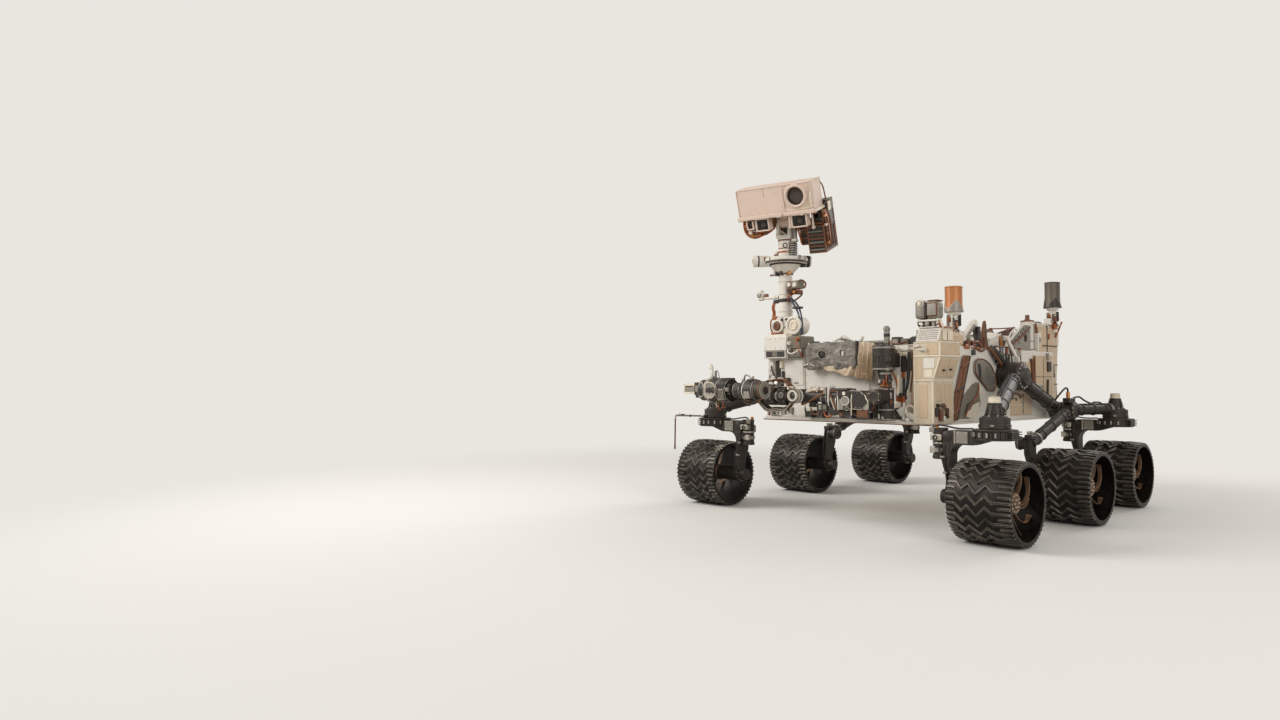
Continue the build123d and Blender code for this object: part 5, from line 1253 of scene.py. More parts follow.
# White strips, boxes and a hinge along the deck's front edge
slab(form, (1.070, -0.320, 1.250), (1.106, 0.600, 1.2565), WHITE, 0.002)
for y, wide, tall, deep, look in ((-0.262, 0.050, 0.058, 0.060, BLACK),
        (-0.200, 0.050, 0.040, 0.050, OLIVE), (-0.140, 0.040, 0.050, 0.060, DARK),
        (-0.070, 0.060, 0.046, 0.050, WHITE), (0.000, 0.050, 0.060, 0.050, WHITE),
        (0.050, 0.030, 0.030, 0.050, DARK), (0.120, 0.060, 0.040, 0.050, GREY),
        (0.200, 0.050, 0.030, 0.060, WHITE)):
    slab(form, (1.090 - deep, y - wide / 2, 1.253), (1.092, y + wide / 2, 1.253 + tall), look,
        0.004)
for y, z, lean_deg in ((-0.045, 1.318, 25), (0.040, 1.322, -35), (0.150, 1.296, 60)):
    lean = Matrix.Translation((1.075, y, z)) @ Matrix.Rotation(radians(lean_deg), 4, "X")
    slab(form, (-0.012, -0.040, -0.008), (0.012, 0.040, 0.008), WHITE, 0.003, lean)
cable(form, [(1.08, -0.02, 1.31), (1.10, 0.02, 1.325), (1.09, 0.07, 1.30), (1.08, 0.13, 1.29),
    (1.07, 0.20, 1.275)], 0.008, GREY)
# Upright grey canister with a dark band, and low instrument boxes to its left
can_profile = [(0, 0.0), (0, 0.026), (0.006, 0.026), (0.010, 0.021), (0.112, 0.021), (0.116, 0.024),
    (0.134, 0.024), (0.138, 0.020), (0.146, 0.014), (0.148, 0.0)]
lathe(form, can_profile, (1.030, 0.335, 1.253), (0, 0, 1), GREY, 30)
lathe(form, band(0, 0.022, 0.0205, 0.0222), (1.030, 0.335, 1.322), (0, 0, 1), BLACK, 30)
bolt_circle(form, (1.030, 0.335, 1.259), 0.0235, 6, (0, 0, 1), 0.003, BRIGHT)
for low, high, look in (
    ((0.985, 0.376, 1.253), (1.040, 0.440, 1.318), DARK),
    ((0.995, 0.450, 1.253), (1.045, 0.506, 1.304), OLIVE),
    ((0.985, 0.516, 1.253), (1.035, 0.580, 1.312), BLACK),
    ((1.036, 0.386, 1.266), (1.046, 0.428, 1.300), GREY),
    ((1.000, 0.526, 1.310), (1.024, 0.566, 1.320), GREY),
):
    slab(form, low, high, look, 0.004)
cable(form, [(1.038, 0.356, 1.290), (1.050, 0.376, 1.278), (1.052, 0.410, 1.266),
    (1.054, 0.460, 1.270), (1.044, 0.500, 1.285)], 0.005, BROWN)
finish(form, "body_front_fittings", body_looks, "chassis", "white_paint")

# Front cover: layers of aluminised film under a grey woven skin, pulled over a frame, so it
# bulges and creases. It is laced at the rim, and a chromed port shows through a slit.
cover_low, cover_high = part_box("front_cover")


def cloth_look(name, colour, dark, light, thread):
    """Woven fabric: threads from two wave patterns, and broad tones where it has creased."""
    look = bpy.data.materials.new(name)
    look.use_nodes = True
    tree = look.node_tree
    tree.nodes.clear()
    place = node(tree, "ShaderNodeTexCoord")
    here = place.outputs["Object"]
    warp = node(tree, "ShaderNodeTexWave",
        {"Vector": here, "Scale": 0.32 / thread, "Distortion": 0.6}, bands_direction="Y")
    weft = node(tree, "ShaderNodeTexWave",
        {"Vector": here, "Scale": 0.32 / thread, "Distortion": 0.6}, bands_direction="Z")
    cross = node(tree, "ShaderNodeMath", {0: warp.outputs["Fac"], 1: weft.outputs["Fac"]},
        operation="MAXIMUM")
    crease = node(tree, "ShaderNodeTexNoise",
        {"Vector": here, "Scale": 26.0, "Detail": 6.0, "Distortion": 1.4})
    tone = node(tree, "ShaderNodeTexNoise", {"Vector": here, "Scale": 8.0, "Detail": 4.0})
    share = node(tree, "ShaderNodeMapRange", {0: tone.outputs["Fac"], 1: 0.3, 2: 0.7})
    base = node(tree, "ShaderNodeMix", {0: share.outputs[0], 6: linear(dark), 7: linear(colour)},
        data_type="RGBA")
    ridge = node(tree, "ShaderNodeMapRange", {0: crease.outputs["Fac"], 1: 0.56, 2: 0.70})
    shade = node(tree, "ShaderNodeMix", {0: ridge.outputs[0], 6: base.outputs[2], 7: linear(light)},
        data_type="RGBA")
    folds = node(tree, "ShaderNodeBump",
        {"Height": crease.outputs["Fac"], "Strength": 0.9, "Distance": 0.012})
    weave = node(tree, "ShaderNodeBump",
        {"Height": cross.outputs[0], "Strength": 0.35, "Distance": 0.0006,
        "Normal": folds.outputs[0]})
    cloth = {"Base Color": shade.outputs[2], "Roughness": 0.62, "Sheen Weight": 0.25,
        "Normal": weave.outputs[0]}
    surface = node(tree, "ShaderNodeBsdfPrincipled", cloth)
    node(tree, "ShaderNodeOutputMaterial", {"Surface": surface.outputs[0]})
    return look


# A 3 mm thread shows where the real one, near 0.5 mm, would not
grey_cloth = cloth_look("grey woven thermal cover", "#7C7468", "#544D44", "#A59C8E", 0.003)
tan_cloth = cloth_look("tan woven thermal sheet", "#CDB699", "#B59C7E", "#E6D8C2", 0.003)

form = bmesh.new()
bmesh.ops.create_cube(form, size=2)
bmesh.ops.subdivide_edges(form, edges=form.edges, cuts=43, use_grid_fill=True)
middle = Vector((1.137, (cover_low.y + cover_high.y) / 2, (cover_low.z + cover_high.z) / 2))
half = Vector((0.0355, (cover_high.y - cover_low.y) / 2 - 0.006,
    (cover_high.z - cover_low.z) / 2 - 0.006))
for v in form.verts:
    n7 = sum(abs(a) ** 7 for a in v.co) ** (1 / 7)
    q = v.co / n7
    spot = Vector((middle.x + q.x * half.x, middle.y + q.y * half.y, middle.z + q.z * half.z))
    if q.x > -0.6:
        grid = Vector((spot.y * 7, spot.z * 8, 0.4))
        fold = 1 - abs(noise.noise(grid + Vector((noise.noise(grid * 2.1) * 0.9, 0, 3.1)))) * 2.4
        small = 1 - abs(noise.noise(Vector(
            (spot.y * 22 - spot.z * 9, spot.z * 24 + spot.y * 7, 1.7)))) * 2
        hold = min(1, (q.x + 0.6) / 0.6)
        spot.x += hold * (0.012 * fold + 0.004 * small - 0.005)
        away = ((spot.y + 0.115) ** 2 + (spot.z - 1.200) ** 2) ** 0.5
        spot.x += hold * 0.010 * max(0, 1 - abs(away - 0.062) / 0.030)
        spot.x -= hold * 0.020 * max(0, 1 - away / 0.045)
        sag = max(0, -q.z) * hold
        spot.z -= 0.012 * sag * (1 + sin(spot.y * 17))
        spot.y += 0.006 * hold * noise.noise(Vector((spot.z * 13, 4.2, 0)))
    v.co = spot
for face in form.faces:
    face.smooth = True
cover = finish(form, "front_cover_cloth", (grey_cloth,), "chassis", "grey_cover", ("front_cover",),
    flat=True)

form = bmesh.new()
# Port behind the slit, and the black edging strip on the cover's right
lathe(form, [(-0.03, 0.036), (0.004, 0.037), (0.008, 0.033), (0.004, 0.029), (-0.010, 0.027),
    (-0.012, 0.0)], (1.172, -0.118, 1.202), (1, 0.25, 0), BRIGHT, 36)
lathe(form, [(-0.006, 0.0272), (0.000, 0.018), (0.002, 0.0)], (1.172, -0.118, 1.202), (1, 0.25, 0),
    BLACK, 30)
slab(form, (1.104, 0.168, 1.118), (1.176, 0.1815, 1.296), BLACK, 0.006)
slab(form, (1.168, 0.050, 1.196), (1.189, 0.060, 1.232), BLACK, 0.003)
slab(form, (1.176, 0.062, 1.190), (1.192, 0.078, 1.224), WHITE, 0.004)
slab(form, (1.102, -0.292, 1.104), (1.112, -0.280, 1.300), WHITE, 0.003)
for y, z, roll in ((-0.235, 1.135, 40), (-0.205, 1.118, -25), (-0.262, 1.120, 10)):
    lean = Matrix.Translation((1.172, y, z)) @ Matrix.Rotation(radians(roll), 4,
        "X") @ Matrix.Rotation(radians(20), 4, "Y")
    slab(form, (-0.003, -0.022, -0.013), (0.003, 0.022, 0.013), BRIGHT, 0.002, lean)
screws(form, along((1.105, -0.27, 1.304), (1.105, 0.17, 1.304), 12), (0, 0, 1), 0.004, BRIGHT)
finish(form, "cover_port", body_looks, "chassis", "grey_metal")

# Curtain: one tan sheet hung from the cover's lower and right edges. It falls in soft
# vertical folds that deepen towards the hem.
columns, rows = 60, 26


def between(share, stops):
    """The point at a share of the way along stops, which are (share, point) pairs."""
    for (a, one), (b, two) in zip(stops, stops[1:]):
        if share <= b:
            return Vector(one).lerp(Vector(two), (share - a) / (b - a))
    return Vector(stops[-1][1])


top_line = ((0, (1.160, -0.120, 1.118)), (0.42, (1.166, 0.150, 1.122)),
    (0.56, (1.150, 0.186, 1.290)), (1, (1.116, 0.292, 1.276)))
hem_line = ((0, (1.156, -0.110, 1.098)), (0.42, (1.168, 0.105, 1.044)),
    (0.60, (1.160, 0.190, 1.026)), (1, (1.140, 0.300, 1.006)))
form = bmesh.new()
grid = []
for i in range(columns + 1):
    u = i / columns
    line = []
    for j in range(rows + 1):
        v = j / rows
        spot = between(u, top_line).lerp(between(u, hem_line), v)
        deep = (0.004 + 0.016 * v) * min(1, max(0, u - 0.30) / 0.2)
        spot.x += deep * sin(u * 46 + 1.2 * v) + 0.003 * v * sin(u * 19)
        spot.y += deep * 0.5 * cos(u * 46 + 0.7)
        spot.z -= 0.006 * v * sin(u * 23)
        line.append(form.verts.new(spot))
    grid.append(line)
for one, two in zip(grid, grid[1:]):
    for j in range(rows):
        form.faces.new((one[j], two[j], two[j + 1], one[j + 1])).smooth = True
bmesh.ops.recalc_face_normals(form, faces=form.faces)
flat_area = sum(f.calc_area() for f in form.faces)
curtain = finish(form, "front_curtain", (tan_cloth,), "chassis", "grey_cover", flat=True)
wall = curtain.modifiers.new("wall", "SOLIDIFY")
wall.thickness = 0.0025
wall.offset = 0

# Corner housing: folded aluminium sheet in beige primer, in three facets with raised seams.
# Its top block has a perforated white front, and a small white hook hangs at one edge.
form = bmesh.new()
hx = 1.138
for z, proud, tall in ((1.168, 0.006, 0.010), (1.006, 0.006, 0.010), (1.262, 0.004, 0.007)):
    reach = 0.796 if z > 1.17 else 0.796 - (1.174 - z) * 0.338
    slab(form, (hx - 0.270, 0.604, z), (hx + proud, reach + proud, z + tall), CREAM, 0.002)
for z0, z1, y0, y1 in ((1.176, 1.262, 0.793, 0.793), (0.722, 1.006, 0.741, 0.741)):
    slab(form, (hx - 0.004, y0 - 0.006, z0), (hx + 0.003, y1 + 0.006, z1), CREAM, 0.002)
lean = Matrix.Translation((hx, 0.770, 1.095)) @ Matrix.Rotation(radians(-18.7), 4, "X")
slab(form, (-0.004, -0.007, -0.078), (0.003, 0.006, 0.078), CREAM, 0.002, lean)
for y0, y1, z0, z1, look in ((0.676, 0.756, 1.090, 1.160, WHITE),
        (0.682, 0.742, 1.028, 1.084, CREAM), (0.640, 0.706, 0.760, 0.985, BEIGE),
        (0.700, 0.780, 1.184, 1.254, BEIGE), (0.620, 0.664, 1.020, 1.160, BEIGE)):
    slab(form, (hx - 0.002, y0, z0), (hx + 0.003, y1, z1), look, 0.0015)
slab(form, (hx - 0.002, 0.6040, 0.724), (hx + 0.005, 0.612, 1.262), CREAM, 0.002)
slab(form, (hx - 0.002, 0.612, 1.236), (hx + 0.020, 0.650, 1.250), WHITE, 0.003)
slab(form, (hx + 0.006, 0.640, 1.212), (hx + 0.020, 0.704, 1.224), WHITE, 0.003)
slab(form, (hx + 0.006, 0.694, 1.204), (hx + 0.020, 0.706, 1.226), WHITE, 0.003)
for x0, x1, z0, z1, y, look in ((0.890, 1.000, 1.184, 1.254, 0.796, BEIGE),
        (1.020, 1.120, 1.184, 1.254, 0.796, BEIGE), (0.890, 0.990, 0.760, 0.990, 0.744, BEIGE),
        (1.010, 1.110, 0.870, 0.990, 0.744, BEIGE)):
    slab(form, (x0, y - 0.002, z0), (x1, y + 0.003, z1), look, 0.0015)
slope = Matrix.Translation((1.003, 0.770, 1.095)) @ Matrix.Rotation(radians(-18.7), 4, "X")
for x0, x1 in ((-0.115, -0.010), (0.010, 0.115)):
    slab(form, (x0, 0.000, -0.062), (x1, 0.004, 0.062), BEIGE, 0.0015, slope)
slab(form, (0.030, 0.002, -0.020), (0.060, 0.016, -0.008), DARK, 0.003, slope)
slab(form, (-0.060, 0.002, -0.014), (-0.030, 0.014, -0.002), DARK, 0.003, slope)
for x, z, wide, tall, deep, look in ((1.105, 0.800, 0.030, 0.060, 0.016, DARK),
        (1.060, 0.780, 0.036, 0.080, 0.022, COPPER), (1.015, 0.830, 0.030, 0.040, 0.018, GREY),
        (1.080, 0.845, 0.050, 0.020, 0.024, BLACK), (1.030, 0.755, 0.030, 0.030, 0.026, WHITE),
        (0.975, 0.790, 0.024, 0.070, 0.020, BLACK)):
    slab(form, (x - wide / 2, 0.742, z - tall / 2), (x + wide / 2, 0.744 + deep, z + tall / 2),
        look, 0.004)
cable(form, [(1.10, 0.765, 0.83), (1.08, 0.780, 0.86), (1.04, 0.776, 0.85), (1.01, 0.765, 0.80),
    (0.97, 0.765, 0.76)], 0.005, BROWN)
screws(form, [(hx, y, z) for y, z in ((0.690, 1.025), (0.630, 1.000), (0.630, 0.75), (0.715, 1.178),
    (0.775, 1.178), (0.63, 1.178), (0.72, 0.75), (0.72, 0.99), (0.66, 1.09), (0.76, 1.10))],
    (1, 0, 0), 0.0035, BRIGHT)
screws(form, [(x, 0.796, z) for x in (0.88, 1.01, 1.13) for z in (1.19, 1.25)], (0, 1, 0), 0.0035,
    BRIGHT)
screws(form, [(x, 0.744, z) for x in (0.88, 1.0, 1.12) for z in (0.74, 0.86, 0.995)], (0, 1, 0),
    0.0035, BRIGHT)
grille = Matrix.Translation((1.124, 0.612, 1.267)) @ Matrix.Rotation(radians(-23), 4, "Y")
for low, high in (((-0.002, 0.000, 0.004), (0.005, 0.166, 0.012)),
        ((-0.002, 0.000, 0.092), (0.005, 0.166, 0.100)),
        ((-0.002, 0.000, 0.004), (0.005, 0.008, 0.100)),
        ((-0.002, 0.158, 0.004), (0.005, 0.166, 0.100))):
    slab(form, low, high, WHITE, 0.002, grille)
slab(form, (-0.002, 0.008, 0.012), (0.0015, 0.158, 0.092), WHITE, 0.001, grille)
for row in range(5):
    for column in range(13):
        y = 0.016 + column * 0.0107
        z = 0.020 + row * 0.0148
        slab(form, (0.0005, y, z), (0.0025, y + 0.006, z + 0.0070), DARK, 0.0005, grille)
for x0, x1 in ((0.945, 1.010), (1.025, 1.080)):
    slab(form, (x0, 0.780, 1.280), (x1, 0.785, 1.345), CREAM, 0.002)
finish(form, "corner_panels", body_looks, "chassis", "beige_panel")

# Arm mount and shoulder: anodised aluminium drums hold the azimuth gear, above and below a
# turning post. Ribs, a forward-facing motor, connectors and orange-tagged leads crowd round it.
shoulder_x, shoulder_y = 1.215, 0.440


def drums(form, rows):
    """Adds banded drums: each row is (base, direction, length, radius, look)."""
    for base, toward, length, radius, look in rows:
        edge = min(0.004, length * 0.3, radius * 0.3)
        lathe(form, [(0, 0), (0, radius - edge), (edge, radius), (length - edge, radius),
            (length, radius - edge), (length, 0)], base, toward, look, 28)


def blocks(form, rows, edge=0.004):
    """Adds chamfered boxes: each row is (x, y, z of one corner, of the other, look)."""
    for x0, y0, z0, x1, y1, z1, look in rows:
        slab(form, (x0, y0, z0), (x1, y1, z1), look, edge)


form = bmesh.new()
top = Vector((1.191, 0.406, 1.0805))
for up, tall, radius, look in ((0.004, 0.010, 0.0775, GREY), (0.040, 0.008, 0.0765, DARK),
        (0.098, 0.014, 0.0780, BLACK), (0.150, 0.012, 0.0775, GREY)):
    lathe(form, band(0, tall, radius - 0.008, radius), top + Vector((0, 0, up)), (0, 0, 1), look,
        36)
lathe(form, [(0, 0.072), (0.004, 0.066), (0.006, 0.052), (0.016, 0.050), (0.018, 0.020),
    (0.012, 0.018), (0.012, 0)], top + Vector((0, 0, 0.1695)), (0, 0, 1), BLACK, 32)
screws(form, [top + Vector((0.062 * sin(a), 0.062 * cos(a), 0.172))
    for a in (n * pi / 5 for n in range(10))], (0, 0, 1), 0.0042, BRIGHT)
for n in range(9):
    a = radians(-30 + n * 17)
    slab(form, (0.072, -0.003, 0.050), (0.0785, 0.003, 0.098), DARK, 0.001,
        Matrix.Translation(top) @ Matrix.Rotation(a, 4, "Z"))
# Forward-facing motor with cooling rings, a silver nozzle and a bent bracket behind it
motor = Vector((1.170, 0.433, 1.150))
drums(form, ((motor, (1, 0, 0), 0.060, 0.044, DARK),))
for n in range(4):
    lathe(form, band(0, 0.005, 0.040, 0.046), motor + Vector((0.012 + n * 0.012, 0, 0)), (1, 0, 0),
        DARK, 28)
lathe(form, [(0.0, 0.043), (0.012, 0.041), (0.020, 0.034), (0.024, 0.022), (0.020, 0.018),
    (0.018, 0.0)], motor + Vector((0.058, 0, 0)), (1, 0, 0), DARK, 28)
lathe(form, [(0.016, 0.030), (0.026, 0.029), (0.027, 0.024), (0.022, 0.023)],
    motor + Vector((0.058, 0, 0)), (1, 0, 0), DARK, 24)
screws(form, [motor + Vector((0.068, 0.037 * sin(a), 0.037 * cos(a)))
    for a in (n * pi / 4 for n in range(8))], (1, 0, 0), 0.0035, BRIGHT)
drums(form, (
    ((1.196, 0.430, 1.092), (0.9, -0.2, -0.25), 0.046, 0.013, BRIGHT),
    ((1.190, 0.470, 1.096), (1, 0, -0.2), 0.060, 0.012, GREY),
    ((1.104, 0.540, 1.010), (0, 0, 1), 0.150, 0.009, BLACK),
    ((1.104, 0.510, 0.900), (0, 0, 1), 0.130, 0.009, DARK),
))
blocks(form, (
    (1.090, 0.484, 1.070, 1.104, 0.600, 1.225, DARK),
    (1.100, 0.330, 1.090, 1.128, 0.398, 1.238, BLACK),
    (1.100, 0.340, 1.180, 1.146, 0.372, 1.206, GREY),
    (1.090, 0.484, 1.206, 1.107, 0.560, 1.222, GREY),
    (1.150, 0.440, 1.204, 1.182, 0.466, 1.232, BRIGHT),
    (1.100, 0.330, 1.000, 1.124, 0.376, 1.080, DARK),
    (1.100, 0.338, 0.925, 1.116, 0.362, 0.990, BLACK),
    (1.096, 0.494, 1.030, 1.112, 0.520, 1.070, AMBER),
    (1.100, 0.392, 0.735, 1.176, 0.490, 0.742, WHITE),
))
for n in range(5):
    slab(form, (1.103, 0.502 + n * 0.016, 1.084), (1.1075, 0.508 + n * 0.016, 1.196), GREY if n == 2
        else BLACK, 0.002)
low_drum = Vector((shoulder_x, shoulder_y, 0.738))
for up, radius, look in ((0.004, 0.059, GREY), (0.028, 0.0585, DARK), (0.046, 0.060, BLACK)):
    lathe(form, band(0, 0.008, radius - 0.008, radius), low_drum + Vector((0, 0, up)), (0, 0, 1),
        look, 32)
for n in range(12):
    a = 2 * pi * n / 12
    slab(form, (0.054, -0.0025, 0.008), (0.0605, 0.0025, 0.052), DARK, 0.001,
        Matrix.Translation(low_drum) @ Matrix.Rotation(a, 4, "Z"))
blocks(form, ((1.262, 0.430, 0.744, 1.272, 0.452, 0.772, BRIGHT),
    (1.255, 0.408, 0.752, 1.270, 0.424, 0.784, WHITE)))
cable(form, [(1.104, 0.535, 1.165), (1.103, 0.550, 1.10), (1.104, 0.545, 1.02),
    (1.103, 0.530, 0.95), (1.102, 0.520, 0.88)], 0.009, SLEEVE)
cable(form, [(1.13, 0.385, 1.20), (1.150, 0.345, 1.16), (1.142, 0.330, 1.09), (1.126, 0.345, 1.02),
    (1.120, 0.372, 0.93), (1.118, 0.395, 0.86)], 0.008, SLEEVE)
cable(form, [(1.106, 0.57, 1.20), (1.106, 0.585, 1.15), (1.105, 0.580, 1.08), (1.106, 0.568, 1.00),
    (1.105, 0.560, 0.93)], 0.006, BROWN)
cable(form, [(1.160, 0.452, 1.08), (1.140, 0.462, 1.04), (1.118, 0.466, 0.99), (1.112, 0.462, 0.93),
    (1.110, 0.456, 0.86)], 0.006, AMBER)
finish(form, "arm_mount_fittings", body_looks, "chassis", "dark_metal")

form = bmesh.new()
post = Vector((shoulder_x, shoulder_y, 0.800))
for up, tall, radius, look in ((0.006, 0.010, 0.0555, GREY), (0.038, 0.012, 0.0545, BLACK),
        (0.146, 0.012, 0.0555, GREY), (0.170, 0.012, 0.042, GOLD), (0.205, 0.020, 0.0425, BLACK),
        (0.252, 0.012, 0.043, GREY)):
    lathe(form, band(0, tall, radius - 0.010, radius), post + Vector((0, 0, up)), (0, 0, 1), look,
        32)
for n, look in enumerate((BLACK, WHITE, BLACK, AMBER, BLACK, GREY)):
    a = radians(-60 + n * 24)
    slab(form, (0.030, -0.008, 0.182 + 0.010 * (n % 3)), (0.052, 0.008, 0.208 + 0.008 * (n % 2)),
        look, 0.003, Matrix.Translation(post) @ Matrix.Rotation(a, 4, "Z"))
for angle, z0, z1, look in ((40, 0.060, 0.120, BLACK), (62, 0.050, 0.078, AMBER),
        (62, 0.084, 0.130, BRIGHT), (84, 0.040, 0.140, BLACK), (-62, 0.060, 0.110, GREY)):
    slab(form, (0.048, -0.009, z0), (0.0605, 0.009, z1), look, 0.003,
        Matrix.Translation(post) @ Matrix.Rotation(radians(angle), 4, "Z"))
cable(form, [post + Vector(p) for p in ((0.030, 0.036, 0.240), (0.040, 0.044, 0.200),
    (0.040, 0.046, 0.140), (0.036, 0.050, 0.080), (0.032, 0.046, 0.030))], 0.006, SLEEVE)
cable(form, [post + Vector(p) for p in ((0.036, 0.026, 0.250), (0.050, 0.030, 0.215),
    (0.044, 0.038, 0.170), (0.040, 0.042, 0.150))], 0.004, AMBER)
finish(form, "shoulder_fittings", body_looks, "arm_shoulder", "dark_metal")

# Upper arm: a titanium tube with machined ends. It carries two actuators, their drive
# electronics, a pointed guard plate, a strut, and white-wrapped cables along its top.
form = bmesh.new()
arm_x, arm_z = 1.3185, 0.900
front = 1.3675
for y, wide, drop, look in ((0.300, 0.010, 0.030, GREY), (0.276, 0.008, 0.030, BLACK),
        (0.262, 0.006, 0.0, GREY), (0.135, 0.006, 0.034, WHITE), (0.120, 0.010, 0.034, DARK),
        (0.098, 0.010, 0.034, BLACK), (0.074, 0.007, 0.034, WHITE), (0.052, 0.006, 0.012, GREY),
        (0.030, 0.012, 0.012, BLACK), (0.008, 0.006, 0.012, GREY)):
    lathe(form, band(0, wide, 0.040, 0.0482), (arm_x, y, arm_z - drop), (0, -1, 0), look, 32)
# Hub cover at the shoulder's end
hub_cover_y, hub_cover_r = 0.440, 0.052
lathe(form, [(-0.012, hub_cover_r - 0.004), (0, hub_cover_r), (0.002, hub_cover_r - 0.003),
    (0.003, hub_cover_r - 0.014), (0.006, hub_cover_r - 0.018), (0.0035, hub_cover_r - 0.030),
    (0.0035, 0)], (front - 0.0035, hub_cover_y, arm_z), (1, 0, 0), DARK, 36)
lathe(form, [(0.0, hub_cover_r - 0.014), (0.0062, hub_cover_r - 0.015),
    (0.0062, hub_cover_r - 0.018), (0.0, hub_cover_r - 0.019)],
    (front - 0.0035, hub_cover_y, arm_z), (1, 0, 0), DARK, 36)
bolt_circle(form, (front, hub_cover_y, arm_z), hub_cover_r - 0.008, 6, (1, 0, 0), 0.0035, BRIGHT)
# Gear box: panels, a pale round cover and connectors on its front
blocks(form, (
    (1.3600, 0.160, 0.900, 1.3665, 0.244, 0.936, DARK),
    (1.3600, 0.158, 0.806, 1.3665, 0.196, 0.880, GREY),
    (1.3600, 0.204, 0.806, 1.3670, 0.246, 0.838, BLACK),
    (1.3600, 0.248, 0.800, 1.3675, 0.256, 0.940, GREY),
    (1.3600, 0.144, 0.800, 1.3675, 0.152, 0.940, GREY),
    (1.2740, 0.150, 0.786, 1.3620, 0.252, 0.793, DARK),
))
lathe(form, [(-0.004, 0.033), (0.003, 0.032), (0.004, 0.028), (0.001, 0.025), (0.002, 0.0)],
    (1.3650, 0.212, 0.870), (1, 0, 0), GREY, 28)
lathe(form, [(0.0, 0.0335), (0.0055, 0.0325), (0.0055, 0.0295), (0.0, 0.029)],
    (1.3640, 0.212, 0.870), (1, 0, 0), WHITE, 28)
lathe(form, [(0, 0.014), (0.006, 0.012), (0.007, 0)], (1.3630, 0.202, 0.921), (1, 0, 0), WHITE, 18)
lathe(form, [(0, 0.017), (0.006, 0.016), (0.006, 0.011), (0.002, 0.010), (0.002, 0)],
    (1.3630, 0.226, 0.816), (1, 0, 0), GREY, 20)
lathe(form, [(0.002, 0.0105), (0.004, 0.006), (0.0045, 0)], (1.3630, 0.226, 0.816), (1, 0, 0),
    GLASS, 18)
# Guard plate: raised rim, rivets, a dark knob above and a rust-brown foot below
rim = [(0.250, 0.816), (0.346, 0.811), (0.397, 0.860), (0.370, 0.912), (0.330, 0.938),
    (0.252, 0.941)]
for (y0, z0), (y1, z1) in zip(rim, rim[1:]):
    span = ((y1 - y0) ** 2 + (z1 - z0) ** 2) ** 0.5
    turn = Matrix.Translation((front, (y0 + y1) / 2, (z0 + z1) / 2)) @ Matrix.Rotation(
        Vector((y1 - y0, z1 - z0)).angle_signed(Vector((1, 0))), 4, "X")
    slab(form, (-0.003, -span / 2, -0.0035), (0.0025, span / 2, 0.0035), CREAM
        if z0 > 0.84 and z1 < 0.92 else GREY, 0.001, turn)
screws(form, [(front + 0.0005, y, z) for y,
    z in ((0.27, 0.828), (0.30, 0.826), (0.33, 0.824), (0.27, 0.926), (0.31, 0.924), (0.345, 0.92),
    (0.378, 0.886))], (1, 0, 0), 0.003, BRIGHT)
blocks(form, ((1.356, 0.262, 0.930, 1.368, 0.300, 0.956, BLACK),
    (1.350, 0.300, 0.760, 1.362, 0.384, 0.812, COPPER),
    (1.352, 0.312, 0.742, 1.360, 0.360, 0.764, DARK)))
cable(form, [(1.366, 0.268, 0.915), (1.370, 0.262, 0.88), (1.370, 0.268, 0.84),
    (1.368, 0.262, 0.80), (1.360, 0.258, 0.77)], 0.004, CREAM)
# White-wrapped cables and padded sleeves on top, held by cream clamps
for n, (y0, y1, x, z, thick, look) in enumerate(
        ((-0.130, 0.060, 1.300, 0.950, 0.012, WHITE), (-0.120, 0.085, 1.322, 0.953, 0.013, GREY),
        (-0.110, 0.020, 1.342, 0.944, 0.011, CREAM), (-0.060, 0.140, 1.350, 0.936, 0.008, BROWN))):
    cable(form, [(x, y0 - 0.02, z - 0.018), (x + 0.003, y0, z - 0.004),
        (x - 0.003, y0 + (y1 - y0) * 0.3, z + 0.004), (x + 0.004, y0 + (y1 - y0) * 0.6, z),
        (x, y1, z + 0.002), (x, y1 + 0.03, z - 0.02)], thick, look)
for y in (-0.095, -0.030, 0.045):
    slab(form, (1.290, y - 0.006, 0.930), (1.362, y + 0.006, 0.966), CREAM if y < 0 else GREY,
        0.005)
blocks(form, ((1.354, 0.066, 0.858, 1.370, 0.078, 0.972, WHITE),
    (1.284, 0.064, 0.945, 1.366, 0.080, 0.976, WHITE),
    (1.290, 0.088, 0.936, 1.356, 0.225, 0.958, BLACK),
    (1.350, -0.030, 0.940, 1.368, -0.010, 0.966, BRIGHT)))
lathe(form, [(0, 0.012), (0.120, 0.012), (0.122, 0.0)], (1.348, 0.100, 0.946), (0, 1, 0), DARK, 16)
# Strut from below the elbow to the cluster, with a fork at each end
cable(form, [(1.344, -0.166, 0.842), (1.346, -0.130, 0.851), (1.350, -0.088, 0.868),
    (1.362, -0.035, 0.893), (1.368, 0.040, 0.922)], 0.0085, BROWN)
blocks(form, ((1.356, 0.034, 0.914, 1.376, 0.058, 0.940, GREY),
    (1.330, -0.180, 0.832, 1.350, -0.160, 0.850, COPPER)))
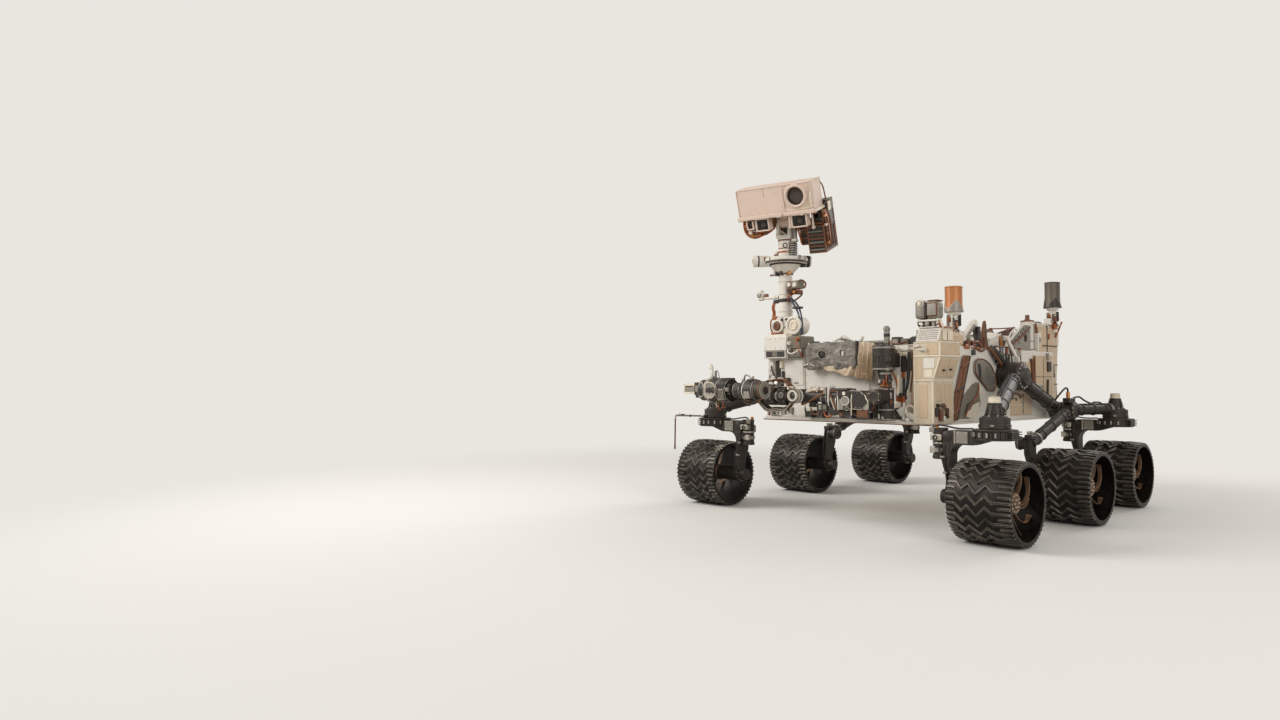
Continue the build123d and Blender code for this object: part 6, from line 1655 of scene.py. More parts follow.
# Struts and brown leads across the cluster, and what hangs below the tube
for start, end, thick, look in (((1.366, 0.086, 0.918), (1.366, 0.142, 0.812), 0.006, BROWN),
        ((1.367, 0.092, 0.890), (1.364, 0.124, 0.806), 0.004, CREAM),
        ((1.366, 0.150, 0.902), (1.366, 0.156, 0.806), 0.004, WHITE)):
    cable(form, [start, Vector(start).lerp(Vector(end), 0.5) + Vector((0.002, 0.003, 0)), end],
        thick, look)
blocks(form, (
    (1.290, -0.040, 0.790, 1.350, 0.060, 0.846, BLACK),
    (1.300, 0.066, 0.772, 1.356, 0.140, 0.822, DARK),
    (1.296, 0.150, 0.748, 1.352, 0.262, 0.790, BLACK),
    (1.330, 0.158, 0.760, 1.360, 0.184, 0.790, COPPER),
    (1.330, -0.020, 0.800, 1.358, 0.006, 0.838, GREY),
    (1.352, 0.020, 0.806, 1.362, 0.050, 0.836, OLIVE),
    (1.300, -0.110, 0.820, 1.346, -0.060, 0.858, DARK),
))
for n in range(7):
    y = -0.12 + n * 0.055
    dip = 0.752 + 0.014 * (n % 3)
    cable(form, [(1.336 + 0.006 * (n % 2), y - 0.03, 0.815), (1.348, y - 0.018, dip + 0.014),
        (1.350, y + 0.012, dip), (1.344, y + 0.045, dip + 0.016), (1.336, y + 0.06, 0.80)],
        0.0055 + 0.0012 * (n % 2), (SLEEVE, BROWN, SLEEVE, AMBER, SLEEVE, BROWN, SLEEVE)[n])
cable(form, [(1.346, 0.250, 0.800), (1.356, 0.285, 0.775), (1.356, 0.330, 0.745),
    (1.350, 0.370, 0.775), (1.345, 0.395, 0.82)], 0.007, SLEEVE)
screws(form, [(1.361, y, z) for y, z in ((-0.03, 0.80), (0.05, 0.80), (-0.03, 0.84), (0.165, 0.755),
    (0.25, 0.755))], (1, 0, 0), 0.0035, BRIGHT)
finish(form, "upper_arm_fittings", body_looks, "arm_upper", "dark_metal")

# Forearm: a shorter tube between the elbow and the wrist, in its own plane ahead of the
# upper arm. The elbow's front is a lens with a white collar, and two motor boxes ride on it.
form = bmesh.new()
elbow = Vector((1.450, -0.172, 0.902))
lathe(form, [(-0.070, 0.052), (-0.012, 0.052), (-0.008, 0.050), (0.0, 0.050)],
    (1.450, -0.183, 0.900), (1, 0, 0), GREY, 36)
lathe(form, band(-0.064, -0.054, 0.0525, 0.0545), (1.450, -0.183, 0.900), (1, 0, 0), WHITE, 36)
lathe(form, band(-0.026, -0.020, 0.0525, 0.0540), (1.450, -0.183, 0.900), (1, 0, 0), CREAM, 36)
lathe(form, [(-0.004, 0.040), (0.006, 0.042), (0.014, 0.041), (0.018, 0.037), (0.018, 0.032),
    (0.008, 0.028), (-0.002, 0.027)], elbow, (1, 0, 0), WHITE, 36)
lathe(form, [(0.008, 0.0285), (-0.002, 0.0270), (-0.002, 0.0)], elbow, (1, 0, 0), BLACK, 32)
lathe(form, [(-0.001, 0.019), (0.004, 0.012), (0.005, 0.0)], elbow, (1, 0, 0), GLASS, 28)
screws(form, [elbow + Vector((0.0175, 0.0345 * sin(a), 0.0345 * cos(a)))
    for a in (n * pi / 4 + 0.3 for n in range(8))], (1, 0, 0), 0.0026, BRIGHT)
fore_x = 1.411
for y, wide, look in ((-0.242, 0.006, GREY), (-0.320, 0.008, GREY), (-0.334, 0.006, WHITE),
        (-0.346, 0.006, BLACK), (-0.450, 0.008, GREY), (-0.470, 0.016, BLACK),
        (-0.500, 0.006, BRIGHT)):
    lathe(form, band(0, wide, 0.034, 0.0385), (fore_x, y, 0.900), (0, -1, 0), look, 28)
# Motor boxes: cover plates, ribs, connectors
for y0, y1 in ((-0.314, -0.244), (-0.443, -0.351)):
    blocks(form, ((1.4480, y0 + 0.010, 0.856, 1.4535, y1 - 0.010, 0.944, DARK),
        (1.376, y0 + 0.008, 0.9665, 1.440, y1 - 0.008, 0.9710, GREY),
        (1.366, y0 - 0.0035, 0.850, 1.446, y0 + 0.002, 0.950, GREY)), 0.003)
    screws(form, [(1.4515, y, z) for y in (y0 + 0.014, y1 - 0.014) for z in (0.862, 0.938)],
        (1, 0, 0), 0.0032, BRIGHT)
for n in range(5):
    slab(form, (1.4520, -0.435 + n * 0.016, 0.868), (1.4570, -0.427 + n * 0.016, 0.932), GREY
        if n % 2 else BLACK, 0.002)
lathe(form, [(0, 0.024), (0.006, 0.023), (0.008, 0.018), (0.004, 0.015), (0.004, 0.0)],
    (1.4530, -0.279, 0.905), (1, 0, 0), GREY, 28)
# Cream clamps, white cone and cables over the top; a drooping harness below
blocks(form, (
    (1.380, -0.352, 0.960, 1.442, -0.318, 1.010, CREAM),
    (1.392, -0.330, 1.000, 1.430, -0.300, 1.036, WHITE),
    (1.372, -0.262, 0.966, 1.440, -0.238, 0.992, WHITE),
    (1.384, -0.300, 0.970, 1.424, -0.268, 0.986, BLACK),
    (1.376, -0.420, 0.968, 1.436, -0.376, 1.000, DARK),
    (1.390, -0.470, 0.930, 1.440, -0.448, 0.966, BRIGHT),
    (1.400, -0.232, 0.946, 1.446, -0.200, 0.972, CREAM),
    (1.376, -0.540, 0.934, 1.430, -0.500, 0.960, BLACK),
))
lathe(form, [(0, 0.034), (0.012, 0.032), (0.050, 0.012), (0.058, 0.010), (0.060, 0)],
    (1.412, -0.386, 0.990), (0.15, 0.2, 1), WHITE, 24)
lathe(form, [(0, 0.018), (0.006, 0.020), (0.020, 0.020), (0.024, 0.014), (0.024, 0)],
    (1.440, -0.322, 0.985), (1, 0, 0.1), BRIGHT, 22)
for n, look in enumerate((SLEEVE, AMBER, BROWN, GREY, SLEEVE, BROWN)):
    x, lift = 1.380 + 0.012 * n, 0.012 * (n % 3)
    cable(form, [(x, -0.200, 0.946), (x + 0.004, -0.240, 0.990 + lift), (x, -0.300, 1.000 + lift),
        (x + 0.005, -0.360, 0.990 + lift), (x, -0.420, 1.000 + lift * 0.5), (x, -0.480, 0.970),
        (x, -0.530, 0.945)], 0.0065 + 0.001 * (n % 2), look)
for n, look in enumerate((BROWN, GREY, AMBER, SLEEVE, CREAM, BRIGHT)):
    x, low = 1.382 + 0.011 * n, 0.806 - 0.010 * (n % 3)
    cable(form, [(x, -0.200, 0.858), (x, -0.235, low + 0.020), (x + 0.004, -0.290, low),
        (x, -0.350, low + 0.010), (x + 0.003, -0.420, low - 0.004), (x, -0.470, low + 0.030),
        (x, -0.520, 0.866)], 0.0055 + 0.0015 * (n % 2), look)
for y, z, look in ((-0.330, 0.785, BRIGHT), (-0.300, 0.778, WHITE), (-0.268, 0.784, BRIGHT),
        (-0.235, 0.790, WHITE), (-0.375, 0.782, GREY), (-0.205, 0.800, GREY)):
    slab(form, (1.400, y - 0.009, z - 0.022), (1.440, y + 0.009, z + 0.016), look, 0.004)
cable(form, [(1.430, -0.260, 0.800), (1.438, -0.246, 0.788), (1.436, -0.226, 0.782),
    (1.430, -0.212, 0.796)], 0.005, GREY)
slab(form, (1.418, -0.244, 0.790), (1.440, -0.220, 0.806), BLACK, 0.004)
lathe(form, [(-0.002, 0.040), (0.004, 0.042), (0.008, 0.034), (0.010, 0.0)],
    (1.3665, -0.568, 0.900), (-1, 0, 0), DARK, 28)
finish(form, "forearm_fittings", body_looks, "arm_forearm", "dark_metal")

# Wrist: a short barrel and a bolted saddle that the turret's shaft turns in.
form = bmesh.new()
tx, tz = 1.5725, 0.940
for y in (-0.5395, -0.5965):
    lathe(form, band(0, 0.006, 0.050, 0.0565), (tx, y + 0.003, tz), (0, -1, 0), GREY, 36)
lathe(form, band(0, 0.020, 0.050, 0.0555), (tx, -0.558, tz), (0, -1, 0), BLACK, 36)
for n in range(14):
    a = 2 * pi * n / 14
    slab(form, (0.053, -0.026, -0.003), (0.0575, 0.026, 0.003), DARK, 0.001,
        Matrix.Translation((tx, -0.568, tz)) @ Matrix.Rotation(a, 4, "Y"))
blocks(form, ((1.458, -0.604, 0.976, 1.500, -0.532, 0.990, GREY),
    (1.500, -0.590, 0.984, 1.540, -0.546, 1.004, BLACK),
    (1.470, -0.592, 0.868, 1.520, -0.544, 0.898, DARK)))
cable(form, [(1.468, -0.540, 0.985), (1.490, -0.530, 1.010), (1.530, -0.535, 1.012),
    (1.560, -0.545, 0.998)], 0.006, SLEEVE)
# Curved grey rod with silver fittings, which stands over the drums
cable(form, [(1.540, -0.560, 1.000), (1.552, -0.540, 1.060), (1.560, -0.500, 1.050),
    (1.562, -0.450, 1.030)], 0.006, GREY)
slab(form, (1.552, -0.474, 1.022), (1.572, -0.444, 1.046), BRIGHT, 0.004)
slab(form, (1.530, -0.572, 1.004), (1.552, -0.550, 1.030), BRIGHT, 0.004)
bolt_circle(form, (tx, -0.535, tz), 0.0455, 8, (0, 1, 0), 0.0035, BRIGHT)
finish(form, "wrist_fittings", body_looks, "arm_wrist", "dark_metal")

# Turret: a row of instruments round one shaft. Black anodised drums alternate with grey
# housings. One carries a pale round cover, and the end box has a bright outline.
form = bmesh.new()
turret_rings = (
    # y, how wide, radius, look
    (-0.866, 0.006, 0.0820, WHITE), (-0.880, 0.010, 0.0815, BLACK), (-0.930, 0.005, 0.0820, GREY),
    (-0.738, 0.006, 0.0940, GREY), (-0.750, 0.016, 0.0935, BLACK), (-0.790, 0.020, 0.0932, BLACK),
        (-0.838, 0.008, 0.0945, CREAM), (-0.850, 0.012, 0.0940, GREY),
        (-0.862, 0.004, 0.0945, GREY),
    (-0.648, 0.006, 0.0860, GREY), (-0.662, 0.012, 0.0855, DARK), (-0.690, 0.014, 0.0855, BLACK),
        (-0.726, 0.006, 0.0865, GREY),
    (-0.395, 0.006, 0.0800, GREY), (-0.410, 0.010, 0.0795, BLACK), (-0.440, 0.014, 0.0795, DARK),
        (-0.482, 0.007, 0.0805, WHITE),
    (-0.330, 0.006, 0.0680, DARK), (-0.340, 0.012, 0.0675, BROWN), (-0.362, 0.010, 0.0675, DARK),
        (-0.388, 0.006, 0.0685, GREY),
)
for y, wide, radius, look in turret_rings:
    lathe(form, [(0, radius - 0.010), (0, radius - 0.001), (0.001, radius), (wide - 0.001, radius),
        (wide, radius - 0.001), (wide, radius - 0.010)], (tx, y, tz), (0, -1, 0), look, 44)
# The pale cover on the drums' face towards +Y, and recessed faces on the others
lathe(form, [(0, 0.092), (0.002, 0.091), (0.003, 0.080), (0.001, 0.076), (0.002, 0.040),
    (0.001, 0.036)], (tx, -0.738, tz), (0, 1, 0), GREY, 44)
for y, toward, radius, middle in ((-0.394, 1, 0.077, BLACK), (-0.3295, 1, 0.065, GREY),
        (-0.934, -1, 0.079, BLACK)):
    lathe(form, [(0, radius), (0.003, radius - 0.002), (0.003, radius - 0.008),
        (0.0, radius - 0.010), (0.001, 0.024)], (tx, y, tz), (0, toward, 0), middle, 40)
    bolt_circle(form, (tx, y + toward * 0.002, tz), radius - 0.005, 12, (0, toward, 0), 0.0032,
        BRIGHT)
lathe(form, [(0, 0.030), (0.006, 0.030), (0.008, 0.026), (0.008, 0.0)], (tx, -0.331, tz), (0, 1, 0),
    DARK, 28)
# Large pale disc on the front of the second drum, with an opening to its left
lathe(form, [(-0.030, 0.062), (0.004, 0.062), (0.007, 0.058), (0.004, 0.052), (0.005, 0.0)],
    (tx + 0.0855, -0.800, tz), (1, 0, 0), GREY, 44)
lathe(form, [(0.002, 0.0635), (0.008, 0.0625), (0.008, 0.0585), (0.003, 0.058)],
    (tx + 0.0835, -0.800, tz), (1, 0, 0), CREAM, 44)
bolt_circle(form, (tx + 0.0905, -0.800, tz), 0.054, 12, (1, 0, 0), 0.003, BRIGHT)
for z, radius in ((0.974, 0.021), (0.914, 0.024)):
    lathe(form, [(-0.02, radius + 0.006), (0.004, radius + 0.005), (0.006, radius + 0.001),
        (-0.004, radius - 0.002), (-0.005, 0)], (tx + 0.066, -0.905, z), (1, -0.15, 0), BLACK, 28)
    lathe(form, [(0.003, radius + 0.0055), (0.0065, radius + 0.004), (0.0065, radius + 0.001),
        (0.003, radius)], (tx + 0.066, -0.905, z), (1, -0.15, 0), CREAM, 28)
# Grey housing astride the third drum, with ribs
blocks(form, (
    (1.540, -0.716, 0.866, 1.6620, -0.664, 0.950, GREY),
    (1.600, -0.730, 0.952, 1.6580, -0.652, 0.990, BLACK),
    (1.520, -0.720, 1.014, 1.610, -0.660, 1.034, DARK),
    (1.530, -0.640, 0.905, 1.640, -0.612, 0.985, BLACK),
    (1.610, -0.646, 0.930, 1.656, -0.620, 0.960, GREY),
    (1.590, -0.518, 0.900, 1.650, -0.490, 0.985, BLACK),
    (1.600, -0.470, 0.880, 1.6520, -0.412, 0.935, GREY),
    (1.560, -0.462, 1.004, 1.620, -0.408, 1.024, DARK),
))
for n in range(5):
    slab(form, (1.6595, -0.712 + n * 0.010, 0.874), (1.6640, -0.708 + n * 0.010, 0.944), DARK,
        0.001)
for y in (-0.800, -0.690, -0.440):
    screws(form, [(tx + 0.089 * sin(a), y, tz + 0.089 * cos(a))
        for a in (radians(d) for d in (10, 30, 50, 130, 150))], (0.7, 0, 0.7), 0.003, BRIGHT)
# End box: grey cover with a bright rim and two dark slots
box_y0, box_y1, box_z0, box_z1 = -1.120, -1.005, 0.914, 0.986
blocks(form, (
    (1.6100, box_y0 + 0.004, box_z0 + 0.004, 1.6145, box_y1, box_z1 - 0.016, GREY),
    (1.5240, box_y0 + 0.004, box_z1 - 0.001, 1.6100, box_y1, box_z1 + 0.003, GREY),
    (1.6110, box_y0, box_z1 - 0.014, 1.6170, box_y1 + 0.004, box_z1 + 0.002, CREAM),
    (1.6110, box_y0 - 0.0, box_z0 - 0.002, 1.6170, box_y1 + 0.004, box_z0 + 0.008, CREAM),
    (1.6110, box_y0 - 0.0, box_z0, 1.6170, box_y0 + 0.008, box_z1, CREAM),
    (1.6120, box_y0 + 0.020, box_z1 - 0.024, 1.6160, box_y1 - 0.020, box_z1 - 0.016, BLACK),
    (1.5300, -1.002, 0.900, 1.6200, -0.940, 1.000, BLACK),
    (1.6180, -0.990, 0.925, 1.6240, -0.960, 0.975, GREY),
    (1.5600, -0.998, 0.880, 1.6100, -0.945, 0.902, DARK),
), 0.003)
screws(form, [(1.6130, y, z) for y in (-1.108, -1.018) for z in (0.926, 0.960)], (1, 0, 0), 0.003,
    BRIGHT)
# Thin white device on top, and small amber hooks below
blocks(form, (
    (1.560, -0.862, 1.026, 1.590, -0.836, 1.052, BRIGHT),
    (1.566, -0.858, 1.050, 1.584, -0.842, 1.130, WHITE),
    (1.560, -0.826, 1.028, 1.580, -0.812, 1.090, GREY),
    (1.562, -0.874, 1.100, 1.588, -0.850, 1.128, WHITE),
))
lathe(form, [(0, 0.013), (0.020, 0.013), (0.026, 0.008), (0.026, 0)], (1.575, -0.864, 1.118),
    (0, 0, 1), WHITE, 18)
cable(form, [(1.570, -0.820, 1.08), (1.575, -0.800, 1.10), (1.580, -0.780, 1.07),
    (1.580, -0.770, 1.03)], 0.004, GREY)
for y, drop in ((-0.770, 0.03), (-0.745, 0.055), (-0.700, 0.04)):
    cable(form, [(1.610, y, 0.862), (1.628, y + 0.004, 0.850), (1.626, y + 0.010, 0.850 - drop),
        (1.612, y + 0.016, 0.845 - drop), (1.604, y + 0.012, 0.856 - drop)], 0.0035, AMBER
        if drop > 0.03 else CREAM)
for y0, y1, z, look in ((-0.890, -0.760, 1.030, SLEEVE), (-0.760, -0.640, 1.024, SLEEVE),
        (-0.520, -0.400, 1.018, BROWN)):
    cable(form, [(1.56, y0, z - 0.016), (1.57, y0 + 0.02, z), (1.565, (y0 + y1) / 2, z + 0.004),
        (1.57, y1 - 0.02, z), (1.56, y1, z - 0.016)], 0.006, look)
for n, look in enumerate((AMBER, BROWN, SLEEVE)):
    x = 1.596 + n * 0.012
    cable(form, [(x, -0.500, 0.872), (x + 0.006, -0.480, 0.846), (x, -0.430, 0.836),
        (x + 0.004, -0.380, 0.850), (x, -0.345, 0.880)], 0.0055, look)
finish(form, "turret_instruments", body_looks, "arm_turret", "dark_metal")

# Deck camera: two bead-blasted housings on a white bracket, one narrow with a round eye near
# its top, one broad with a hooded front. The seams between their castings are dark.
def rounded(form, low, high, radius, look, place=None):
    """Adds a box with soft corners to form."""
    low, high = Vector(low), Vector(high)
    where = Matrix.Translation((low + high) / 2) @ Matrix.Diagonal(
        (*(abs(a) for a in high - low), 1))
    fresh = bmesh.ops.create_cube(form, size=1, matrix=where)["verts"]
    if place is not None:
        bmesh.ops.transform(form, matrix=place, verts=fresh)
    edges = list({e for v in fresh for e in v.link_edges})
    radius = min(radius, 0.45 * min(abs(a) for a in high - low))
    made = bmesh.ops.bevel(form, geom=edges, offset=radius, segments=5, affect="EDGES", profile=0.5)
    for face in {f for v in made["verts"] for f in v.link_faces}:
        face.material_index = look
        face.smooth = True


def plate(form, outline, y, thick, look, edge=0.002):
    """Adds a flat plate that stands across Y: outline is (x, z) pairs."""
    back = [form.verts.new((x, y, z)) for x, z in outline]
    fore = [form.verts.new((x, y + thick, z)) for x, z in outline]
    sides = [form.faces.new((back[n], back[(n + 1) % len(back)], fore[(n + 1) % len(back)],
        fore[n])) for n in range(len(back))]
    faces = sides + [form.faces.new(back), form.faces.new(reversed(fore))]
    bmesh.ops.recalc_face_normals(form, faces=faces)
    edges = list({e for f in faces[-2:] for e in f.edges})
    made = bmesh.ops.bevel(form, geom=edges, offset=edge, segments=1, affect="EDGES")
    for face in {f for v in made["verts"] for f in v.link_faces}:
        face.material_index = look


form = bmesh.new()
rounded(form, (0.978, 0.573, 1.428), (1.074, 0.648, 1.560), 0.026, GREY)
rounded(form, (0.986, 0.584, 1.500), (1.080, 0.640, 1.565), 0.024, CREAM)
rounded(form, (0.978, 0.656, 1.424), (1.072, 0.747, 1.552), 0.030, GREY)
rounded(form, (1.058, 0.666, 1.442), (1.079, 0.741, 1.536), 0.010, COPPER)
rounded(form, (1.070, 0.672, 1.449), (1.0825, 0.735, 1.529), 0.004, GREY)
slab(form, (0.990, 0.646, 1.430), (1.066, 0.659, 1.540), BLACK, 0.004)
slab(form, (0.984, 0.664, 1.548), (1.060, 0.740, 1.556), COPPER, 0.003)
lathe(form, [(0, 0.022), (0.008, 0.021), (0.010, 0.017), (0.003, 0.015), (0.003, 0)],
    (1.072, 0.612, 1.534), (1, 0, 0.1), GREY, 28)
lathe(form, [(0.0035, 0.0148), (0.007, 0.009), (0.008, 0)], (1.072, 0.612, 1.534), (1, 0, 0.1),
    GLASS, 24)
lathe(form, [(0, 0.026), (0.005, 0.025), (0.006, 0.020), (0.002, 0.018), (0.002, 0)],
    (1.030, 0.7455, 1.490), (0, 1, 0), GREY, 28)
screws(form, [(1.082, y, z) for y in (0.680, 0.727) for z in (1.456, 1.522)], (1, 0, 0), 0.003,
    BRIGHT)
screws(form, [(1.0735, y, 1.450) for y in (0.590, 0.632)], (1, 0, 0), 0.003, BRIGHT)
# Stand: tilt motor, struts and cables between the housings and the corner block
blocks(form, (
    (1.000, 0.600, 1.366, 1.070, 0.720, 1.376, WHITE),
    (0.996, 0.588, 1.410, 1.070, 0.740, 1.424, WHITE),
    (1.014, 0.610, 1.374, 1.060, 0.634, 1.414, BLACK),
    (1.010, 0.650, 1.374, 1.066, 0.680, 1.414, DARK),
    (1.020, 0.690, 1.374, 1.056, 0.712, 1.414, GREY),
    (1.030, 0.726, 1.392, 1.060, 0.744, 1.430, WHITE),
    (0.985, 0.724, 1.360, 1.020, 0.742, 1.404, WHITE),
))
drums(form, (((1.030, 0.580, 1.398), (0, 1, 0), 0.160, 0.014, BRIGHT),
    ((1.052, 0.664, 1.394), (1, 0, 0), 0.022, 0.016, GREY),
    ((1.052, 0.622, 1.394), (1, 0, 0), 0.018, 0.012, WHITE)))
cable(form, [(1.050, 0.600, 1.42), (1.070, 0.596, 1.40), (1.066, 0.604, 1.38),
    (1.050, 0.612, 1.366)], 0.005, SLEEVE)
cable(form, [(1.046, 0.735, 1.42), (1.062, 0.752, 1.40), (1.050, 0.756, 1.37),
    (1.020, 0.752, 1.352)], 0.006, AMBER)
finish(form, "deck_camera_housings", body_looks, "chassis", "grey_metal", ("deck_camera",))

# Antenna cans: thin spun cylinders over a helix. The front one is copper-toned with three
# pointed grey petals, the rear one dark grey with a flared foot. Clamps hold their necks.
copper_film = coated("copper-toned anodised aluminium", "#B57647", "#D9A473", "#A0703F",
    metallic=0.35, roughness=0.42, dusty=0.35, edge=0.5)
slate_tube = coated("dark grey anodised aluminium", "#5B544B", "#8E8474", "#8B6A4C", metallic=0.4,
    roughness=0.48, dusty=0.35, edge=0.5)
can_looks = (copper_film, slate_tube, dark_metal, white_paint, amber_film, grey_metal, steel,
    black_gear)
for name, x, y, z0, z1, top, radius, tone in (
        ("front", 0.608, 0.618, 1.362, 1.505, 1.688, 0.0640, 0),
        ("rear", -1.330, 0.530, 1.500, 1.660, 1.886, 0.0720, 1)):
    form = bmesh.new()
    flare = 0.004 if tone == 0 else 0.010
    wall = [(0, 0.030), (0.002, radius), (0.012, radius), (0.050, radius - flare),
        (top - z1 - 0.012, radius - flare), (top - z1 - 0.010, radius - flare + 0.002),
        (top - z1 - 0.003, radius - flare + 0.002), (top - z1, radius - flare - 0.002),
        (top - z1, radius - 0.016), (top - z1 - 0.006, radius - 0.018), (top - z1 - 0.006, 0)]
    lathe(form, wall, (x, y, z1), (0, 0, 1), tone, 48)
    # Pointed petals round the foot
    steps = 72
    rows = [[], [], [], []]
    for n in range(steps):
        a = 2 * pi * n / steps
        rise = 0.020 + 0.066 * max(0, 1 - abs(((a * 3 / (2 * pi) + 0.12) % 1) - 0.5) * 2.2)
        for line, reach, z in ((rows[0], radius + 0.0002, z1 - 0.002),
                (rows[1], radius + 0.0025, z1), (rows[2],
                radius + 0.0015 - flare * min(1, rise / 0.05), z1 + rise),
                (rows[3], radius - 0.003 - flare, z1 + rise + 0.001)):
            line.append(form.verts.new((x + reach * cos(a), y + reach * sin(a), z)))
    for one, two in zip(rows, rows[1:]):
        for n in range(steps):
            m = (n + 1) % steps
            face = form.faces.new((one[n], one[m], two[m], two[n]))
            face.material_index = 5 if tone == 0 else 2
            face.smooth = True
    lathe(form, [(0, 0.038), (0.004, 0.042), (0.010, 0.042), (0.014, 0.030),
        (z1 - z0 - 0.030, 0.0295), (z1 - z0 - 0.022, 0.044), (z1 - z0 - 0.004, 0.052),
        (z1 - z0, 0.058)], (x, y, z0), (0, 0, 1), 3, 32)
    for up, tall, look in ((0.030, 0.010, 6), (0.070, 0.012, 7), (0.094, 0.008, 6)):
        lathe(form, band(0, tall, 0.028, 0.034), (x, y, z0 + up), (0, 0, 1), look, 28)
    for angle, low, high, wide, look in ((-60, 0.030, 0.120, 0.016, 5),
            (10, 0.050, 0.130, 0.012, 3), (50, 0.020, 0.070, 0.020, 4),
            (110, 0.040, 0.125, 0.014, 7), (170, 0.030, 0.110, 0.018, 5),
            (240, 0.020, 0.090, 0.016, 4), (-25, 0.074, 0.104, 0.016, 4)):
        slab(form, (0.028, -wide / 2, low), (0.050, wide / 2, high), look, 0.004,
            Matrix.Translation((x, y, z0)) @ Matrix.Rotation(radians(angle), 4, "Z"))
    for angle, look in ((20, 4), (75, 3), (150, 4), (300, 5)):
        slab(form, (0.040, -0.010, -0.004), (0.086, 0.010, 0.004), look, 0.003,
            Matrix.Translation((x, y, z0 + 0.040)) @ Matrix.Rotation(radians(angle), 4,
            "Z") @ Matrix.Rotation(radians(32), 4, "Y"))
    bolt_circle(form, (x, y, z0 + 0.0125), 0.039, 8, (0, 0, 1), 0.0035, 6)
    cable(form, [(x + 0.03, y + 0.01, z0 + 0.10), (x + 0.052, y + 0.03, z0 + 0.08),
        (x + 0.050, y + 0.04, z0 + 0.03), (x + 0.030, y + 0.050, z0 + 0.004)], 0.005, 7)
    finish(form, "antenna_can_shape_" + name, can_looks, "chassis", "grey_metal",
        ("antenna_can_" + name,))

# Deck edge: a rounded beige instrument cover, a white-painted link with a ball joint, a dark
# blade, a sloping white panel with a yellow tab, and small orange-taped connectors.
form = bmesh.new()
rounded(form, (0.560, 0.520, 1.240), (0.860, 0.680, 1.362), 0.040, BEIGE)
slab(form, (0.552, 0.514, 1.249), (0.868, 0.686, 1.258), CREAM, 0.003)
slab(form, (0.600, 0.676, 1.272), (0.700, 0.6835, 1.330), BEIGE, 0.003)
slab(form, (0.724, 0.676, 1.272), (0.830, 0.6835, 1.330), BEIGE, 0.003)
screws(form, [(x, 0.6840, z) for x in (0.607, 0.693, 0.731, 0.823) for z in (1.279, 1.323)],
    (0, 1, 0), 0.003, BRIGHT)
screws(form, along((0.565, 0.684, 1.258), (0.855, 0.684, 1.258), 9), (0, 0, 1), 0.0032, BRIGHT)
cable(form, [(0.860, 0.640, 1.30), (0.880, 0.660, 1.33), (0.874, 0.672, 1.37),
    (0.840, 0.664, 1.388), (0.760, 0.655, 1.380), (0.690, 0.64, 1.385), (0.650, 0.63, 1.372)],
    0.008, AMBER)
finish(form, "deck_instrument_cover", body_looks, "chassis", "beige_panel", ("deck_instrument",))

form = bmesh.new()
link_a, link_b = Vector((0.530, 0.640, 1.304)), Vector((0.372, 0.640, 1.432))
run = (link_b - link_a).normalized()
length = (link_b - link_a).length
capsule = [(-0.020, 0), (-0.018, 0.012), (-0.008, 0.022), (0.004, 0.026), (length * 0.3, 0.023),
    (length * 0.6, 0.025), (length - 0.012, 0.0265), (length + 0.004, 0.023),
    (length + 0.016, 0.014), (length + 0.020, 0)]
lathe(form, capsule, link_a, run, WHITE, 28)
tilt = Matrix.Translation((link_a + link_b) / 2 + Vector((0, 0.022, 0))) @ Matrix.Rotation(
    Vector((run.x, run.z)).angle_signed(Vector((1, 0))) * -1, 4, "Y")
rounded(form, (-0.086, -0.004, -0.013), (0.086, 0.006, 0.013), 0.0045, GREY, tilt)
lathe(form, [(0, 0.030), (0.010, 0.029), (0.012, 0.020), (0.014, 0)], (0.372, 0.655, 1.432),
    (0, 1, 0), WHITE, 28)
lathe(form, [(-0.018, 0), (-0.014, 0.010), (0, 0.017), (0.014, 0.011), (0.018, 0)],
    (0.482, 0.684, 1.310), (0, 1, 0), WHITE, 22)
blocks(form, (
    (0.490, 0.610, 1.250, 0.556, 0.676, 1.292, DARK),
    (0.500, 0.662, 1.262, 0.545, 0.690, 1.300, COPPER),
    (0.436, 0.650, 1.270, 0.470, 0.686, 1.306, DARK),
    (0.360, 0.660, 1.244, 0.600, 0.700, 1.258, AMBER),
    (0.420, 0.640, 1.256, 0.470, 0.690, 1.276, COPPER),
    (0.335, 0.640, 1.252, 0.372, 0.684, 1.410, BLACK),
    (0.380, 0.646, 1.370, 0.396, 0.668, 1.420, DARK),
    (0.560, 0.688, 1.236, 0.610, 0.708, 1.268, AMBER),
    (0.470, 0.690, 1.196, 0.520, 0.712, 1.240, BLACK),
))
lathe(form, band(0, 0.007, 0.010, 0.017), (0.525, 0.700, 1.246), (0, 1, 0), WHITE, 24)
plate(form, [(0.210, 1.252), (0.318, 1.252), (0.304, 1.330), (0.288, 1.400), (0.268, 1.452),
    (0.246, 1.458), (0.238, 1.400), (0.226, 1.320)], 0.664, 0.018, BROWN, 0.004)
plate(form, [(0.238, 1.262), (0.262, 1.262), (0.262, 1.420), (0.252, 1.440), (0.244, 1.400)], 0.681,
    0.004, DARK, 0.001)
cable(form, [(0.46, 0.695, 1.25), (0.40, 0.715, 1.225), (0.34, 0.712, 1.235), (0.30, 0.700, 1.275),
    (0.29, 0.690, 1.33)], 0.009, BROWN)
cable(form, [(0.50, 0.700, 1.285), (0.45, 0.712, 1.300), (0.40, 0.705, 1.28), (0.35, 0.700, 1.26)],
    0.006, AMBER)
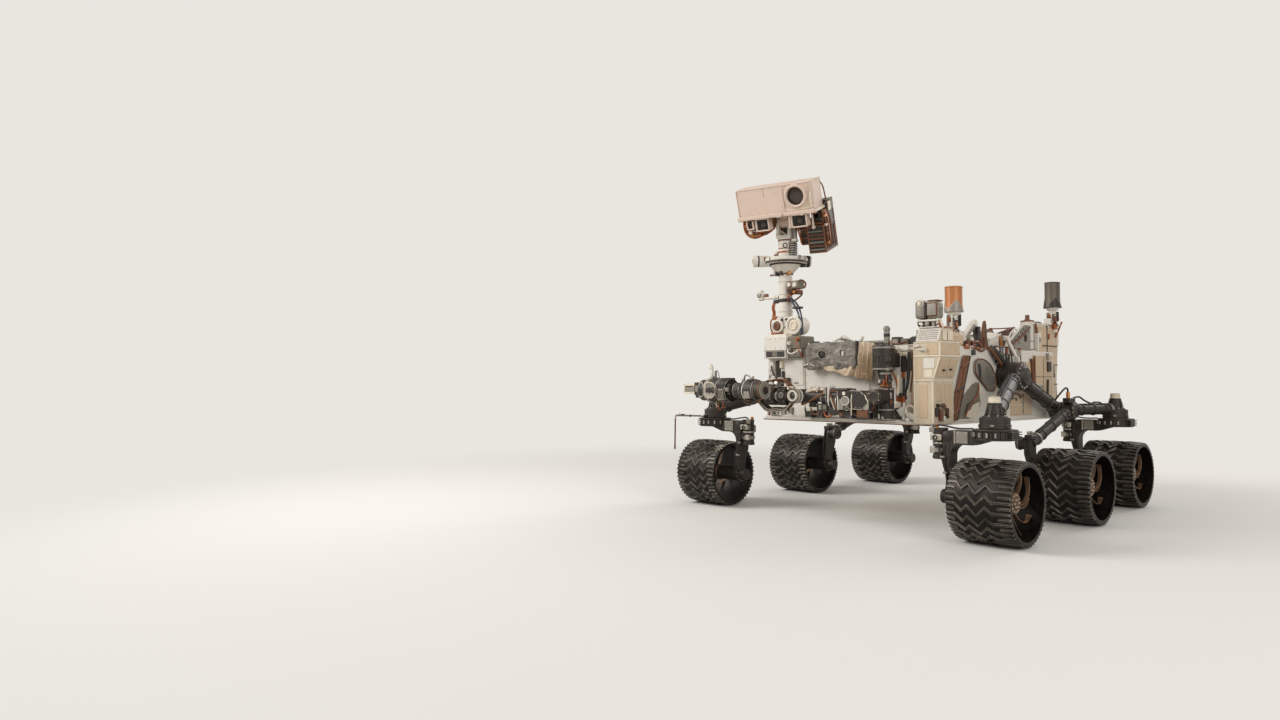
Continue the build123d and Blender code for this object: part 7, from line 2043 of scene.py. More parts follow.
# Sloping panel with a folded lip and a yellow tab
slope = Matrix.Translation((0.122, 0.640, 1.305)) @ Matrix.Rotation(radians(14), 4,
    "Y") @ Matrix.Rotation(radians(-12), 4, "X")
blocks(form, ((0.030, 0.560, 1.252, 0.215, 0.660, 1.330, GREY),))
slab(form, (-0.098, -0.050, -0.052), (0.098, 0.046, 0.050), WHITE, 0.006, slope)
slab(form, (-0.100, 0.040, 0.044), (0.100, 0.050, 0.054), WHITE, 0.003, slope)
screws(form, [slope @ Vector((x, 0.0465, z)) for x in (-0.088, -0.03, 0.03, 0.088)
    for z in (-0.042, 0.034)], (0, 1, 0), 0.003, BRIGHT)
yellow = Matrix.Translation((0.040, 0.692, 1.320)) @ Matrix.Rotation(radians(24), 4, "Y")
slab(form, (-0.014, -0.006, -0.036), (0.014, 0.006, 0.036), GOLD, 0.004, yellow)
slab(form, (-0.020, -0.004, -0.046), (0.022, 0.008, -0.030), AMBER, 0.003, yellow)
finish(form, "deck_edge_fittings", body_looks, "chassis", "white_paint", ("deck_fittings",))

# Ramp frame and antenna post: the frame is a milled white-painted gusset with pockets and a
# flange, braced by a brown strut. The post is a white tube with a brown tip.
form = bmesh.new()
truss_edge = [(-0.080, 1.256), (-0.140, 1.312), (-0.396, 1.460), (-0.516, 1.460)]
for (x0, z0), (x1, z1) in zip(truss_edge, truss_edge[1:]):
    cable(form, [(x0, 0.673, z0), ((x0 + x1) / 2, 0.673, (z0 + z1) / 2), (x1, 0.673, z1)], 0.0095,
        WHITE)
for n in range(7):
    x = -0.150 - n * 0.052
    top = 1.318 + 0.578 * (-x - 0.14) if x > -0.396 else 1.460
    plate(form, [(x, top - 0.030), (x - 0.030, top - 0.014), (x - 0.032, top - 0.052)], 0.678,
        0.005, DARK, 0.0008)
    cable(form, [(x + 0.004, 0.684, top - 0.026), (x - 0.016, 0.685, top - 0.040),
        (x - 0.036, 0.684, top - 0.056)], 0.003, WHITE)
cable(form, [(-0.110, 0.686, 1.262), (-0.25, 0.688, 1.320), (-0.42, 0.686, 1.400),
    (-0.500, 0.684, 1.440)], 0.008, BROWN)
cable(form, [(-0.070, 0.670, 1.262), (-0.140, 0.676, 1.350), (-0.200, 0.676, 1.405),
    (-0.260, 0.672, 1.420)], 0.007, WHITE)
slab(form, (-0.300, 0.640, 1.262), (-0.200, 0.664, 1.345), WHITE, 0.004)
slab(form, (-0.430, 0.620, 1.262), (-0.320, 0.664, 1.400), WHITE, 0.004)
slab(form, (-0.520, 0.600, 1.252), (-0.440, 0.660, 1.380), GREY, 0.004)
for n in range(3):
    slab(form, (-0.500 + n * 0.02, 0.660, 1.270), (-0.492 + n * 0.02, 0.668, 1.370), DARK, 0.001)
screws(form, along((-0.14, 0.684, 1.266), (-0.49, 0.684, 1.266), 9), (0, 1, 0), 0.0032, BRIGHT)
post_x, post_y = -0.580, 0.630
for z, tall, radius, look in ((1.252, 0.008, 0.058, WHITE), (1.262, 0.006, 0.053, DARK),
        (1.330, 0.008, 0.0525, GREY), (1.420, 0.006, 0.0520, WHITE), (1.470, 0.020, 0.0530, WHITE),
        (1.492, 0.011, 0.0515, COPPER)):
    lathe(form, band(0, tall, radius - 0.010, radius), (post_x, post_y, z), (0, 0, 1), look, 36)
lathe(form, [(0, 0.048), (0.004, 0.030), (0.012, 0.022), (0.014, 0.017), (0.044, 0.0165),
    (0.050, 0.010), (0.050, 0)], (post_x, post_y, 1.501), (0, 0, 1), COPPER, 24)
slab(form, (post_x - 0.004, post_y + 0.048, 1.270), (post_x + 0.004, post_y + 0.0545, 1.480), GREY,
    0.002)
bolt_circle(form, (post_x, post_y, 1.2595), 0.0545, 8, (0, 0, 1), 0.0035, BRIGHT)
blocks(form, ((-0.660, 0.600, 1.252, -0.636, 0.690, 1.400, WHITE),
    (-0.740, 0.590, 1.252, -0.680, 0.680, 1.330, BEIGE),
    (-0.720, 0.640, 1.330, -0.690, 0.680, 1.372, GREY)))
cable(form, [(-0.60, 0.585, 1.27), (-0.64, 0.58, 1.30), (-0.70, 0.60, 1.35), (-0.78, 0.62, 1.34),
    (-0.84, 0.62, 1.27)], 0.008, SLEEVE)
finish(form, "ramp_and_post_fittings", body_looks, "chassis", "white_paint")

# Left side: painted shield plates with brown-taped edges, a fan of rust-brown tubes, a row of
# connectors under the deck's edge, and beige panels behind the rocker.
form = bmesh.new()
shield = [(0.490, 1.150), (0.440, 1.170), (0.350, 1.168), (0.250, 1.130), (0.185, 1.060),
    (0.165, 0.985), (0.200, 0.930), (0.290, 0.935), (0.360, 0.985), (0.440, 1.030), (0.495, 1.075)]
plate(form, shield, 0.702, 0.012, GREY, 0.004)
cable(form, [(x, 0.716, z) for x, z in shield + shield[:2]], 0.0045, COPPER)
plate(form, [(0.452, 1.132), (0.418, 1.136), (0.400, 1.090), (0.408, 1.020), (0.436, 1.036),
    (0.440, 1.080)], 0.7135, 0.004, BLACK, 0.001)
plate(form, [(0.330, 1.120), (0.290, 1.110), (0.262, 1.040), (0.300, 1.000)], 0.7135, 0.003, OLIVE,
    0.001)
lower = [(0.760, 0.884), (0.640, 0.910), (0.520, 0.985), (0.450, 1.000), (0.415, 0.930),
    (0.400, 0.850), (0.440, 0.770), (0.560, 0.742), (0.800, 0.744)]
plate(form, lower, 0.701, 0.007, OLIVE, 0.003)
plate(form, [(0.420, 0.860), (0.560, 0.830), (0.640, 0.760), (0.560, 0.742), (0.440, 0.765)],
    0.7075, 0.004, CREAM, 0.002)
cable(form, [(0.440, 0.712, 0.996), (0.430, 0.716, 0.930), (0.500, 0.716, 0.880),
    (0.590, 0.716, 0.830), (0.640, 0.714, 0.760)], 0.005, AMBER)
plate(form, [(0.500, 0.870), (0.600, 0.850), (0.640, 0.790), (0.580, 0.800)], 0.711, 0.006, DARK,
    0.001)
for n, (thick, look) in enumerate(((0.012, COPPER), (0.012, COPPER), (0.008, BROWN), (0.008, DARK),
        (0.006, COPPER))):
    shift = (0.0, 0.048, 0.024, -0.022, 0.074)[n]
    y = 0.7125 + (0.004 if n > 1 else 0)
    cable(form, [(0.590 + shift, y, 1.186), (0.655 + shift, y, 1.035), (0.722 + shift, y, 0.884),
        (0.788 + shift, y, 0.736)], thick, look)
for share in (0.12, 0.5, 0.86):
    spot = Vector((0.614, 0.712, 1.178)).lerp(Vector((0.812, 0.712, 0.736)), share)
    lean = Matrix.Translation(spot) @ Matrix.Rotation(radians(24), 4, "Y")
    slab(form, (-0.052, -0.010, -0.008), (0.058, 0.014, 0.008), DARK if share == 0.5 else COPPER,
        0.003, lean)
screws(form, [(x, 0.714, z) for x, z in ((0.470, 1.148), (0.37, 1.152), (0.27, 1.118),
    (0.205, 1.05), (0.19, 0.98), (0.28, 0.95))], (0, 1, 0), 0.004, BRIGHT)
screws(form, [(x, 0.708, z) for x, z in ((0.74, 0.875), (0.63, 0.895), (0.78, 0.755), (0.70, 0.755),
    (0.43, 0.90))], (0, 1, 0), 0.004, BRIGHT)
# Connectors: a copper shelf, plugs in four colours and short hanging tubes
blue_tape = coated("blue polyimide tape", "#3F5E86", "#7C93AE", "#7A5A40", roughness=0.45,
    dusty=0.3, edge=0.3)
red_tape = coated("red polyimide tape", "#9C3A28", "#C47058", "#8B5F3A", roughness=0.45, dusty=0.3,
    edge=0.3)
BLUE, RED = 14, 15
side_looks = body_looks + (blue_tape, red_tape)
slab(form, (-0.250, 0.698, 1.262), (0.170, 0.726, 1.272), COPPER, 0.003)
for n in range(17):
    x = 0.155 - n * 0.0245
    look = (BRIGHT, WHITE, BLACK, GREY, BLUE, BRIGHT, DARK, RED, BRIGHT, BLACK, AMBER, BLUE, RED,
        BRIGHT, GREY, BLACK, AMBER)[n]
    tall = 0.022 + 0.012 * ((n * 7) % 3)
    lathe(form, [(0, 0.0), (0, 0.0095), (tall, 0.0095), (tall, 0.007), (tall + 0.008, 0.006),
        (tall + 0.008, 0)], (x, 0.713, 1.262), (0, 0, -1), look, 14)
    if n % 2 == 0:
        drop = 0.040 + 0.030 * ((n * 5) % 4) / 3
        cable(form, [(x, 0.714, 1.262 - tall), (x - 0.004, 0.720, 1.235 - drop),
            (x + 0.006, 0.718, 1.205 - drop), (x, 0.708, 1.185 - drop)], 0.006,
            (SLEEVE, BROWN, SLEEVE, AMBER)[n % 4])
blocks(form, (
    (-0.240, 0.698, 1.196, -0.180, 0.722, 1.250, GREY),
    (-0.160, 0.698, 1.150, -0.120, 0.716, 1.216, BRIGHT),
    (-0.060, 0.698, 1.120, -0.020, 0.718, 1.190, DARK),
    (0.060, 0.698, 1.180, 0.110, 0.720, 1.236, OLIVE),
    (0.120, 0.698, 1.205, 0.200, 0.716, 1.240, BLACK),
    (-0.020, 0.716, 1.130, 0.000, 0.728, 1.150, AMBER),
    (-0.280, 0.698, 1.120, -0.240, 0.712, 1.260, BEIGE),
))
# Broad black strap from the deck's edge to the pivot, with a brown strap beside it
for shift, thick, look in ((0, 0.020, BLACK), (0.045, 0.012, BROWN), (-0.030, 0.014, BLACK)):
    cable(form, [(0.235 + shift, 0.700, 1.262), (0.225 + shift, 0.728, 1.240),
        (0.170 + shift, 0.740, 1.190), (0.120 + shift, 0.745, 1.150),
        (0.075 + shift, 0.740, 1.125), (0.060 + shift, 0.715, 1.120)], thick, look)
# Beige panels with a handle behind the rocker, pipes and clips
blocks(form, (
    (-0.460, 0.698, 0.744, -0.090, 0.706, 0.930, BEIGE),
    (-0.452, 0.704, 0.822, -0.098, 0.7085, 0.826, CREAM),
    (-0.460, 0.698, 0.938, -0.290, 0.705, 1.160, BEIGE),
    (-0.276, 0.698, 0.938, -0.100, 0.705, 1.100, WHITE),
    (-0.880, 0.698, 0.870, -0.500, 0.705, 1.220, BEIGE),
    (-0.872, 0.704, 1.045, -0.508, 0.7075, 1.049, DARK),
    (-0.694, 0.704, 0.880, -0.690, 0.7075, 1.210, DARK),
    (-0.880, 0.698, 0.740, -0.480, 0.704, 0.860, WHITE),
    (-0.180, 0.704, 0.872, -0.110, 0.712, 0.878, BLACK),
    (-0.180, 0.704, 0.856, -0.174, 0.714, 0.876, BLACK),
    (0.830, 0.698, 0.740, 0.860, 0.706, 1.220, COPPER),
    (-0.660, 0.704, 0.900, -0.560, 0.716, 0.980, GREY),
    (-0.820, 0.704, 1.090, -0.760, 0.720, 1.170, DARK),
), 0.002)
drums(form, (
    ((-0.480, 0.712, 1.010), (0.15, 0, 1), 0.180, 0.012, COPPER),
    ((-0.510, 0.712, 0.980), (0, 0, 1), 0.230, 0.008, BROWN),
    ((-0.745, 0.712, 0.850), (-0.1, 0, 1), 0.175, 0.009, DARK),
    ((-0.765, 0.712, 1.180), (0, 0, 1), 0.060, 0.011, GREY),
    ((-0.300, 0.710, 0.760), (0, 0, 1), 0.150, 0.006, GREY),
))
cable(form, [(-0.14, 0.708, 0.91), (-0.18, 0.722, 0.915), (-0.22, 0.722, 0.900),
    (-0.25, 0.708, 0.880)], 0.005, BLACK)
screws(form, along((-0.445, 0.706, 0.752), (-0.105, 0.706, 0.752), 9)
    + along((-0.445, 0.706, 0.922), (-0.105, 0.706, 0.922), 9)
    + along((-0.87, 0.705, 0.88), (-0.51, 0.705, 0.88), 8)
    + along((-0.87, 0.705, 1.21), (-0.51, 0.705, 1.21), 8), (0, 1, 0), 0.0032, BRIGHT)
screws(form, along((-0.900, 0.7165, 0.713), (0.84, 0.7165, 0.713), 30), (0, 1, 0), 0.004, BRIGHT)
finish(form, "left_side_fittings", side_looks, "chassis", "grey_metal", ("side_fittings",))

# Rear cabinets: two tall riveted aluminium cabinets in beige primer, either side of the power
# source. Their sides have horizontal seams, a dark edge strip, clips, pipes and latches.
form = bmesh.new()
for side in (1, -1):
    turn = Matrix.Diagonal((1, side, 1, 1))
    fresh = bmesh.new()
    y = 0.5395
    for z0, z1 in ((0.862, 0.980), (0.992, 1.150), (1.162, 1.312), (1.324, 1.478)):
        reach = 0.052 if z0 < 1.3 else 0.10
        slab(fresh, (-1.340 + reach * 0.4, y, z0), (-1.178, y + 0.005, z1), BEIGE, 0.003)
        slab(fresh, (-1.162, y, z0), (-0.935, y + 0.005, z1), BEIGE, 0.003)
        screws(fresh, along((-1.325, y + 0.005, z1 - 0.008), (-0.945, y + 0.005, z1 - 0.008), 12),
            (0, 1, 0), 0.003, BRIGHT)
    slab(fresh, (-1.176, y, 0.850), (-1.164, y + 0.009, 1.495), DARK, 0.003)
    for z in (0.986, 1.156, 1.318):
        slab(fresh, (-1.385, y, z - 0.004), (-0.925, y + 0.007, z + 0.004), BROWN, 0.002)
    for x, z, wide, tall, look in ((-1.235, 1.240, 0.030, 0.050, BLACK),
            (-1.290, 1.060, 0.026, 0.034, BLACK), (-1.060, 1.220, 0.050, 0.028, GREY),
            (-1.010, 1.400, 0.040, 0.060, WHITE), (-1.260, 0.920, 0.034, 0.022, BLACK),
            (-1.100, 0.905, 0.060, 0.040, GREY), (-1.200, 1.400, 0.022, 0.050, AMBER)):
        slab(fresh, (x - wide / 2, y + 0.003, z - tall / 2),
            (x + wide / 2, y + 0.016, z + tall / 2), look, 0.004)
    for route, thick, look in (
        ([(-0.932, 0.546, 1.500), (-0.940, 0.556, 1.40), (-0.936, 0.556, 1.22),
            (-0.944, 0.556, 1.02), (-0.936, 0.550, 0.86)], 0.010, COPPER),
        ([(-0.962, 0.546, 1.470), (-0.966, 0.556, 1.30), (-0.960, 0.556, 1.12),
            (-0.975, 0.556, 0.98), (-1.04, 0.556, 0.93), (-1.08, 0.546, 0.92)], 0.007, BROWN),
        ([(-1.235, 0.550, 1.225), (-1.23, 0.562, 1.17), (-1.26, 0.562, 1.11),
            (-1.288, 0.550, 1.07)], 0.006, SLEEVE),
    ):
        cable(fresh, route, thick, look)
    # Slanting rear face, top cover with a frame, and a strut out to the power source
    lean = Matrix.Translation((-1.380, 0.480, 1.105)) @ Matrix.Rotation(radians(6.45), 4, "Y")
    for z0, z1 in ((-0.250, -0.090), (-0.080, 0.080), (0.090, 0.248)):
        slab(fresh, (-0.005, -0.050, z0), (0.004, 0.050, z1), BEIGE, 0.003, lean)
        screws(fresh, [lean @ Vector((-0.005, b, c)) for b in (-0.042, 0.042)
            for c in (z0 + 0.01, z1 - 0.01)], (-1, 0, 0), 0.003, BRIGHT)
    slab(fresh, (-0.016, -0.030, -0.180), (0.0, 0.030, -0.120), GREY, 0.004, lean)
    slab(fresh, (-0.018, -0.014, 0.130), (0.0, 0.030, 0.190), DARK, 0.004, lean)
    slab(fresh, (-1.310, 0.428, 1.498), (-0.930, 0.532, 1.504), CREAM, 0.003)
    for x in (-1.190, -1.060):
        slab(fresh, (x - 0.030, 0.436, 1.502), (x + 0.030, 0.524, 1.516), WHITE, 0.004)
    screws(fresh, along((-1.300, 0.434, 1.504), (-0.940, 0.434, 1.504), 10)
        + along((-1.300, 0.526, 1.504), (-0.940, 0.526, 1.504), 10), (0, 0, 1), 0.003, BRIGHT)
    drums(fresh, (((-1.020, 0.480, 1.502), (0, 0, 1), 0.020, 0.026, GREY),
        ((-1.000, 0.440, 1.504), (1, 0, 0), 0.060, 0.008, BRIGHT)))
    cable(fresh, [(-1.300, 0.470, 1.505), (-1.27, 0.45, 1.525), (-1.20, 0.47, 1.530),
        (-1.12, 0.45, 1.525), (-1.04, 0.47, 1.515)], 0.007, SLEEVE)
    # Inner face, towards the power source
    for z0, z1 in ((0.870, 1.080), (1.095, 1.300), (1.315, 1.470)):
        slab(fresh, (-1.300, 0.4155, z0), (-0.960, 0.4215, z1), GREY if z0 > 1.3 else BEIGE, 0.003)
    fresh.transform(turn)
    if side < 0:
        bmesh.ops.reverse_faces(fresh, faces=fresh.faces)
    shape = bpy.data.meshes.new("cabinet")
    fresh.to_mesh(shape)
    fresh.free()
    form.from_mesh(shape)
# Left only: the strut and bent frame behind the rear can, and a small red light
blocks(form, (
    (-1.360, 0.500, 1.440, -1.300, 0.560, 1.500, WHITE),
    (-1.400, 0.520, 1.330, -1.370, 0.552, 1.440, CREAM),
    (-1.330, 0.545, 1.470, -1.270, 0.575, 1.516, AMBER),
    (-1.255, 0.500, 1.502, -1.215, 0.556, 1.560, WHITE),
), 0.005)
drums(form, (((-1.260, 0.520, 1.395), (-0.78, 0.0, 0.62), 0.290, 0.011, WHITE),
    ((-1.330, 0.552, 1.400), (-0.70, 0.0, 0.70), 0.200, 0.008, AMBER),
    ((-1.220, 0.548, 1.500), (-0.5, 0.1, 0.8), 0.120, 0.006, COPPER)))
finish(form, "cabinet_fittings", body_looks, "chassis", "beige_panel")

# Power source: a finned aluminium drum in dark copper paint. Rods join the fins' tips, fluid
# pipes run along their roots, and a domed end cap is bolted on.
form = bmesh.new()
for up, tall, radius, look in ((0.004, 0.016, 0.128, BLACK), (0.026, 0.006, 0.124, GREY),
        (0.528, 0.006, 0.124, GREY), (0.540, 0.018, 0.129, BLACK)):
    lathe(form, band(0, tall, radius - 0.012, radius), (0, 0, up), (0, 0, 1), look, 48)
lathe(form, [(0, 0.116), (0.006, 0.110), (0.010, 0.086), (0.006, 0.082), (0.010, 0.060),
    (0.016, 0.040), (0.018, 0.0)], (0, 0, 0.5585), (0, 0, 1), DARK, 40)
lathe(form, [(0, 0.030), (0.012, 0.028), (0.014, 0.020), (0.010, 0.016), (0.010, 0)], (0, 0, 0.574),
    (0, 0, 1), GREY, 24)
bolt_circle(form, (0, 0, 0.566), 0.100, 16, (0, 0, 1), 0.005, BRIGHT)
tips = {}
for n in range(8):
    spin = Matrix.Rotation(radians((n + 0.5) * 45), 4, "Z")
    slab(form, (0.2850, -0.0085, 0.044), (0.2950, 0.0085, 0.516), BROWN, 0.003, spin)
    for z in (0.042, 0.512):
        slab(form, (0.128, -0.0085, z - 0.003), (0.290, 0.0085, z + 0.006), BROWN, 0.002, spin)
    for m in range(4):
        z = 0.100 + m * 0.115
        for y in (-0.0085, 0.0055):
            slab(form, (0.135, y, z), (0.282, y + 0.003, z + 0.008), COPPER, 0.001, spin)
    screws(form, [spin @ Vector((0.2955, 0, z)) for z in (0.07, 0.17, 0.28, 0.39, 0.49)],
        spin @ Vector((1, 0, 0)), 0.0035, BRIGHT)
    tips[n] = [spin @ Vector((0.286, 0, z)) for z in (0.050, 0.510)]
    mid = Matrix.Rotation(radians(n * 45), 4, "Z")
    cable(form, [mid @ Vector(p) for p in ((0.128, 0.012, 0.030), (0.134, 0.012, 0.10),
        (0.132, 0.010, 0.28), (0.134, 0.012, 0.46), (0.126, 0.012, 0.540))], 0.006,
        (GREY, COPPER, GREY, AMBER)[n % 4])
for n in range(8):
    for level in (0, 1):
        start, end = tips[n][level], tips[(n + 1) % 8][level]
        cable(form, [start, start.lerp(end, 0.5) * 0.985 + Vector((0, 0, start.z * 0.015)), end],
            0.006, COPPER)
form.transform(Matrix.Translation((-1.060, 0, 1.150)) @ Matrix.Rotation(radians(-78), 4, "Y"))
# Bracket: gussets, pipes to the body and their clips
for y in (-0.100, 0.092):
    slab(form, (-1.075, y, 1.060), (-0.920, y + 0.008, 1.200), GREY, 0.003)
blocks(form, ((-0.945, -0.150, 1.000, -0.918, 0.150, 1.225, GREY),
    (-0.935, -0.170, 0.960, -0.919, 0.170, 1.000, DARK)))
screws(form, [(-0.9455, y, z) for y in (-0.135, 0.135) for z in (1.02, 1.08, 1.14, 1.20)],
    (-1, 0, 0), 0.006, BRIGHT)
for side in (1, -1):
    for n, (drop, look) in enumerate(((0.0, COPPER), (0.03, GREY), (0.06, SLEEVE))):
        cable(form, [(-1.100, side * 0.110, 1.190 - drop),
            (-1.060, side * (0.170 + drop), 1.180 - drop),
            (-0.990, side * (0.210 + drop), 1.10 - drop),
            (-0.950, side * (0.250 + drop), 1.00 - drop),
            (-0.919, side * (0.260 + drop), 0.90 - drop)], 0.009 - n * 0.001, look)
finish(form, "power_source_fittings", body_looks, "chassis", "copper_housing")

# Rear and right sides: riveted panels, a hatch, vents, connector rows and pipes held by clips,
# much as on the left side.
form = bmesh.new()
rear = -0.9195
for y0, y1, z0, z1, look in ((-0.690, -0.555, 0.740, 1.225, BEIGE),
        (0.555, 0.690, 0.740, 1.225, BEIGE), (-0.400, -0.190, 0.735, 0.930, WHITE),
        (-0.180, 0.180, 0.735, 0.930, WHITE), (0.190, 0.400, 0.735, 0.930, WHITE),
        (-0.400, -0.280, 0.945, 1.225, CREAM), (0.280, 0.400, 0.945, 1.225, CREAM),
        (-0.700, -0.420, 0.730, 0.830, WHITE), (0.420, 0.700, 0.730, 0.830, WHITE)):
    slab(form, (rear - 0.006, y0, z0), (rear + 0.002, y1, z1), look, 0.003)
    screws(form, along((rear - 0.006, y0 + 0.012, z1 - 0.012),
        (rear - 0.006, y1 - 0.012, z1 - 0.012), 5)
        + along((rear - 0.006, y0 + 0.012, z0 + 0.012), (rear - 0.006, y1 - 0.012, z0 + 0.012), 5),
        (-1, 0, 0), 0.003, BRIGHT)
for n in range(7):
    slab(form, (rear - 0.010, -0.140, 0.770 + n * 0.020), (rear - 0.004, 0.140, 0.776 + n * 0.020),
        DARK, 0.001)
for y, look in ((-0.330, BLACK), (-0.300, BRIGHT), (-0.360, GREY), (0.300, BRIGHT), (0.330, BLACK),
        (0.365, AMBER)):
    lathe(form, [(0, 0.013), (0.018, 0.013), (0.020, 0.010), (0.028, 0.009), (0.028, 0)],
        (rear - 0.005, y, 1.150), (-1, 0, 0), look, 18)
    cable(form, [(rear - 0.030, y, 1.150), (rear - 0.045, y, 1.120), (rear - 0.030, y * 1.05, 1.04),
        (rear - 0.008, y * 1.02, 0.955)], 0.006, SLEEVE if look != AMBER else AMBER)
right = -0.700
for x0, x1, z0, z1, look in ((-0.880, -0.500, 0.870, 1.220, BEIGE),
        (-0.880, -0.500, 0.740, 0.860, WHITE), (-0.460, -0.110, 0.744, 0.930, BEIGE),
        (-0.460, -0.110, 0.940, 1.200, WHITE), (0.140, 0.520, 0.980, 1.215, BEIGE),
        (0.140, 0.520, 0.744, 0.970, WHITE), (0.560, 0.820, 0.744, 1.215, BEIGE),
        (0.850, 1.080, 0.980, 1.215, WHITE), (0.850, 1.080, 0.744, 0.970, BEIGE)):
    slab(form, (x0, right - 0.006, z0), (x1, right + 0.002, z1), look, 0.003)
    screws(form, along((x0 + 0.012, right - 0.006, z1 - 0.010),
        (x1 - 0.012, right - 0.006, z1 - 0.010), 8)
        + along((x0 + 0.012, right - 0.006, z0 + 0.010), (x1 - 0.012, right - 0.006, z0 + 0.010),
        8), (0, -1, 0), 0.0032, BRIGHT)
plate(form, [(x - 0.03, z) for x, z in shield], right - 0.014, 0.010, GREY, 0.003)
cable(form, [(x - 0.03, right - 0.012, z) for x, z in shield + shield[:2]], 0.0045, COPPER)
blocks(form, (
    (0.600, -0.724, 0.900, 0.780, -0.704, 1.050, GREY),
    (0.620, -0.728, 1.080, 0.700, -0.704, 1.170, BLACK),
    (0.720, -0.722, 1.090, 0.790, -0.704, 1.150, OLIVE),
    (0.900, -0.730, 1.030, 1.020, -0.704, 1.150, GREY),
    (0.930, -0.718, 0.800, 1.040, -0.704, 0.900, WHITE),
    (-0.420, -0.722, 1.000, -0.340, -0.704, 1.120, OLIVE),
    (-0.300, -0.718, 1.040, -0.180, -0.704, 1.150, GREY),
    (-0.800, -0.716, 0.930, -0.600, -0.704, 1.100, WHITE),
    (-0.250, -0.726, 1.262, 0.170, -0.698, 1.272, COPPER),
), 0.005)
for n in range(6):
    slab(form, (0.612 + n * 0.026, -0.7275, 0.915), (0.624 + n * 0.026, -0.722, 1.035), DARK, 0.001)
    slab(form, (0.915 + n * 0.016, -0.733, 1.045), (0.922 + n * 0.016, -0.728, 1.135), DARK, 0.001)
for n in range(17):
    x = 0.155 - n * 0.0245
    look = (BRIGHT, WHITE, BLACK, GREY, BRIGHT, BLACK, AMBER, BRIGHT, GREY)[n % 9]
    tall = 0.022 + 0.012 * ((n * 5) % 3)
    lathe(form, [(0, 0.0), (0, 0.0095), (tall, 0.0095), (tall, 0.007), (tall + 0.008, 0.006),
        (tall + 0.008, 0)], (x, -0.713, 1.262), (0, 0, -1), look, 14)
    if n % 2 == 0:
        cable(form, [(x, -0.714, 1.262 - tall), (x - 0.004, -0.720, 1.195),
            (x + 0.006, -0.718, 1.165), (x, -0.706, 1.135)], 0.006, (SLEEVE, BROWN)[n // 2 % 2])
for route, thick, look in (
    ([(0.50, -0.710, 1.235), (0.56, -0.722, 1.15), (0.57, -0.722, 1.00), (0.55, -0.722, 0.86),
        (0.56, -0.710, 0.75)], 0.010, COPPER),
    ([(0.54, -0.710, 1.235), (0.585, -0.722, 1.13), (0.590, -0.722, 1.00), (0.575, -0.722, 0.86),
        (0.59, -0.710, 0.75)], 0.008, BROWN),
    ([(0.84, -0.710, 1.225), (0.835, -0.718, 1.10), (0.842, -0.718, 0.95), (0.835, -0.708, 0.76)],
        0.009, COPPER),
    ([(-0.48, -0.708, 1.225), (-0.485, -0.718, 1.10), (-0.478, -0.718, 0.92),
        (-0.484, -0.708, 0.76)], 0.010, COPPER),
    ([(-0.10, -0.708, 1.235), (-0.09, -0.724, 1.20), (-0.03, -0.735, 1.16), (0.02, -0.735, 1.12),
        (0.045, -0.715, 1.11)], 0.016, BLACK),
    ([(-0.80, -0.712, 0.95), (-0.84, -0.720, 1.00), (-0.86, -0.720, 1.12), (-0.80, -0.716, 1.20),
        (-0.70, -0.708, 1.225)], 0.008, SLEEVE),
):
    cable(form, route, thick, look)
screws(form, along((-0.900, -0.7165, 0.713), (1.08, -0.7165, 0.713), 34), (0, -1, 0), 0.004, BRIGHT)
screws(form, along((-0.9365, -0.69, 0.713), (-0.9365, 0.69, 0.713), 24), (-1, 0, 0), 0.004, BRIGHT)
# Belly: three pans and their screws
for x0, x1 in ((-0.880, -0.300), (-0.280, 0.400), (0.420, 1.050)):
    slab(form, (x0, -0.640, 0.7045), (x1, 0.640, 0.708), WHITE, 0.001)
    screws(form, [(x, y, 0.7045) for x in (x0 + 0.02, (x0 + x1) / 2, x1 - 0.02)
        for y in (-0.62, -0.31, 0.0, 0.31, 0.62)], (0, 0, -1), 0.005, BRIGHT)
finish(form, "rear_and_right_panels", body_looks, "chassis", "beige_panel")

# Deck: riveted cover plates, lids and ports in white paint, and cables clipped between them.
# The differential beam crosses above, with a bolted hub and end clevises.
form = bmesh.new()
top = 1.252
for x0, y0, x1, y1, look in ((-0.880, -0.660, -0.480, -0.260, WHITE),
        (-0.880, -0.240, -0.480, 0.240, CREAM), (-0.880, 0.260, -0.640, 0.540, WHITE),
        (-0.460, -0.660, -0.120, -0.240, CREAM), (-0.460, -0.220, -0.120, 0.200, WHITE),
        (-0.460, 0.220, -0.120, 0.600, WHITE), (0.080, -0.660, 0.290, -0.260, WHITE),
        (0.080, 0.080, 0.500, 0.500, CREAM), (0.560, -0.380, 0.840, 0.100, WHITE),
        (0.560, 0.130, 0.840, 0.490, WHITE), (0.310, -0.660, 0.840, -0.400, CREAM),
        (0.080, -0.240, 0.300, 0.060, WHITE)):
    slab(form, (x0, y0, top - 0.001), (x1, y1, top + 0.004), look, 0.002)
    inset = 0.014
    spots = along((x0 + inset, y0 + inset, top + 0.004), (x1 - inset, y0 + inset, top + 0.004),
        5) + along((x0 + inset, y1 - inset, top + 0.004), (x1 - inset, y1 - inset, top + 0.004), 5)
    screws(form, spots, (0, 0, 1), 0.0035, BRIGHT)
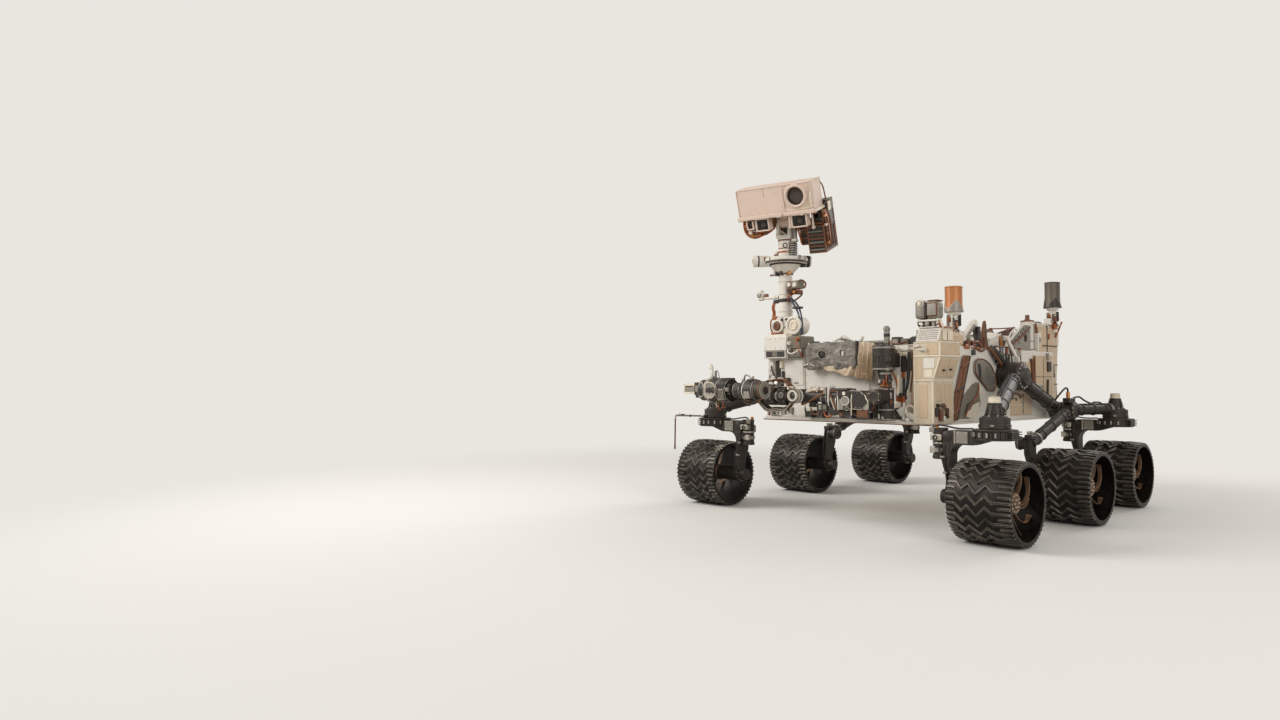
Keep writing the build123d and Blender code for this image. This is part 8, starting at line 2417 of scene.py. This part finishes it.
for x, y, radius, tall, look in ((-0.680, -0.460, 0.075, 0.014, WHITE),
        (-0.300, -0.440, 0.055, 0.020, GREY), (0.185, -0.460, 0.060, 0.016, WHITE),
        (0.700, -0.140, 0.085, 0.012, CREAM), (0.300, 0.300, 0.070, 0.018, WHITE),
        (-0.290, 0.020, 0.090, 0.010, WHITE)):
    lathe(form, [(0, radius), (tall * 0.5, radius), (tall * 0.6, radius - 0.008),
        (tall, radius - 0.010), (tall, radius * 0.45), (tall + 0.004, radius * 0.40),
        (tall + 0.004, 0)], (x, y, top + 0.002), (0, 0, 1), look, 40)
    bolt_circle(form, (x, y, top + 0.002 + tall * 0.5), radius - 0.004, 10, (0, 0, 1), 0.003,
        BRIGHT)
blocks(form, (
    (-0.840, -0.160, top, -0.620, 0.020, top + 0.046, GREY),
    (-0.600, -0.180, top, -0.520, -0.060, top + 0.030, DARK),
    (-0.840, 0.060, top, -0.700, 0.200, top + 0.034, WHITE),
    (-0.420, 0.280, top, -0.240, 0.400, top + 0.040, WHITE),
    (0.120, 0.140, top, 0.230, 0.240, top + 0.034, GREY),
    (0.600, 0.200, top, 0.780, 0.330, top + 0.050, WHITE),
    (0.620, 0.360, top, 0.720, 0.450, top + 0.036, OLIVE),
    (0.380, -0.620, top, 0.560, -0.460, top + 0.044, WHITE),
    (0.620, -0.620, top, 0.780, -0.500, top + 0.030, GREY),
    (-0.860, 0.300, top, -0.700, 0.480, top + 0.050, CREAM),
), 0.006)
for n in range(6):
    slab(form, (-0.825 + n * 0.034, -0.150, top + 0.0455), (-0.813 + n * 0.034, 0.010, top + 0.050),
        DARK, 0.001)
    slab(form, (0.392 + n * 0.028, -0.605, top + 0.0435), (0.402 + n * 0.028, -0.475, top + 0.047),
        GREY, 0.001)
for route, thick, look in (
    ([(-0.62, -0.07, 1.268), (-0.55, -0.02, 1.262), (-0.48, 0.05, 1.264), (-0.38, 0.20, 1.262),
        (-0.36, 0.29, 1.268)], 0.008, SLEEVE),
    ([(-0.24, 0.34, 1.268), (-0.16, 0.36, 1.262), (-0.13, 0.46, 1.264), (-0.12, 0.56, 1.262),
        (-0.06, 0.62, 1.266)], 0.008, AMBER),
    ([(0.23, 0.19, 1.268), (0.33, 0.18, 1.262), (0.45, 0.20, 1.262), (0.55, 0.22, 1.264),
        (0.61, 0.25, 1.268)], 0.009, SLEEVE),
    ([(0.56, -0.54, 1.268), (0.60, -0.53, 1.263), (0.63, -0.55, 1.266)], 0.007, COPPER),
    ([(0.78, -0.55, 1.266), (0.84, -0.53, 1.262), (0.88, -0.56, 1.264), (0.91, -0.58, 1.268)],
        0.009, SLEEVE),
    ([(0.67, 0.45, 1.264), (0.66, 0.49, 1.262), (0.63, 0.51, 1.264), (0.60, 0.525, 1.270)], 0.006,
        BROWN),
    ([(-0.77, 0.20, 1.264), (-0.77, 0.24, 1.260), (-0.78, 0.28, 1.262), (-0.78, 0.31, 1.270)],
        0.007, GREY),
):
    cable(form, route, thick, look)
# Washers round the four holes of the instrument pad
for x in (0.340, 0.500):
    for y in (-0.200, -0.040):
        lathe(form, band(0, 0.002, 0.0045, 0.012), (x, y, top), (0, 0, 1), BRIGHT, 20)
for y0, y1 in ((-0.640, -0.080), (0.080, 0.640)):
    slab(form, (-0.048, y0, 1.3575), (-0.002, y1, 1.3620), GREY, 0.002)
    screws(form, along((-0.025, y0 + 0.03, 1.3620), (-0.025, y1 - 0.03, 1.3620), 8), (0, 0, 1),
        0.0045, BRIGHT)
    for x in (-0.0605, 0.0065):
        slab(form, (x, y0, 1.326), (x + 0.004, y1, 1.346), DARK, 0.001)
lathe(form, [(0, 0.050), (0.004, 0.048), (0.006, 0.030), (0.014, 0.026), (0.016, 0.0)],
    (-0.025, 0, 1.3755), (0, 0, 1), GREY, 32)
bolt_circle(form, (-0.025, 0, 1.381), 0.040, 8, (0, 0, 1), 0.004, BRIGHT)
finish(form, "deck_covers", body_looks, "chassis", "white_paint")

# Whisker: a jointed contact rod on the front right tower. A grey tube runs out to a ball
# joint, and a thin brown rod hangs from it.
form = bmesh.new()
root, elbow_ball, tip = Vector((1.279, -1.190, 0.722)), Vector((1.518, -1.319, 0.730)), Vector(
    (1.522, -1.321, 0.453))
span = elbow_ball - root
drums(form, (
    (root, span, 0.030, 0.013, DARK),
    (root + span * 0.12, span, 0.014, 0.011, BRIGHT),
    (root + span * 0.50, span, 0.016, 0.0095, BLACK),
    (elbow_ball - span * 0.05, span, 0.014, 0.010, GREY),
    (tip + Vector((0, 0, 0.010)), (0, 0, 1), 0.030, 0.0072, BROWN),
))
cable(form, [root, root.lerp(elbow_ball, 0.5) + Vector((0, 0, 0.002)), elbow_ball], 0.0078, GREY)
cable(form, [elbow_ball, Vector((1.520, -1.320, 0.60)), tip + Vector((0, 0, 0.006))], 0.0062, BROWN)
for spot, radius, look in ((elbow_ball, 0.0125, WHITE),
        (elbow_ball + Vector((0.0, 0.0, -0.020)), 0.0085, BRIGHT),
        (tip + Vector((0, 0, 0.006)), 0.0065, DARK)):
    lathe(form, [(-radius, 0), (-radius * 0.7, radius * 0.7), (0, radius),
        (radius * 0.7, radius * 0.7), (radius, 0)], spot, (0, 0, 1), look, 16)
lathe(form, [(0, 0.008), (0.010, 0.008), (0.014, 0.004), (0.014, 0)],
    elbow_ball + Vector((-0.030, 0.016, 0.006)), (0.3, 0.1, 1), BRIGHT, 12)
slab(form, (-0.016, -0.006, 0.004), (0.016, 0.006, 0.012), DARK, 0.002,
    Matrix.Translation(elbow_ball + Vector((-0.055, 0.030, 0.0))) @ Matrix.Rotation(radians(-28),
    4, "Z"))
finish(form, "whisker_rods", body_looks, "chassis", "grey_metal", ("side_whisker",))

panel_paint = coated("beige panel paint", "#CBBDA4", "#E3D7C0", "#A9805A", roughness=0.62,
    dusty=0.4, edge=0.4)
cover_cloth = coated("grey quilted cover", "#8F8678", "#B3A893", "#9C7A58", roughness=0.85,
    dusty=0.4, edge=0.2)
slot_looks = {
    "white_paint": white_paint,
    "beige_panel": panel_paint,
    "grey_cover": cover_cloth,
    "dark_metal": dark_metal,
    "grey_metal": grey_metal,
    "wheel_metal": wheel_skin,
    "copper_housing": copper_paint,
}
for row in frame["record"]["subparts"]:
    part = frame["nodes"][row["node"]]
    part.data.materials.clear()
    part.data.materials.append(dusty_white if row["node"] == "mast_head"
        else slot_looks[row["material_slot"]])
